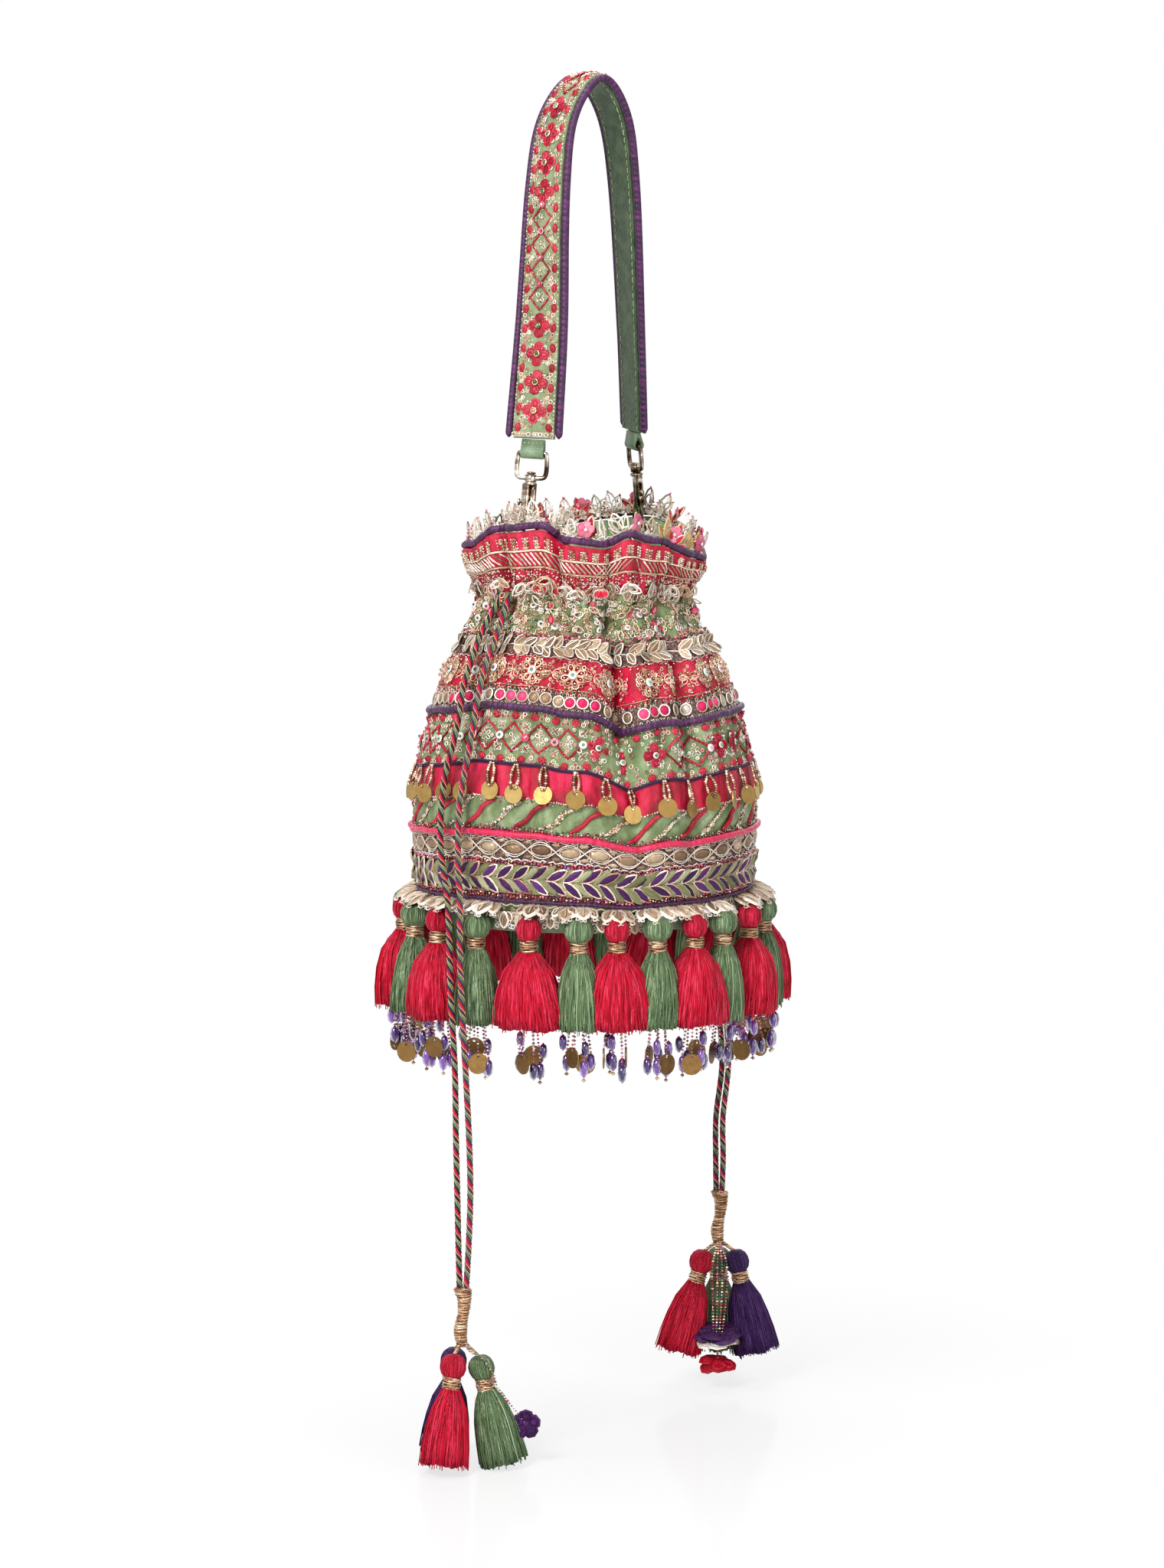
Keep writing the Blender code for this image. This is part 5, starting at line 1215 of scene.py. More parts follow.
def make_fringe():
    """The tassels round the hem, green and crimson in turn."""
    for i, degrees in enumerate(fringe_angles()):
        crimson = i % 2 == 1
        strand, slot = TASSEL_THREADS["red" if crimson else "green"]
        squeeze, wide, deep = FRINGE_SHAPES[crimson]
        pile = Pile()
        thread_ball(pile, squeeze, 0.98)
        wound_wrap(pile)
        lean = (rng.uniform(-0.0022, 0.001), rng.uniform(-0.002, 0.002))
        skirt(pile, wide, 70 if crimson else 54, deep, lean)
        bead_drops(pile)
        turn = Matrix.Rotation(math.radians(degrees), 3, "Z")
        pile.place(polar(FRINGE_RADIUS, degrees, BASE_TOP_Z - 0.0004), turn)
        finishes = strand + " copper_wrap lilac_bead pink_bead gold_bead bronze_metal purple_bead gold_bead"
        pile.piece(f"hem_tassel_{i + 1:02d}", finishes, slot, replaces=(f"fringe_tassel_{i + 1:02d}",))


def cluster_direction(angle):
    """A direction at an angle from the photograph's left."""
    return polar(1.0, CLUSTER_LEFT_DEG + angle, 0.0)


def petal_flower(pile, place, axes, size, petals, petal, middle, centre, tilt=12.0):
    """A crocheted flower: looped petals round a bead."""
    spins = 360.0 * np.arange(petals) / petals
    frames = (np.repeat(place[None], petals, 0), np.repeat(axes[None], petals, 0))
    pile.stamp(plain(PETAL), turned(frames, spins, tilt), size, petal)
    for out, loop in ((0.62, 0.28), (0.84, 0.14), (0.34, 0.14)):
        pile.stamp(RING, moved(turned(frames, spins, tilt, 0.0005), out * size), loop * size, petal)
    pile.stamp(DOME, (place[None], axes[None]), size * centre, middle)


def cluster_place(side, angle, reach, drop):
    """The top of a cluster's tassel under its binding."""
    return binding_place(side) + cluster_direction(angle) * reach - [0, 0, BINDING_LENGTH + drop + CLEARANCE]


def make_clusters():
    """The tassels at the cords' ends, with their wound bindings."""
    for side, tassels in CLUSTER.items():
        for label, (angle, reach, drop, splay) in tassels.items():
            strand, slot = TASSEL_THREADS[label]
            pile = Pile()
            thread_ball(pile, 0.98, 1.0)
            wound_wrap(pile)
            skirt(pile, 0.0122, 80, 1.1)
            outward = Vector(cluster_direction(angle))
            lean = Matrix.Rotation(math.radians(splay), 3, Vector((0, 0, -1)).cross(outward))
            pile.place(cluster_place(side, angle, reach, drop), lean)
            pile.points[0][:, 2] = np.maximum(pile.points[0][:, 2], cad_box[0][2] + 0.0003)
            replaced = (f"{side}_tassel_{label}",)
            pile.piece(f"{side}_cord_tassel_{label}", f"{strand} copper_wrap", slot, replaces=replaced)
        make_binding(side)


def wind(pile, head):
    """Metal thread wound round a core that bows a little and is thick at its top."""
    turns = 34
    share = np.linspace(0, 1, turns * 14)
    angle = math.tau * turns * share
    bulge = 0.7 + 0.34 * np.exp(-((share / 0.12) ** 2)) + 0.07 * np.sin(11 * share)
    bulge = BINDING_RADIUS * (bulge + 0.03 * np.sin(0.37 * angle))
    bow = 0.0008 * np.sin(math.tau * share)
    line = xyz(bulge * np.cos(angle) + bow, bulge * np.sin(angle) - bow, -BINDING_LENGTH * share)
    pile.tubes(line + head, 0.00052 * (1 + 0.15 * np.sin(1.3 * angle)), 4)
    core = [(0, 0.0), (0.004, -0.0004), (0.0026, -0.006), (0.0024, -0.03), (0, -BINDING_LENGTH)]
    points, faces, kinds = lathe(core, 12)
    pile.add(points + head, faces, kinds)


def tassel_loops(pile, side, foot):
    """The short loops that the tassels hang from under the binding."""
    for angle, reach, drop, _ in CLUSTER[side].values():
        place = cluster_place(side, angle, reach, drop)
        middle = 0.5 * (foot + place) + [0, 0, 0.0012]
        path = smooth_line([foot + [0, 0, 0.003], middle, place - [0, 0, 0.0006]], 4)
        pile.tubes(path, 0.001, 6, ref=THREAD_REF)


def far_flowers(pile, tip, left, front, size):
    """The far cord's flowers, seen nearly edge on: a purple one over a silver one, then a crimson one."""
    upward = 0.975 * np.array([0, 0, 1.0]) + 0.22 * front
    flat = np.stack([-left, np.cross(upward, -left), upward])
    petal_flower(pile, tip, flat, size, 7, 4, 1, 0.16, 4.0 + 8.0 * np.sin(np.arange(7) * 2.5))
    under = tip - 0.0022 * upward
    spun = turned((tip[None], flat[None]), 22.0)[1][0]
    tilts = -4.0 + 8.0 * np.sin(np.arange(7) * 2.1)
    petal_flower(pile, under, spun, 0.96 * size, 7, 7, 7, 0.16, tilts)
    pile.stamp(BEAD, upright(tip - [0, 0, 0.007]), 0.0026, 5)
    beads = np.linspace(0.0035, 0.013, 5)[:, None] * [0, 0, -1.0]
    pile.stamp(BEAD, upright(tip + beads), 0.001, 2)
    tilts = -15.0 + 9.0 * np.sin(np.arange(6) * 2.3)
    petal_flower(pile, tip - [0, 0, 0.015], flat, 0.84 * size, 6, 6, 6, 0.22, tilts)
    pile.stamp(BEAD, upright(tip - [0, 0, 0.019]), 0.0018, 5)


def flower_strands(pile, side, foot):
    """The bead strands under the binding and the crocheted flowers at their end."""
    route, size = FLOWERS[side]
    left, front = cluster_direction(0.0), cluster_direction(90.0)
    *route, tip = [foot + left * a + front * b + [0, 0, c] for a, b, c in route]
    hanging = 1 if side == "near" else 4
    for k in range(hanging):
        aside = left * (k - 0.5 * (hanging - 1)) * 0.0026
        points = [foot + [0, 0, 0.004], *(p + aside for p in route), tip + 0.6 * aside]
        path = evenly(smooth_line(points, 8), STRING_BEADS)
        pile.stamp(BEAD, upright(path), rng.choice([0.0007, 0.0011], STRING_BEADS), [1, 2, 3, 1, 8])
    axes = np.stack([-left, np.array([0, 0, 1.0]), front])
    if side == "near":
        petal_flower(pile, tip, axes, size, 5, 4, 4, 0.3)
    else:
        far_flowers(pile, tip, left, front, size)


def make_binding(side):
    """A wound binding with the tassels' loops and the bead strands that end in crocheted flowers."""
    head = binding_place(side)
    foot = head - [0, 0, BINDING_LENGTH]
    pile = Pile()
    wind(pile, head)
    tassel_loops(pile, side, foot)
    flower_strands(pile, side, foot)
    finishes = "copper_wrap gold_bead pink_bead green_bead purple_thread pearl crimson_thread "
    finishes += "silver_thread lilac_bead"
    pile.piece(f"{side}_binding", finishes, "gold_thread", replaces=(f"cord_binding_{side}",))


# Strap

# How far the joint of face and backing lies over the strap's underside, and places along the strap
RISE = 0.5 * CLEARANCE + STRAP_BACKING
ALONG = np.linspace(0, 1, 300)
# The stitches' groove in the leather, and where it runs as a share of the half width
GROOVE = 0.00035
STITCH_ROW = 0.8


def strap_stations():
    """Places along the strap with their directions ahead, across and outward."""
    count = 240
    route = np.array(STRAP_ROUTE) * [STRAP_HALF_SPAN, STRAP_HALF_SPAN, STRAP_DROP + RISE] + [0, 0, RISE]
    line = evenly(smooth_line(route, 24), count)
    ahead = unit(np.gradient(line, axis=0))
    at = np.linspace(0, 1, count)
    twist = np.radians(np.interp(at, np.linspace(0, 1, len(STRAP_TWIST_DEG)), STRAP_TWIST_DEG))
    across = xyz(np.sin(twist), -np.cos(twist), 0.0)
    across = unit(across - ahead * np.sum(across * ahead, axis=1, keepdims=True))
    return line, ahead, across, np.cross(across, ahead)


STATIONS = strap_stations()
STRAP_LENGTH = float(lengths(STATIONS[0])[-1])


def strap_at(along):
    """The stations' values at shares of the strap's length."""
    at = np.clip(np.asarray(along, float), 0, 1) * (len(STATIONS[0]) - 1)
    low = np.minimum(at.astype(int), len(STATIONS[0]) - 2)
    part = (at - low)[..., None]
    return [v[low] * (1 - part) + v[low + 1] * part for v in STATIONS]


def crown(across):
    """The face's height over the strap's middle plane."""
    return STRAP_FACE + 0.0004 * (1 - np.asarray(across) ** 2)


def on_strap(along, across, spin=0.0, lift=0.0):
    """Frames on the strap's face: X across, Y back along the strap, Z outwards."""
    along, across = (v.ravel() for v in matched(along, across))
    place, ahead, side, outward = strap_at(along)
    origins = place + side * (across * STRAP_HALF_WIDTH)[:, None] + outward * crown(across)[:, None]
    return turned((origins, axes_of(side, ahead)), spin, 0.0, lift)


def strap_skin(across, lift, edge):
    """Rows of points across the strap at heights over its joint, with an edge point at each side."""
    place, _, side, outward = strap_at(ALONG)
    lift = np.broadcast_to(lift, (len(ALONG), len(across)))
    lift = np.pad(lift, ((0, 0), (1, 1)), constant_values=edge)
    sideways = side[:, None] * (np.concatenate([[-1], across, [1]]) * STRAP_HALF_WIDTH)[:, None]
    return place[:, None] + sideways + outward[:, None] * lift[..., None]


def make_strap_face():
    """The strap's padded face, closed at both ends."""
    along = ALONG[:, None]
    across = np.linspace(-1, 1, 13)
    ripple = np.sin(along * 230 + 2 * across) * np.sin(3 * across + 31 * along)
    section = strap_skin(across, crown(across) + 0.00025 * ripple, 0.5 * CLEARANCE)
    uv_across = np.concatenate([[-13], across * 11, [13]])
    uv = np.stack(np.broadcast_arrays(uv_across[None], along * STRAP_LENGTH * 1000), axis=-1)
    pile = Pile()
    count, width = section.shape[:2]
    pile.add(section, grid_faces(count, width, closed=True), 0, uv)
    for end, flip in ((0, 1), (-1, -1)):
        k = np.arange(width)
        cap = xyz(k, (k + 1) % width, width)[:, ::flip]
        pile.add(np.vstack([section[end], section[end].mean(axis=0)]), cap)
    piece = pile.piece("strap_cloth", "strap_satin", "shell_satin", replaces=("strap_face",))


def make_strap_leather():
    """The strap's leather backing with its two rows of stitches in their grooves."""
    pile = Pile()
    across = np.linspace(-1, 1, 21)
    groove = GROOVE * np.exp(-(((np.abs(across) - STITCH_ROW) / 0.07) ** 2))
    section = strap_skin(across, groove - RISE, -0.5 * CLEARANCE)
    pile.add(section, grid_faces(*section.shape[:2], closed=True)[:, ::-1])
    stitches = int(STRAP_LENGTH / 0.0042)
    share = (np.arange(stitches) + 0.5) / stitches
    reach = 0.37
    for w in (-STITCH_ROW, STITCH_ROW):
        lines = []
        for part in np.linspace(-reach, reach, 5):
            place, _, side, outward = strap_at(share + part / stitches)
            height = -RISE + 0.0003 - GROOVE * math.cos(part / reach * 1.5)
            lines.append(place + side * (w * STRAP_HALF_WIDTH) + outward * height)
        pile.tubes(np.stack(lines, axis=1), 0.0003, 4, ref=(0.5, 0.8, 0.2), kind=1)
    pile.piece("strap_leather", "leather back_thread", "green_leather", replaces=("strap_backing",))


def make_strap_pipings():
    """The piping along both edges of the strap, thin at its ends."""
    place, _, side, outward = strap_at(ALONG)
    reach = STRAP_HALF_WIDTH + CLEARANCE * 1.5 + STRAP_PIPING
    middle = 0.5 * (STRAP_FACE - STRAP_BACKING)
    radius = np.full(len(ALONG), STRAP_PIPING)
    radius[[0, -1]] = 0.0004
    radius[[1, -2]] = 0.0016
    for name, sign in (("front", 1), ("rear", -1)):
        pile = Pile()
        pile.tubes(place + side * (sign * reach) + outward * middle, radius, 10, ref=outward)
        pile.piece(f"strap_cord_{name}", "purple_cord", "purple_cord", replaces=(f"strap_piping_{name}",))


# Metal and satin trims. A kind is a number into the finishes that the piece names at its end.
BRAID_PITCH = 0.0026


def span(distance, depth):
    """Degrees round the bag for a distance in metres at a depth."""
    return np.degrees(distance / cubic(BODY_PROFILE, depth))


def outward_of(points):
    """Level directions away from the bag's axis."""
    return unit(points * [1, 1, 0])


def around(count, offset=0.0, uneven=0.0):
    """Angles spread round the bag."""
    angles = 360.0 * (np.arange(count) + offset) / count
    return angles + rng.normal(0, uneven, count) if uneven else angles


def traced(degrees, depth, lift=0.0):
    """Lines that lie on the cloth, with the outward direction along them."""
    degrees, depth = matched(degrees, depth)
    origins, axes = on_cloth(degrees, depth)
    outward = axes[:, 2]
    return (origins + outward * lift).reshape(*degrees.shape, 3), outward.reshape(*degrees.shape, 3)


def braid(pile, depth, radius, rise=0.0, waves=0):
    """A thread laid round the bag at a depth, twisted by its swelling, with an optional waved course."""
    way = math.tau * float(cubic(BODY_PROFILE, depth))
    count = int(way / 0.0013)
    share = np.arange(count) / count
    line, outward = traced(360 * share, depth + rise * np.cos(math.tau * waves * share), 0.9 * radius)
    up = np.cross(outward, unit(np.roll(line, -1, axis=0) - np.roll(line, 1, axis=0)))
    turn = (math.tau * round(way / BRAID_PITCH) * share)[:, None]
    line = line + 0.35 * radius * (np.cos(turn) * outward + np.sin(turn) * up)
    pile.tubes(line, radius * (1 + 0.22 * np.sin(2 * turn[:, 0])), 3, ref=outward, closed=True)


def bead_row(pile, depth, pitch, radius, kinds, jitter=0.0, lift=0.0):
    """A row of beads sewn round the bag."""
    count = int(math.tau * float(cubic(BODY_PROFILE, depth)) / pitch)
    angles = around(count) + rng.normal(0, 43.0 / count, count)
    at = depth + rng.normal(0, 1, count) * jitter
    spins = rng.uniform(0, 180, count)
    frames = on_cloth(angles, at, spins, rng.uniform(-60, 60, count), lift + 0.7 * radius)
    pile.stamp(BEAD, frames, radius * rng.uniform(0.85, 1.15, count), kinds)


def petals_of(frames, petals, offset, spin=0.0):
    """Frames for each petal round each flower, their feet set out from the middle."""
    origins, axes = frames
    count = len(origins)
    spins = np.tile(360.0 * np.arange(petals) / petals + spin, count)
    return moved(turned((np.repeat(origins, petals, 0), np.repeat(axes, petals, 0)), spins), offset)


def dress(pile, frames, *rows):
    """Stamps at each frame: a template, its size, kind and lift, then for petals their number,
    their feet's distance from the middle and their turn."""
    for template, size, kind, lift, *petals in rows:
        pile.stamp(template, petals_of(frames, *petals) if petals else frames, size, kind, lift)


def scattered(count, low, high, gap):
    """Angles and depths spread evenly but unevenly between two depths."""
    rows = max(1, round((high - low) / gap))
    per = math.ceil(count / rows)
    k = np.arange(rows * per)
    row = k // per
    angles = 360 * ((k % per) + 0.5 * (row % 2) + rng.uniform(-0.32, 0.32, len(k))) / per
    depths = low + (high - low) * (row + 0.5 + rng.uniform(-0.34, 0.34, len(k))) / rows
    return angles, depths


def strewn(pile, template, count, low, high, gap, size, kinds, lift=0.0005, lean=12.0, bare=1.5):
    """Copies of a template strewn at all angles between two depths, off the patches that stay bare."""
    angles, depths = scattered(count, low, high, gap)
    turn = np.radians(angles)
    kept = np.sin(13 * turn + 240 * depths) * np.sin(7 * turn - 260 * depths + 1) < bare
    angles, depths = angles[kept], depths[kept]
    number = len(angles)
    frames = on_cloth(angles, depths, rng.uniform(0, 360, number), rng.normal(0, lean, number), lift)
    pile.stamp(template, frames, size * rng.uniform(0.8, 1.2, number), kinds)
    return frames


def twisted(pile, line, outward, radius, kind, turns):
    """Two plies laid round lines given with their outward directions."""
    up = np.cross(outward, unit(np.gradient(line, axis=-2)))
    for k in (0, 1):
        turn = (math.tau * turns * np.linspace(0, 1, line.shape[-2]) + k * math.pi)[:, None]
        offset = 0.55 * radius * (np.cos(turn) * outward + np.sin(turn) * up)
        pile.tubes(line + offset, 0.72 * radius, 3, ref=outward, kind=kind)


def rim_columns(pile):
    """Columns of ringed beads with smaller beads at their sides."""
    columns = 66
    angles = around(columns)
    for step in range(4):
        frames = on_cloth(angles + rng.normal(0, 0.12, columns), 0.0031 + 0.00125 * step, 0.0, 0.0, 0.0004)
        dress(pile, frames, (RING, (0.001, 0.00076, 0.00095), 0, 0), (BEAD, 0.0007, [1, 1, 2], 0.0006))
        for side in (-0.0014, 0.0014):
            spots = on_cloth(angles + span(side, 0.0), 0.0028 + 0.0013 * step, 0.0, 0.0, 0.0004)
            pile.stamp(BEAD, spots, 0.0006, [1, 2])


def rim_threads(pile):
    """Slanted metal threads, which lean the other way in one short stretch."""
    threads = 148
    share = np.linspace(0, 1, 7)
    start = around(threads)[:, None]
    slope = np.where(np.mod(start - 222, 360) < 14, -1.0, 1.0)
    line, outward = traced(start + slope * share * 4.6, 0.0087 + 0.0054 * share[None], 0.00042)
    swell = 0.00055 * (1 + 0.2 * np.sin(9.0 * np.arange(7)))
    pile.tubes(line, swell, 3, ref=outward, kind=rng.choice([0, 3, 3], threads))


def rim_scallop(pile):
    """The leaf scallop: three metal leaves in each motif, and crimson petals in every fourth."""
    motifs = 46
    centre = around(motifs, 0.0, 0.6)
    for k, spin in enumerate((-56, 0, 54)):
        spins = 180 + spin + rng.normal(0, 7, motifs)
        feet = 0.0206 + 0.0012 * np.sin(1.7 * np.arange(motifs)) + rng.normal(0, 0.0005, motifs)
        frames = on_cloth(centre + span(0.0008 * (1 - k), 0.022), feet, spins, 10, 0.0009)
        size = 0.0084 * rng.uniform(0.78, 1.14, motifs)
        tone = rng.choice([6, 6, 8], motifs)
        pile.stamp(LEAF if k == 1 else OPEN_LEAF, frames, size, tone)
        pile.stamp(VEIN if k == 1 else OPEN_LEAF, moved(frames, 0.0008), 0.66 * size, tone, 0.0003)
    for spin in (-34, 4, 40):
        frames = on_cloth(centre[::4] + 2.2, 0.0216, 180 + spin, 16, 0.0014)
        pile.stamp(PETAL, frames, 0.0052, 10)


def rim_trim():
    """Below the rim: bead columns, slanted threads between gold lines, beads and a leaf scallop."""
    pile = Pile()
    rim_columns(pile)
    for depth in (0.0079, 0.0148):
        braid(pile, depth, 0.00062)
    rim_threads(pile)
    for depth in (0.0157, 0.0168, 0.0179, 0.019):
        bead_row(pile, depth, 0.0016, 0.00066, [1, 1, 4, 5, 2], 0.0003)
    strewn(pile, CURL, 300, 0.0182, 0.0296, 0.0026, 0.0016, [0, 0, 6], 0.0004)
    strewn(pile, BEAD, 360, 0.0186, 0.0298, 0.0025, 0.0007, [1, 1, 2, 4, 5], 0.0008)
    strewn(pile, LOOP, 120, 0.02, 0.029, 0.004, 0.004, [0, 6], 0.0008)
    rim_scallop(pile)
    bead_row(pile, 0.0207, 0.0028, 0.0008, [1, 4, 5], 0.0006, 0.0006)
    bead_row(pile, 0.0284, 0.004, 0.0008, [1, 4, 5], 0.0014, 0.0006)
    finishes = "gold_thread gold_bead silver_thread silver_thread pink_bead clear_bead silver_thread "
    finishes += "champagne gold_thread old_gold silver_thread crimson_thread"
    pile.piece("rim_trim", finishes, "gold_lace")


def neck_trim():
    """Gold scrolls, leaves, sequins and beads on the drawn green satin, down to the pink bead row."""
    pile = Pile()
    strewn(pile, CURL, 860, 0.0285, 0.0478, 0.0022, 0.0018, [0, 0, 3], bare=0.72)
    strewn(pile, BEAD, 1100, 0.029, 0.048, 0.0021, 0.0008, [1, 1, 1, 3, 2, 4], 0.0007, bare=0.8)
    strewn(pile, OPEN_LEAF, 130, 0.03, 0.0465, 0.0045, 0.0052, [0, 6], 0.0009, 16.0, bare=0.5)
    strewn(pile, PETAL, 34, 0.03, 0.045, 0.006, 0.004, [8], 0.0012, 16.0, bare=0.6)
    sequins = strewn(pile, SEQUIN, 48, 0.0315, 0.0462, 0.007, 0.0019, [5], 0.0016, 10.0)
    pile.stamp(BEAD, sequins, 0.00085, [2, 4, 4], 0.0006)
    bead_row(pile, 0.0482, 0.0019, 0.0009, [2, 2, 2, 1], 0.0005, 0.0004)
    bead_row(pile, 0.0496, 0.003, 0.00085, [2, 2, 4], 0.0005, 0.0004)
    finishes = "gold_thread gold_bead pink_bead silver_thread green_bead pearl silver_thread champagne "
    pile.piece("neck_trim", finishes + "crimson_thread rose_thread", "gold_lace")


def leaf_lace():
    """The metal lace of paired leaves along a stem."""
    pile = Pile()
    pairs, middle = 74, 0.055
    angles = around(pairs)
    sway = 12 * np.sin(math.tau * 15 * angles / 360)
    for spin, size in ((-50, 0.0088), (-130, 0.0086)):
        at = angles + rng.normal(0, 0.25, pairs)
        frames = on_cloth(at, middle + 0.00006 * sway, spin + sway, 8, 0.0006)
        grown = size * rng.uniform(0.92, 1.08, pairs)
        pile.stamp(LEAF, turned(frames, rng.normal(0, 5, pairs)), grown)
        pile.stamp(VEIN, frames, grown)
    braid(pile, middle, 0.00055, rise=0.0007, waves=15)
    for depth in (0.0505, 0.0602):
        braid(pile, depth, 0.0005, rise=0.0005, waves=80)
    bead_row(pile, 0.0511, 0.0024, 0.00075, [2, 2, 3], 0.0004, 0.0003)
    bead_row(pile, 0.0598, 0.0024, 0.00075, [2, 3, 3], 0.0004, 0.0003)
    pile.piece("leaf_lace", "silver_thread champagne gold_bead pink_bead", "gold_lace")


# Where curls stand between two flowers: the turn from straight up, and the distance
FLOWER_CURLS = [
    (0, 0.003), (180, 0.0034), (80, 0.001), (280, 0.001), (0, 0.0062), (180, 0.0066), (50, 0.005),
    (310, 0.005), (130, 0.0052), (230, 0.0052), (20, 0.0046), (200, 0.0048), (270, 0.003), (90, 0.0032),
]


def flower_band():
    """Eight-petalled gold flowers on the crimson band, and the bead rows under them."""
    pile = Pile()
    flowers, middle = 23, 0.0688
    angles = around(flowers, 0.0, 0.8) + 4.0
    depth = middle + rng.normal(0, 0.0005, flowers)
    frames = on_cloth(angles, depth, rng.uniform(0, 45, flowers), 0.0, 0.0009, reach=0.005)
    dress(
        pile, frames,
        (LOOP, 0.006, 0, 0, 8, 0.0017), (LOOP, 0.0042, 0, 0.0005, 8, 0.0022),
        (BEAD, 0.00075, 1, 0.0006, 8, 0.0046), (BEAD, 0.00085, [1, 1, 4], 0.0005, 8, 0.0076),
        (BEAD, 0.0007, [1, 1, 4], 0.0006, 8, 0.0054, 22.5),
        (RING, 0.00095, 0, 0.0002, 8, 0.0072, 22.5), (SEQUIN, 0.0024, 5, 0.0014),
        (BEAD, 0.0011, [3, 3, 4], 0.0022),
    )
    between = on_cloth(angles + 180 / flowers, middle, 0.0, 0.0, 0.0006)
    for spin, offset in FLOWER_CURLS:
        curls = moved(turned(between, spin), offset)
        dress(pile, curls, (CURL, 0.0012, 0, 0), (BEAD, 0.00075, [1, 4], 0.0005))
    for spin in (58, 92, 122, 238, 268, 302):
        spray = moved(turned(between, spin + rng.normal(0, 5, flowers), 4), 0.0009)
        pile.stamp(LOOP, spray, 0.0038 * rng.uniform(0.9, 1.1, flowers))
        pile.stamp(BEAD, moved(spray, 0.004), 0.00078, [1, 1, 4], 0.0004)
    for row_depth in (0.0618, 0.0762):
        bead_row(pile, row_depth, 0.003, 0.00072, [1, 1, 4], 0.0008, 0.0002)
    braid(pile, 0.0771, 0.00048)
    bead_row(pile, 0.0777, 0.0019, 0.0008, [3, 4, 1], 0.0004, 0.0002)
    bead_row(pile, 0.079, 0.002, 0.0008, [3, 3, 4, 4, 1], 0.0004, 0.0002)
    pile.piece("flower_band", "gold_thread gold_bead silver_thread green_bead pink_bead pearl", "gold_lace")


def cell_row():
    """The row of framed oval cells over the swag piping."""
    pile = Pile()
    cells = 78
    frames = on_cloth(around(cells), 0.0834, 0.0, 0.0, 0.0004, reach=WIDE_REACH)
    run = (np.arange(cells) // 3) % 2
    pile.stamp(DOME, frames, (0.0026, 0.0027, 0.0022), np.where(run, 2, rng.choice([3, 4, 0], cells)))
    pile.stamp(ring(0.14, 11), frames, 0.003, 0, 0.0003)
    for depth, spin in ((0.0802, 0.0), (0.0866, 180.0)):
        loops = on_cloth(around(156, 0.5), depth + 0.0003, spin, 8.0, 0.0004)
        pile.stamp(LOOP, loops, 0.0021)
    bead_row(pile, 0.0803, 0.0026, 0.00062, [0, 1], 0.0002)
    bead_row(pile, 0.0872, 0.0022, 0.00062, [0, 1], 0.0002)
    pile.piece("cell_row", "silver_thread gold_bead hot_pink champagne old_gold", "gold_lace")


# Finishes of the embroidered band and of the strap's embroidery, in the same order
EMBROIDERY = (
    "gold_thread gold_bead rosebud_thread pink_bead rosebud_thread silver_thread "
    "clear_bead pearl green_bead"
)


def rosebuds(pile):
    """Satin rosebuds along the band's two edges, with gold rings and beads between them."""
    count = 48
    for n, depth in enumerate((0.094, 0.1156)):
        angles = around(count, 0.5 * n)
        at = depth + rng.normal(0, 0.0003, count)
        frames = on_cloth(angles, at, rng.normal(0, 12, count), 0.0, 0.0002)
        pile.stamp(KNOT, frames, (0.0025, 0.0021, 0.0027), 2)
        for off, rise in ((-0.0015, 0.0007), (0.0015, 0.0006), (0.0, -0.001)):
            at = angles + 180 / count + span(off, depth)
            spots = on_cloth(at, depth + rise, rng.uniform(0, 360, count), 0.0, 0.0003)
            dress(pile, spots, (RING, 0.0011, [0, 5, 5], 0), (BEAD, 0.00065, [1, 3], 0.0004))


# Angles of the band's cells that hold a flower in place of the lattice
FLOWER_CELLS = [217.5, 227.5, 237.5, 267.5, 277.5, 27.5, 37.5, 97.5, 107.5, 117.5, 317.5, 327.5]


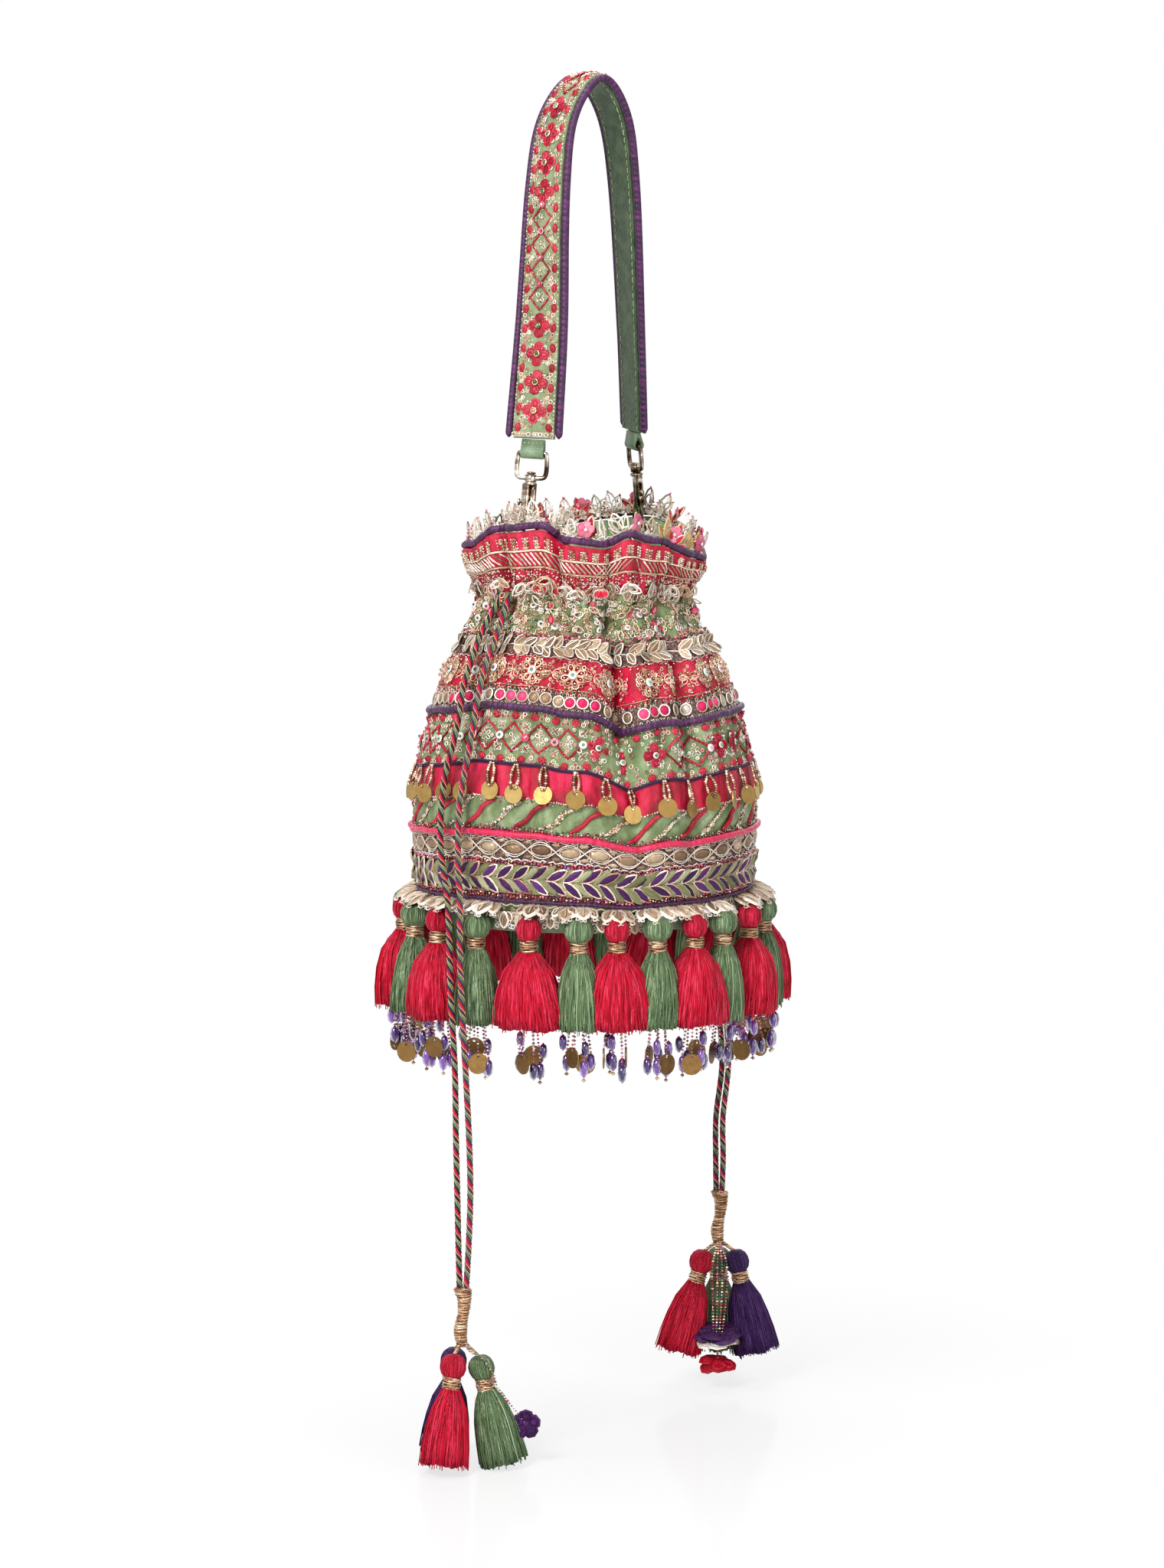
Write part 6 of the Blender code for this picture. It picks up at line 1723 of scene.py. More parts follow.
def embroidered_band():
    """The sage band: rosebud edges round a lattice of crimson cord and four-petalled flowers."""
    pile = Pile()
    middle, half = 0.1047, 0.0074
    rosebuds(pile)
    cells = 36
    half_cell = 180 / cells
    centre = around(cells) + 7.5
    flower = np.isin(centre, FLOWER_CELLS)
    diamonds = centre[~flower]
    share = np.linspace(-1, 1, 11)
    for sign in (-1, 1):
        course = middle + sign * half * (1 - np.abs(share))[None]
        line, outward = traced(diamonds[:, None] + half_cell * share, course, 0.0007)
        twisted(pile, line, outward, 0.00075, 4, 4.5)
    spots = on_cloth(diamonds, middle, 0.0, 0.0, 0.0004, reach=WIDE_REACH)
    dress(
        pile, spots,
        (LOOP, 0.0026, 5, 0, 4, 0.0004, 45.0), (BEAD, 0.0009, [1, 6], 0.0006),
        (RING, 0.0009, 5, 0, 4, 0.0036), (BEAD, 0.0007, [1, 6, 3], 0.0003, 4, 0.0036),
    )
    sides = on_cloth(diamonds + half_cell, middle, 0.0, 0.0, 0.0012, reach=WIDE_REACH)
    dress(pile, sides, (SEQUIN, 0.0022, [7, 3], 0.0003), (BEAD, 0.001, [3, 8], 0.001))
    for off in (-0.0056, 0.0056):
        knots = on_cloth(diamonds + half_cell, middle + off, 0.0, 0.0, 0.0004)
        dress(pile, knots, (LOOP, 0.0024, 5, 0, 4, 0.0003, 45.0), (BEAD, 0.0009, 3, 0.0006))
    spins = rng.uniform(-12, 12, int(flower.sum()))
    blooms = on_cloth(centre[flower], middle, spins, 0.0, 0.0003, reach=WIDE_REACH)
    dress(
        pile, blooms,
        (plain(PETAL), 0.0052, 4, 0, 4, 0.0011),
        (RING, (0.0013, 0.0018, 0.0013), 2, 0.0006, 4, 0.0041),
        (DOME, (0.0009, 0.0013, 0.0014), 2, 0.0004, 4, 0.0041),
        (SEQUIN, 0.0017, 7, 0.0016), (BEAD, 0.0011, 8, 0.0022), (LOOP, 0.0034, 5, 0, 4, 0.0034, 45.0),
        (BEAD, 0.0009, 6, 0.0005, 4, 0.0064, 45.0),
    )
    for low, high in ((0.0962, 0.0994), (0.11, 0.1134)):
        strewn(pile, CURL, 120, low, high, 0.003, 0.0011, [0, 5], 0.0002, 0.0)
        strewn(pile, BEAD, 110, low, high, 0.003, 0.0007, [1, 3, 6], 0.0004)
    strewn(pile, RING, 230, 0.098, 0.1115, 0.0034, 0.0011, [0, 5], 0.0003, 0.0)
    for depth in (0.0918, 0.1174):
        bead_row(pile, depth, 0.0019, 0.00058, [1, 6, 5], 0.0003)
    pile.piece("embroidered_band", EMBROIDERY, "gold_thread")


def coin_fringe():
    """The thin edging cord with doubled bead strings that each hold a metal disc."""
    pile = Pile()
    for drop, lift, radius in ((0.0, 0.0008, 0.0006), (0.0009, 0.0006, 0.0004)):
        line, outward = corded_line(EDGING_DEPTH + drop, lift)
        pile.tubes(line, radius, 6, ref=outward, closed=True)
    coins, beads = 36, 10
    angles = around(coins, 0.0, 0.5)
    reach = 0.0108 + rng.uniform(-0.0008, 0.0012, coins)
    share = np.linspace(0, 1, beads)
    for side in (-1, 1):
        sway = side * (0.0006 + 0.001 * np.sin(math.pi * share))
        degrees = angles[:, None] + span(sway[None] * rng.uniform(0.7, 1.6, (coins, 1)), 0.125)
        depth = EDGING_DEPTH + 0.0008 + reach[:, None] * share[None]
        lift = (0.0012 + 0.0018 * np.sin(0.5 * math.pi * share)[None] + 0 * depth).ravel()
        frames = on_cloth(degrees.ravel(), depth.ravel(), rng.uniform(0, 90, coins * beads), 0.0, lift)
        pile.stamp(BEAD, frames, 0.00116 * rng.uniform(0.85, 1.15, coins * beads), 1)
    origins, axes = on_cloth(angles, EDGING_DEPTH + 0.0034 + reach, 0.0, 0.0, 0.0026, reach=WIDE_REACH)
    swing = np.radians(rng.normal(0, 22, coins))[:, None]
    x = np.cos(swing) * axes[:, 0] + np.sin(swing) * axes[:, 2]
    z = np.cos(swing) * axes[:, 2] - np.sin(swing) * axes[:, 0]
    origins = origins + outward_of(origins) * np.abs(np.sin(swing)) * 0.0042
    swung = (origins, np.stack([x, axes[:, 1], z], axis=1))
    tipped = turned(swung, rng.normal(0, 10, coins), rng.normal(-4, 6, coins))
    pile.stamp(COIN, tipped, 0.0051, 2)
    pile.stamp(BEAD, moved(tipped, 0.0038), 0.0009, 1, 0.0006)
    pile.piece("coin_drops", "dark_thread bronze_bead coin_metal", "coin_metal", replaces=("coin_fringe",))


def slanted_band():
    """The bead line, then slanted crimson cords and bead cords on puckered green satin."""
    pile = Pile()
    bead_row(pile, 0.1345, 0.0013, 0.00066, [1, 2, 2], 0.0002)
    bead_row(pile, 0.1357, 0.0036, 0.0007, [1, 3], 0.0004)
    cords, steps = SLANT_CORDS, 14
    share = np.linspace(0, 1, steps)
    ease = share + 0.09 * np.sin(math.tau * share)
    depth = SLANT_TOP + SLANT_HEIGHT * share[None]
    start = around(cords)[:, None] + span(SLANT_REACH * (1 - ease), 0.142)[None]
    line, outward = traced(start, depth, 0.0008)
    taper = 0.0013 * (0.45 + 0.55 * np.minimum(1, 5 * np.minimum(share, 1 - share) + 0.25))
    pile.tubes(line, taper, 7, ref=outward)
    twisted(pile, line, outward, 0.0013, 0, 6.5)
    steps = 19
    share = np.linspace(0, 1, steps)
    ease = share + 0.09 * np.sin(math.tau * share)
    for row in (-1.0, 0.0, 1.0):
        degrees = around(cords, 0.5)[:, None] + span(SLANT_REACH * (1 - ease) + 0.001 * row, 0.142)[None]
        degrees = (degrees + rng.normal(0, 0.12, (cords, steps))).ravel()
        depth = (SLANT_TOP + SLANT_HEIGHT * share[None] + rng.normal(0, 0.0002, (cords, steps))).ravel()
        lift = 0.0007 + 0.0006 * (row == 0)
        frames = on_cloth(degrees, depth, rng.uniform(0, 90, cords * steps), 0.0, lift)
        pile.stamp(BEAD, frames, 0.0008 * rng.uniform(0.8, 1.2, cords * steps), [1, 2, 2, 6])
    bead_row(pile, 0.1487, 0.0017, 0.00074, [4, 3, 4, 1], 0.0004, 0.0002)
    bead_row(pile, 0.1499, 0.0017, 0.00074, [3, 4, 5, 1], 0.0004, 0.0002)
    finishes = "rosebud_thread gold_bead silver_thread pink_bead green_bead purple_bead gold_thread"
    pile.piece("slanted_band", finishes, "gold_thread")


def eye_lace():
    """The waved metal lace with a satin pad in each eye."""
    pile = Pile()
    middle, half, eyes = 0.1588, 0.004, 38
    share = np.arange(456) / 456
    for scale, radius in ((1.0, 0.00036), (0.72, 0.00026)):
        for sign in (-1, 1):
            course = middle + sign * half * scale * np.cos(0.5 * math.tau * eyes * share)
            line, outward = traced(360 * share, course, 0.001)
            pile.tubes(line, radius, 3, ref=outward, closed=True)
    pads = on_cloth(around(eyes), middle, 0.0, 0.0, 0.0002, reach=WIDE_REACH)
    pile.stamp(DOME, pads, (0.0052, 0.0028, 0.0024), 1)
    pile.stamp(ring(0.045, 12, stretch=0.56), pads, 0.0055, 2, 0.0003)
    for depth in (0.154, 0.1643):
        braid(pile, depth, 0.00052, rise=0.0005, waves=120)
    for sign in (-1, 1):
        spots = on_cloth(around(eyes, 0.5), middle + sign * 0.0036, 0.0, 0.0, 0.0005)
        pile.stamp(DOME, spots, (0.0024, 0.0011, 0.0012), 1)
    for low, high in ((0.1546, 0.1562), (0.1614, 0.1632)):
        strewn(pile, RING, 210, low, high, 0.0018, 0.00085, [0, 2, 3], 0.0001, 0.0)
    pile.piece("eye_lace", "silver_thread champagne gold_thread purple_thread", "gold_lace")


def leaf_band():
    """Satin-stitched leaves in a herringbone of sage and purple, outlined in gold, between bead rows."""
    pile = Pile()
    for depth in (0.1652, 0.1663, 0.1816, 0.1827):
        bead_row(pile, depth, 0.0018, 0.0009, [4, 6, 6, 5, 4, 3], 0.0003)
    leaves = 124
    colour = np.arange(leaves) % 2
    outlined = leaf(0.3, 0.044, 10, tip=0.55, foot=0.45, dish=0.13)
    bare = leaf(0.3, 0.03, 8, tip=0.45, foot=0.35, dish=0.17)
    for spin in (-55, -125):
        for tone, template, kind in ((0, plain(bare), 1), (1, outlined, 0)):
            angles = around(leaves)[colour == tone]
            number = len(angles)
            angles = angles + rng.normal(0, 0.15, number)
            frames = on_cloth(angles, 0.17365, spin + rng.normal(0, 2, number), 4, 0.0004 + 0.0003 * tone)
            shape = np.where(template[2] == 1, 2, kind)
            pile.stamp((template[0], template[1], shape), frames, 0.0126)
    braid(pile, 0.1737, 0.0005)
    for depth in (0.1671, 0.1806):
        braid(pile, depth, 0.0004)
    finishes = "gold_thread sage_thread purple_thread gold_bead crimson_bead purple_bead pink_bead"
    pile.piece("leaf_band", finishes, "gold_thread")


# The radius at which the hem's lace hangs
HEM_LACE_LINE = HEM_LACE_RADIUS + 0.0004


def hem_top(degrees):
    """The height that the hem's lace hangs from."""
    return RIM_Z - HEM_DEPTH - 0.002 + eased(BAND_WAVE, degrees) * 0.25


def hanging_frames(degrees, drop, spin, tilt, out=0.0, aim=0.0):
    """Upright frames below the hem, turned aside by an aim in degrees."""
    degrees, drop = matched(degrees, drop)
    turn = np.radians(degrees + aim)
    axes = axes_of(xyz(-np.sin(turn), np.cos(turn), 0.0), xyz(0.0, 0.0, 1.0 + 0 * turn))
    return turned((polar(HEM_LACE_LINE + out, degrees, hem_top(degrees) - drop), axes), spin, tilt)


def hem_leaves(pile, angles):
    """Three leaves in each motif of the hem's lace, hanging free or draped over a tassel's ball."""
    motifs = len(angles)
    balls = np.array(fringe_angles())
    over_ball = np.abs((angles[:, None] - balls + 180) % 360 - 180).min(axis=1) < 4.4
    clusters = ((-0.9, 142, 0.0056), (0.9, 218, 0.0056), (0.0, 180, 0.0078))
    for k, (off, spin, size) in enumerate(clusters):
        grown = rng.uniform(0.9, 1.1, motifs)
        free, laid = angles[~over_ball] + off, angles[over_ball] + off
        spins = spin + rng.normal(0, 7, len(free))
        frames = hanging_frames(free, 0.0042, spins, rng.normal(12, 7, len(free)), 0.0008 + 0.0003 * k)
        hung = size * grown[~over_ball]
        dress(pile, frames, (CURLED_LEAF, hung, 0, 0), (VEIN, hung, 2, 0.0004))
        for side in (-28, 28):
            tips = moved(turned(frames, side if k == 2 else 0.6 * side), 0.98 * hung)
            pile.stamp(RING, tips, 0.0011)
        long = (0.0122 if k == 2 else 0.0112) * grown[over_ball]
        tilts = rng.normal(91, 2, len(laid))
        frames = hanging_frames(laid, 0.0006, 180, tilts, 0.0003 * k, 0.8 * (spin - 180))
        dress(pile, frames, (DRAPED_LEAF, long, 0, 0), (DRAPED_VEIN, long, 2, 0.0004))
        out, back = np.sin(DRAPE_BEND) / DRAPE_BEND, (np.cos(DRAPE_BEND) - 1) / DRAPE_BEND
        tip = turned(moved(frames, out * long), lift=back * long)
        for side in (-50, 50):
            pile.stamp(RING, moved(turned(tip, side, -40), 0.001), 0.0012)


def hem_lace():
    """The looped metal lace that hangs from the hem over the base's side."""
    pile = Pile()
    motifs = 66
    angles = around(motifs)
    hem_leaves(pile, angles)
    for off, spin in ((-2.3, 170), (2.3, 190)):
        spins = spin + rng.normal(0, 10, motifs)
        frames = hanging_frames(angles + off, 0.004, spins, rng.normal(4, 8, motifs), 0.0006)
        pile.stamp(LOOP, frames, 0.0044)
    rows = 112
    for drop, spin in ((0.0, 180), (0.0024, 172)):
        spins = spin + rng.normal(0, 10, rows)
        frames = hanging_frames(around(rows) + drop * 900, drop, spins, rng.normal(0, 6, rows), 0.0004)
        pile.stamp(LOOP, frames, 0.0036, [0, 1])
    share = np.arange(372) / 372
    for drop, waves in ((0.0004, 93), (0.0048, 62)):
        height = hem_top(360 * share) - drop - 0.0006 * np.cos(math.tau * waves * share)
        line = polar(HEM_LACE_LINE + 0.0006, 360 * share, height)
        pile.tubes(line, 0.0005, 3, closed=True)
    pile.piece("hem_trim", "silver_thread champagne gold_thread", "gold_lace", replaces=("hem_lace",))


def standing_frames(degrees, height, spin, tilt, inset=0.0045):
    """Frames above the rim inside its cloth, leaning out a little."""
    degrees, height = matched(degrees, height)
    origins = cloth(degrees, 0.0) + xyz(0.0, 0.0, 0.0038 + height)
    outward = outward_of(origins)
    origins = origins + outward * (0.2 * height - inset)[:, None]
    right = cloth(degrees + 1.5, 0.0) - cloth(degrees - 1.5, 0.0)
    return turned((origins, axes_of(right, 0.2 * outward + [0, 0, 1])), spin, tilt)


def mouth_sprays(pile):
    """Sprays of five leaves round the mouth: silver, crimson edged in gold, and beige at the right."""
    motifs = 42
    centre = around(motifs, 0.0, 0.5)
    beige = (np.mod(centre - 240, 360) < 62) & (np.arange(motifs) % 2 == 0)
    crimson = (np.arange(motifs) % 3 == 1) & (np.mod(centre - 205, 360) < 230) & ~beige
    sprays = [
        (-66, -0.001, 0.0066), (-36, 0.0004, 0.0084), (-4, 0.0012, 0.0104), (30, 0.0006, 0.0088),
        (62, -0.0008, 0.0068),
    ]
    for chosen, template, kind in ((~(beige | crimson), LEAF, 0), (crimson, SLIM_LEAF, 4), (beige, LEAF, 6)):
        number = int(chosen.sum())
        for spin, foot, size in sprays:
            template = OPEN_LEAF if kind == 0 and rng.uniform() < 0.7 else template
            spins = spin + rng.normal(0, 8, number)
            frames = standing_frames(centre[chosen], foot, spins, rng.normal(-4, 12, number))
            grown = size * rng.uniform(0.85, 1.12, number)
            pile.stamp(template, frames, grown, kind)
            if kind == 0:
                pile.stamp(VEIN, frames, grown)
                tones = rng.choice([2, 3, 8], number)
                pile.stamp(BEAD, moved(frames, 1.05 * grown), 0.0009 * rng.uniform(0.8, 1.1, number), tones)


def mouth_fillers(pile):
    """Rose flowers, single leaves, curls and beads between the sprays."""
    angles = around(14, 0.3)
    angles = angles[np.mod(angles - 205, 360) < 215]
    blooms = standing_frames(angles, 0.0055, rng.uniform(0, 70, len(angles)), 0.0, 0.003)
    dress(pile, blooms, (plain(PETAL), 0.004, 10, 0, 5, 0.0006), (BEAD, 0.0012, 3, 0.0012))
    fillers = 110
    spins = rng.normal(0, 40, fillers)
    frames = standing_frames(around(fillers), -0.0016, spins, rng.normal(4, 14, fillers), 0.0052)
    pile.stamp(LEAF, frames, 0.0056 * rng.uniform(0.8, 1.2, fillers))
    spins = rng.normal(0, 60, fillers)
    frames = standing_frames(around(fillers, 0.4), 0.0, spins, rng.normal(8, 20, fillers), 0.0036)
    pile.stamp(CURL, frames, 0.0016 * rng.uniform(0.8, 1.3, fillers))
    beads = 260
    heights = rng.uniform(-0.001, 0.006, beads)
    frames = standing_frames(rng.uniform(0, 360, beads), heights, 0.0, 0.0, 0.0036)
    pile.stamp(BEAD, frames, 0.0008 * rng.uniform(0.8, 1.2, beads), [2, 3, 3, 8, 9])


def mouth_lace():
    """The stiff metal lace that stands up inside the rim, over two threads along its foot."""
    pile = Pile()
    mouth_sprays(pile)
    mouth_fillers(pile)
    share = np.arange(300) / 300
    for rise in (-0.0012, 0.0006):
        height = 0.004 + rise + 0.0004 * np.sin(75 * math.tau * share)
        line = cloth(360 * share, 0.0, inward=0.0046) + xyz(0.0, 0.0, height)
        pile.tubes(line, 0.0005, 3, closed=True)
    finishes = "silver_thread silver_thread gold_bead clear_bead gold_thread crimson_thread beige_thread "
    finishes += "beige_thread pink_bead green_bead rose_thread"
    pile.piece("mouth_trim", finishes, "gold_lace", replaces=("mouth_lace",))


# Along the strap: the steps between flowers and between cells of the lattice, and how many follow in a run
STRAP_FLOWER_PITCH = 0.015
STRAP_CELL_PITCH = 0.0138
STRAP_RUN = 4


def strap_embroidery():
    """Rosebud edges, flowers and a lattice along the strap's face."""
    pile = Pile()
    rows = int(STRAP_LENGTH / 0.0104)
    along = (np.arange(rows) + 0.5) / rows
    for w in (-0.76, 0.76):
        frames = on_strap(along, w, rng.normal(90, 12, rows), 0.0001)
        pile.stamp(KNOT, frames, (0.0025, 0.0018, 0.0019), 2)
        for off, aside in ((-0.0018, 0.03), (0.0018, -0.03), (0.0, -0.15 * np.sign(w))):
            at = along + (0.0052 + off) / STRAP_LENGTH
            spots = on_strap(at, w + aside, rng.uniform(0, 360, rows), 0.0003)
            dress(pile, spots, (RING, 0.00095, [0, 5], 0), (BEAD, 0.00062, [1, 3], 0.0004))
    motifs = ((strap_flower, STRAP_FLOWER_PITCH), (strap_cell, STRAP_CELL_PITCH))
    at, run = 0.014, 0
    while at < STRAP_LENGTH - 0.012:
        motif, pitch = motifs[run % 2]
        for _ in range(STRAP_RUN):
            if at < STRAP_LENGTH - 0.01:
                motif(pile, at)
            at += pitch
        run += 1
    specks = 330
    spots = on_strap(rng.uniform(0.01, 0.99, specks), rng.uniform(-0.62, 0.62, specks), 0.0, 0.0003)
    pile.stamp(BEAD, spots, 0.00066, [1, 3, 6, 1])
    curls = 210
    along = rng.uniform(0.01, 0.99, curls)
    aside = rng.choice([-1, 1], curls) * rng.uniform(0.4, 0.66, curls)
    spots = on_strap(along, aside, 0.0, 0.0002)
    pile.stamp(CURL, turned(spots, rng.uniform(0, 360, curls)), 0.0012, [0, 5])
    dots = int(STRAP_LENGTH / 0.002)
    for w in (-0.96, 0.96):
        frames = on_strap(np.linspace(0, 1, dots), w, 0.0, 0.0002)
        pile.stamp(BEAD, frames, 0.0006, [5, 1, 5])
    for end in (0.004, 0.996):
        across = np.linspace(-0.94, 0.94, 14)
        frames = on_strap(end, across, rng.uniform(0, 360, 14), 0.0003)
        dress(pile, frames, (RING, 0.001, 5, 0), (BEAD, 0.0006, 1, 0.0003))
    pile.piece("strap_embroidery", EMBROIDERY, "gold_thread")


def strap_flower(pile, at):
    """A four-petalled satin flower on the strap with gold loops between its petals."""
    place = on_strap(at / STRAP_LENGTH, 0.0, rng.uniform(-10, 10), 0.0002)
    dress(
        pile, place,
        (plain(PETAL), 0.0053, 4, 0, 4, 0.001),
        (RING, (0.0012, 0.0016, 0.0013), 2, 0.0006, 4, 0.0038),
        (RING, 0.0015, 1, 0.0014), (BEAD, 0.0012, [1, 8], 0.0018),
        (LOOP, 0.0034, 5, 0, 4, 0.0028, 45.0), (BEAD, 0.0008, 6, 0.0004, 4, 0.006, 45.0),
    )


def strap_cell(pile, at):
    """One diamond of the strap's crimson lattice, with loops and beads in and beside it."""
    share = np.linspace(-1, 1, 9)
    for sign in (-1, 1):
        place, _, side, outward = strap_at((at + 0.5 * STRAP_CELL_PITCH * share) / STRAP_LENGTH)
        w = sign * 0.55 * (1 - np.abs(share))
        line = place + side * (w * STRAP_HALF_WIDTH)[:, None] + outward * (crown(w) + 0.0006)[:, None]
        twisted(pile, line, outward, 0.0007, 4, 4.0)
    middle = on_strap(at / STRAP_LENGTH, 0.0, 0.0, 0.0003)
    dress(pile, middle, (LOOP, 0.0026, 5, 0, 4, 0.0004, 45.0), (BEAD, 0.001, 1, 0.0006))
    end = (at + 0.5 * STRAP_CELL_PITCH) / STRAP_LENGTH
    dress(pile, on_strap(end, 0.0, 0.0, 0.001), (RING, 0.0014, 3, 0), (BEAD, 0.001, [3, 6], 0.0006))
    for w in (-0.42, 0.42):
        knots = on_strap(end, w, 0.0, 0.0003)
        dress(pile, knots, (LOOP, 0.0022, 5, 0, 3, 0.0003), (BEAD, 0.0008, [1, 6], 0.0005))


# Metal rings, hooks and bolts

# The hook's sizes along its own axis, repeated from the part's source
RING_INSET = 0.0091429
TAB_DROP, TAB_WIDTH, TAB_THICKNESS = 0.007, 0.0122, 0.0013
EYE_WIRE, EYE_HEIGHT, EYE_HALF_WIDTH = 0.00125, 0.013, 0.008
BOSS_RADIUS, BOSS_HEIGHT, BOSS_BELOW_BAR = 0.0031, 0.0038, 0.0022
STEM_RADIUS, STEM_HEAD_RADIUS, STEM_HEAD_HEIGHT = 0.00135, 0.0024, 0.0012
COLLAR_RADIUS, COLLAR_HEIGHT = 0.0034, 0.0018
BARREL_RADIUS, BARREL_LENGTH, BARREL_OFFSET = 0.0023, 0.0165, 0.002
BORE_RADIUS, BORE_ROOF = 0.0015, 0.001
BOLT_RADIUS, BOLT_REACH, BOLT_TRAVEL = 0.0012, 0.0075, 0.004
THUMB_NECK_HEIGHT, THUMB_NECK_WIDTH = 0.0022, 0.0013
SPRING_LENGTH = 0.0059
ARM_RADIUS, ARM_OFFSET, ARM_BULGE, ARM_DROP, ARM_LOW_X = 0.0016, 0.0019, 0.0059, 0.0129, -0.0017
RING_WIRE, RING_HALF_WIDTH, RING_HEIGHT, RING_TURN_DEG = 0.001, 0.005, 0.01, 75.0
BODY_LENGTH = CLEARANCE + COLLAR_HEIGHT + BARREL_LENGTH
HOOK_REACH = TAB_DROP + 2 * CLEARANCE + EYE_HEIGHT + BOSS_BELOW_BAR + BODY_LENGTH + ARM_DROP
HOOK_LEAN = math.asin((RIM_RADIUS - RING_INSET - STRAP_HALF_SPAN) / HOOK_REACH)
BOSS_LOW = -(EYE_HEIGHT + BOSS_BELOW_BAR)
BOSS_HIGH = BOSS_LOW + BOSS_HEIGHT
COLLAR_TOP = BOSS_LOW - CLEARANCE
COLLAR_LOW = COLLAR_TOP - COLLAR_HEIGHT
BARREL_LOW = COLLAR_LOW - BARREL_LENGTH
BORE_TOP = COLLAR_LOW - BORE_ROOF
BOLT_TOP = BORE_TOP - SPRING_LENGTH - 2 * CLEARANCE
BOLT_LOW = BARREL_LOW - BOLT_REACH
ARM_TIP = BOLT_LOW - CLEARANCE


def hook_axes(side):
    """Origin at an eye's top bar, and axes: Z up the hook, X towards its thumb knob."""
    sign = -1 if side == "near" else 1
    up = np.array([-sign * math.sin(HOOK_LEAN), 0.0, math.cos(HOOK_LEAN)])
    twist = math.radians(STRAP_TWIST_DEG[0] if side == "near" else STRAP_TWIST_DEG[-1])
    across = sign * np.array([math.sin(twist), -math.cos(twist), 0.0])
    knob = unit(across - up * (across @ up))
    bar = np.array([sign * STRAP_HALF_SPAN, 0.0, -STRAP_DROP]) - up * (TAB_DROP + 2 * CLEARANCE)
    return bar, np.array([knob, np.cross(up, knob), up])


def ring_axes(side):
    """Origin at a ring's top wire, and axes: X across the ring, Z up."""
    bar, axes = hook_axes(side)
    turn = math.radians(RING_TURN_DEG if side == "far" else -RING_TURN_DEG)
    knob = unit(axes[0] * [1, 1, 0])
    up = np.array([0.0, 0.0, 1.0])
    across = np.cos(turn) * knob + np.sin(turn) * np.cross(up, knob)
    low = ARM_RADIUS + 2 * CLEARANCE + RING_WIRE - (EYE_HEIGHT + BOSS_BELOW_BAR + BODY_LENGTH + ARM_DROP)
    return bar + axes[0] * ARM_LOW_X + axes[2] * low, np.array([across, np.cross(up, across), up])


def set_on(pile, frame):
    """Everything gathered in a pile, moved from its own axes to a frame."""
    pile.place(frame[0], frame[1].T)


def wire(pile, route, radius, sides=10, closed=True):
    """A round wire through points in the plane of X and Z; a closed one mirrors its route across X."""
    if closed:
        route = route + [(-x, z) for x, z in reversed(route[1:-1])]
    line = smooth_line([(x, 0.0, z) for x, z in route], 5, closed=closed)
    pile.tubes(line, radius, sides, ref=(0, 1, 0), closed=closed)


def add_lathe(pile, profile, sides, x=0.0):
    """A turned part on an axis at X."""
    points, faces, _ = lathe(profile, sides)
    pile.add(points + [x, 0.0, 0.0], faces)


def make_tab(side, frame):
    """The leather loop that holds an eye under the strap's end, with a row of stitches."""
    inner, outer = EYE_WIRE + 2 * CLEARANCE, EYE_WIRE + 2 * CLEARANCE + TAB_THICKNESS
    turn = np.radians(np.linspace(30.0, -210.0, 25))
    skin = [(1.1 * TAB_THICKNESS, TAB_DROP), *zip(outer * np.cos(turn), outer * np.sin(turn))]
    skin.append((-1.1 * TAB_THICKNESS, TAB_DROP))
    core_top = TAB_DROP - 2.0 * TAB_THICKNESS
    core = [(0.2 * TAB_THICKNESS, core_top), *zip(inner * np.cos(turn), inner * np.sin(turn))]
    core.append((-0.2 * TAB_THICKNESS, core_top))
    half, soft = 0.5 * TAB_WIDTH, 0.0003
    rows = []
    for (y0, z0), (y1, z1) in zip(skin, core):
        inset = unit(np.array([y1 - y0, z1 - z0])) * soft
        edge = [(-half, y0 + inset[0], z0 + inset[1]), (soft - half, y0, z0), (half - soft, y0, z0)]
        rows.append(edge + [(half, y0 + inset[0], z0 + inset[1]), (half, y1, z1), (-half, y1, z1)])
    pile = Pile()
    pile.add(np.array(rows), grid_faces(len(rows), 6, closed=True, ring=True))
    for front in (-1, 1):
        for x in np.linspace(-0.36, 0.36, 5) * TAB_WIDTH:
            y, z = front * 1.18 * TAB_THICKNESS, core_top + 0.0006
            path = [(x - 0.0007, y, z), (x, y + front * 0.0004, z), (x + 0.0007, y, z)]
            pile.tubes(path, 0.00022, 4, kind=1)
    set_on(pile, frame)
    pile.piece(f"tab_{side}", "tab_leather cream_thread", "green_leather", "bag", (f"strap_tab_{side}",))


def make_eye(side, frame):
    """The wire eye in the tab, with the drilled boss that the hook swivels in."""
    low = -EYE_HEIGHT
    route = [
        (0.0, 0.0), (0.5 * TAB_WIDTH, 0.0), (0.93 * EYE_HALF_WIDTH, 0.1 * low),
        (EYE_HALF_WIDTH, 0.45 * low), (0.97 * EYE_HALF_WIDTH, 0.85 * low), (0.75 * EYE_HALF_WIDTH, low),
        (0.0, low),
    ]
    pile = Pile()
    wire(pile, route, EYE_WIRE)
    soft, bore = 0.0004, STEM_RADIUS + CLEARANCE
    profile = [(bore, BOSS_HIGH), (BOSS_RADIUS - soft, BOSS_HIGH), (BOSS_RADIUS, BOSS_HIGH - soft)]
    profile += [(BOSS_RADIUS, BOSS_LOW + soft), (BOSS_RADIUS - soft, BOSS_LOW), (bore, BOSS_LOW), profile[0]]
    add_lathe(pile, profile, 20)
    set_on(pile, frame)
    pile.piece(f"eye_{side}", "pale_gold_painted_reflections", "pale_gold_metal", "bag", (f"swivel_eye_{side}",))


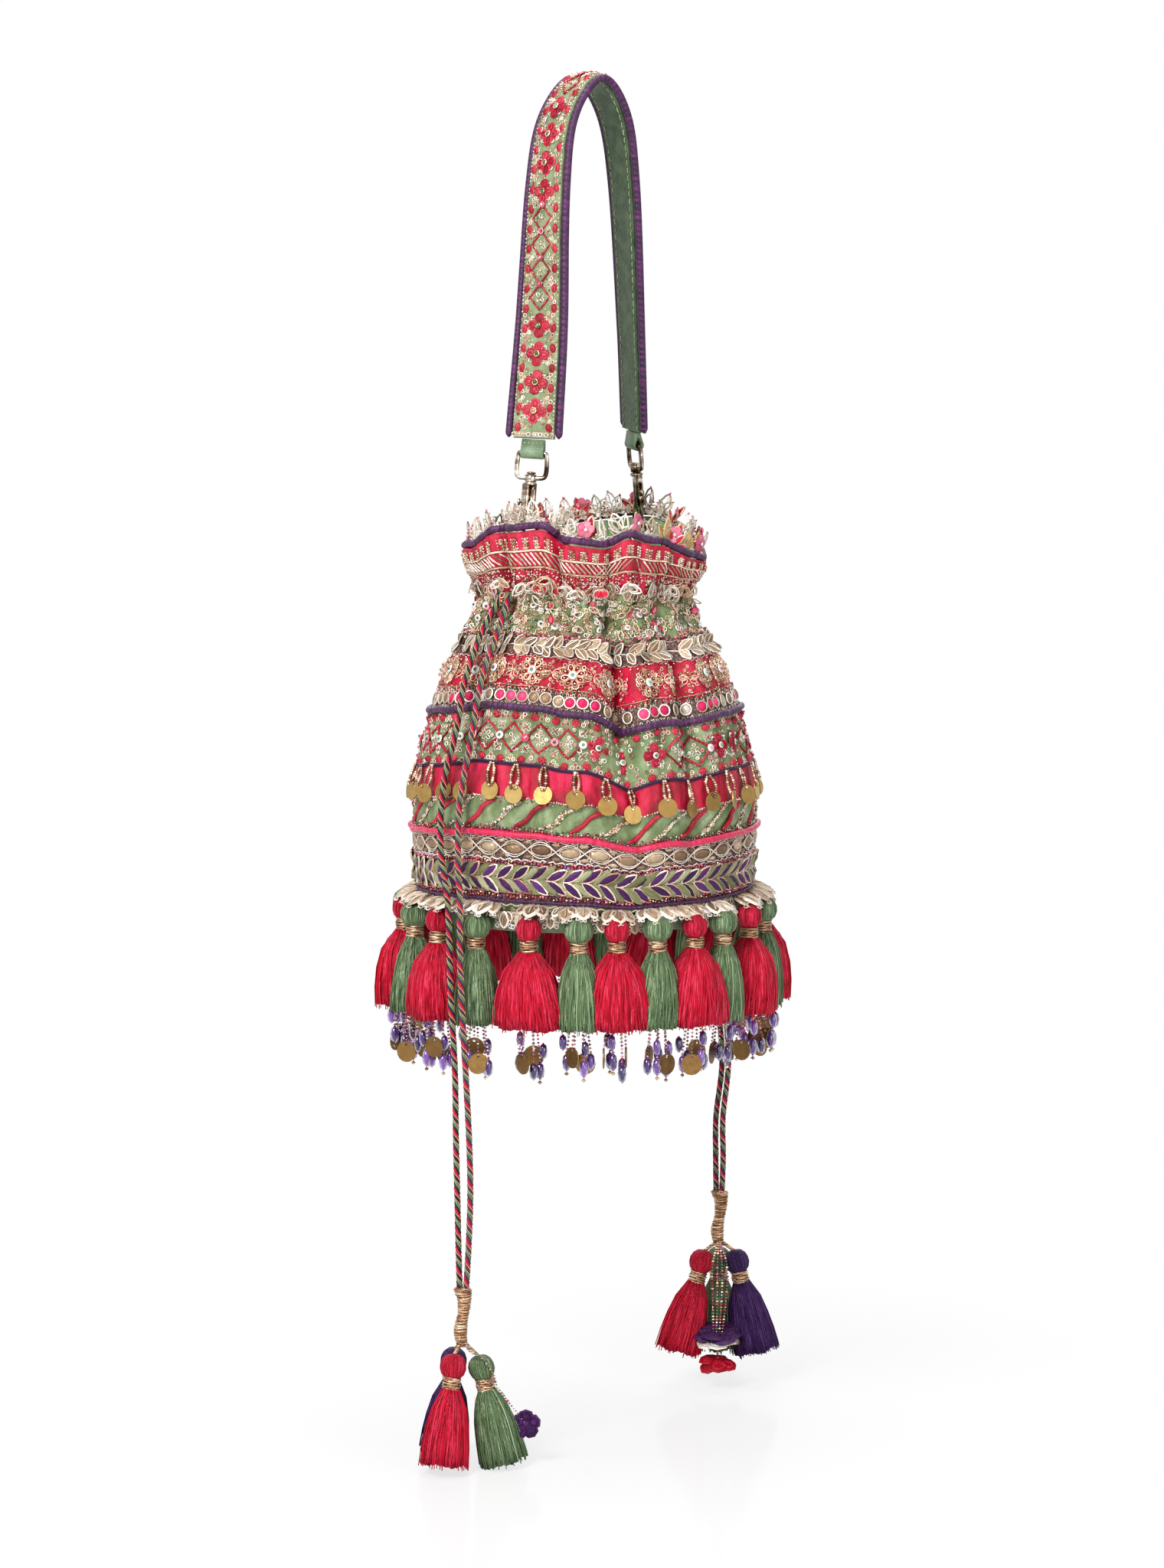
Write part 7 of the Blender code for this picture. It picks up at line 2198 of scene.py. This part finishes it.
def slotted_barrel(pile):
    """The barrel's wall and bore, open along the thumb knob's slot."""
    half = math.degrees(math.asin((0.5 * THUMB_NECK_WIDTH + CLEARANCE) / BARREL_RADIUS))
    angles = np.concatenate([[-half], np.linspace(half, 360 - half, 22)[:-1]])
    slot_low, slot_high = BOLT_TOP - THUMB_NECK_HEIGHT - 3 * CLEARANCE, BOLT_TOP + BOLT_TRAVEL + CLEARANCE
    seam, soft = COLLAR_LOW + 0.5 * COLLAR_HEIGHT, 0.0003
    outside = [(BARREL_RADIUS, z) for z in (seam, slot_high, slot_low, BARREL_LOW + soft)]
    outside += [(BARREL_RADIUS - soft, BARREL_LOW), (BORE_RADIUS, BARREL_LOW)]
    inside = [(BORE_RADIUS, z) for z in (slot_low, slot_high, BORE_TOP)] + [(0.0001, BORE_TOP)]
    rows = np.array(outside + inside)
    points = polar(rows[:, :1], angles[None], rows[:, 1:2]) + [BARREL_OFFSET, 0, 0]
    columns = len(angles)
    faces = grid_faces(len(rows), columns, closed=True)[:, ::-1]
    row, column = faces.min(axis=1) // columns, faces % columns
    open_slot = np.isin(row, (1, 6)) & (column.max(axis=1) == 1)
    faces = faces[~open_slot]
    outer, inner = np.array([1, 2]) * columns, np.array([7, 6]) * columns
    for column, flip in ((0, 1), (1, -1)):
        a, b, c, d = outer[0] + column, outer[1] + column, inner[1] + column, inner[0] + column
        faces = np.vstack([faces, np.array([[a, b, c], [a, c, d]])[:, ::flip]])
    for level_out, level_in, flip in ((outer[0], inner[0], -1), (outer[1], inner[1], 1)):
        a, b, c, d = level_out, level_out + 1, level_in + 1, level_in
        faces = np.vstack([faces, np.array([[a, b, c], [a, c, d]])[:, ::flip]])
    pile.add(points, faces)


def make_hook(side, frame):
    """The swivel hook: stem and head, collar, slotted barrel and curved arm."""
    pile = Pile()
    head = BOSS_HIGH + CLEARANCE
    soft = 0.0004
    profile = [
        (0, head + STEM_HEAD_HEIGHT), (0.6 * STEM_HEAD_RADIUS, head + STEM_HEAD_HEIGHT),
        (STEM_HEAD_RADIUS, head + 0.6 * STEM_HEAD_HEIGHT), (STEM_HEAD_RADIUS, head),
        (STEM_RADIUS, head), (STEM_RADIUS, COLLAR_TOP), (COLLAR_RADIUS - soft, COLLAR_TOP),
        (COLLAR_RADIUS, COLLAR_TOP - soft), (COLLAR_RADIUS, COLLAR_LOW + soft),
        (COLLAR_RADIUS - soft, COLLAR_LOW), (0, COLLAR_LOW),
    ]
    add_lathe(pile, profile, 22)
    slotted_barrel(pile)
    low = BARREL_LOW - ARM_DROP
    route = [
        (-ARM_OFFSET, COLLAR_LOW + 0.5 * COLLAR_HEIGHT),
        (-ARM_OFFSET, BARREL_LOW + 0.2 * BARREL_LENGTH), (-1.25 * ARM_OFFSET, BARREL_LOW),
        (-0.9 * ARM_BULGE, 0.68 * BARREL_LOW + 0.32 * low),
        (-ARM_BULGE, 0.42 * BARREL_LOW + 0.58 * low),
        (-0.78 * ARM_BULGE, 0.14 * BARREL_LOW + 0.86 * low), (ARM_LOW_X, low),
        (0.55 * BARREL_OFFSET, 0.1 * BARREL_LOW + 0.9 * low),
        (BARREL_OFFSET, 0.5 * (low + ARM_TIP)),
        (BARREL_OFFSET, ARM_TIP),
    ]
    wire(pile, route, ARM_RADIUS, 12, closed=False)
    set_on(pile, frame)
    pile.piece(f"hook_{side}", "pale_gold_painted_reflections", "pale_gold_metal", f"hook_{side}", (f"snap_hook_{side}",))


def make_bolt(side, frame):
    """The sliding bolt with its oval thumb knob."""
    pile = Pile()
    soft = 0.0003
    profile = [(0, BOLT_TOP), (BOLT_RADIUS - soft, BOLT_TOP), (BOLT_RADIUS, BOLT_TOP - soft)]
    profile += [(BOLT_RADIUS, BOLT_LOW + soft), (BOLT_RADIUS - soft, BOLT_LOW), (0, BOLT_LOW)]
    add_lathe(pile, profile, 14, BARREL_OFFSET)
    knob_x = BARREL_OFFSET + BARREL_RADIUS + 4 * CLEARANCE
    middle = BOLT_TOP - 0.55 * THUMB_NECK_HEIGHT
    neck = [(BARREL_OFFSET, 0, middle), (0.5 * (BARREL_OFFSET + knob_x), 0, middle), (knob_x, 0, middle)]
    pile.tubes(neck, 0.5 * THUMB_NECK_WIDTH, 10, ref=(0, 1, 0))
    tall = 0.95 * THUMB_NECK_HEIGHT
    knob = [(0, 1), (0.5, 0.86), (0.86, 0.5), (1.0, 0), (0.86, -0.5), (0.5, -0.86), (0, -1)]
    knob = [(1.1 * THUMB_NECK_WIDTH * r, z * tall) for r, z in knob]
    points, faces, _ = lathe(knob, 14, stretch=0.62)
    points = points[:, [1, 0, 2]] * [1, -1, 1] + [knob_x, 0, middle]
    pile.add(points, faces)
    set_on(pile, frame)
    pile.piece(f"bolt_{side}", "pale_gold_painted_reflections", "pale_gold_metal", f"bolt_{side}", (f"snap_bolt_{side}",))


def make_ring(side):
    """The ring in the mouth that a hook clips to."""
    bend = 0.55 * RING_HALF_WIDTH
    route = [
        (0.0, 0.0), (0.68 * RING_HALF_WIDTH, -0.27 * RING_HALF_WIDTH),
        (RING_HALF_WIDTH, -0.9 * RING_HALF_WIDTH), (RING_HALF_WIDTH, bend - RING_HEIGHT),
        (RING_HALF_WIDTH - bend, -RING_HEIGHT), (0.0, -RING_HEIGHT),
    ]
    pile = Pile()
    wire(pile, route, RING_WIRE)
    set_on(pile, ring_axes(side))
    pile.piece(f"mouth_ring_{side}", "pale_gold_painted_reflections", "pale_gold_metal", "bag", (f"d_ring_{side}",))


def make_hardware():
    """Both sets of tab, eye, hook, bolt and ring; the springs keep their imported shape."""
    for side in ("near", "far"):
        axes = hook_axes(side)
        make_tab(side, axes)
        make_eye(side, axes)
        make_hook(side, axes)
        make_bolt(side, axes)
        make_ring(side)
        spring = frame["nodes"][f"bolt_spring_{side}"]
        for part in spring.material_slots:
            part.material = LOOKS["pale_gold_painted_reflections"]


# The whole bag


def main():
    """Build the stage and every piece of the bag."""
    bpy.context.scene.view_settings.view_transform = "Standard"
    make_floor()
    make_world()
    make_lights()
    make_camera()
    make_drawstrings()
    make_cloth()
    make_lining()
    make_base()
    make_mouth_piping()
    make_piping("swag_cord", SWAG_DEPTH, 0.0018, "purple_cord", "swag_piping")
    make_piping("lower_cord", LOWER_DEPTH, 0.0016, "crimson_cord", "lower_piping")
    make_piping("hem_cord", HEM_DEPTH, 0.0009, "purple_cord", "hem_piping")
    rim_trim()
    neck_trim()
    leaf_lace()
    flower_band()
    cell_row()
    embroidered_band()
    coin_fringe()
    slanted_band()
    eye_lace()
    leaf_band()
    hem_lace()
    mouth_lace()
    make_strap_face()
    make_strap_leather()
    make_strap_pipings()
    strap_embroidery()
    make_fringe()
    make_clusters()
    make_hardware()


main()
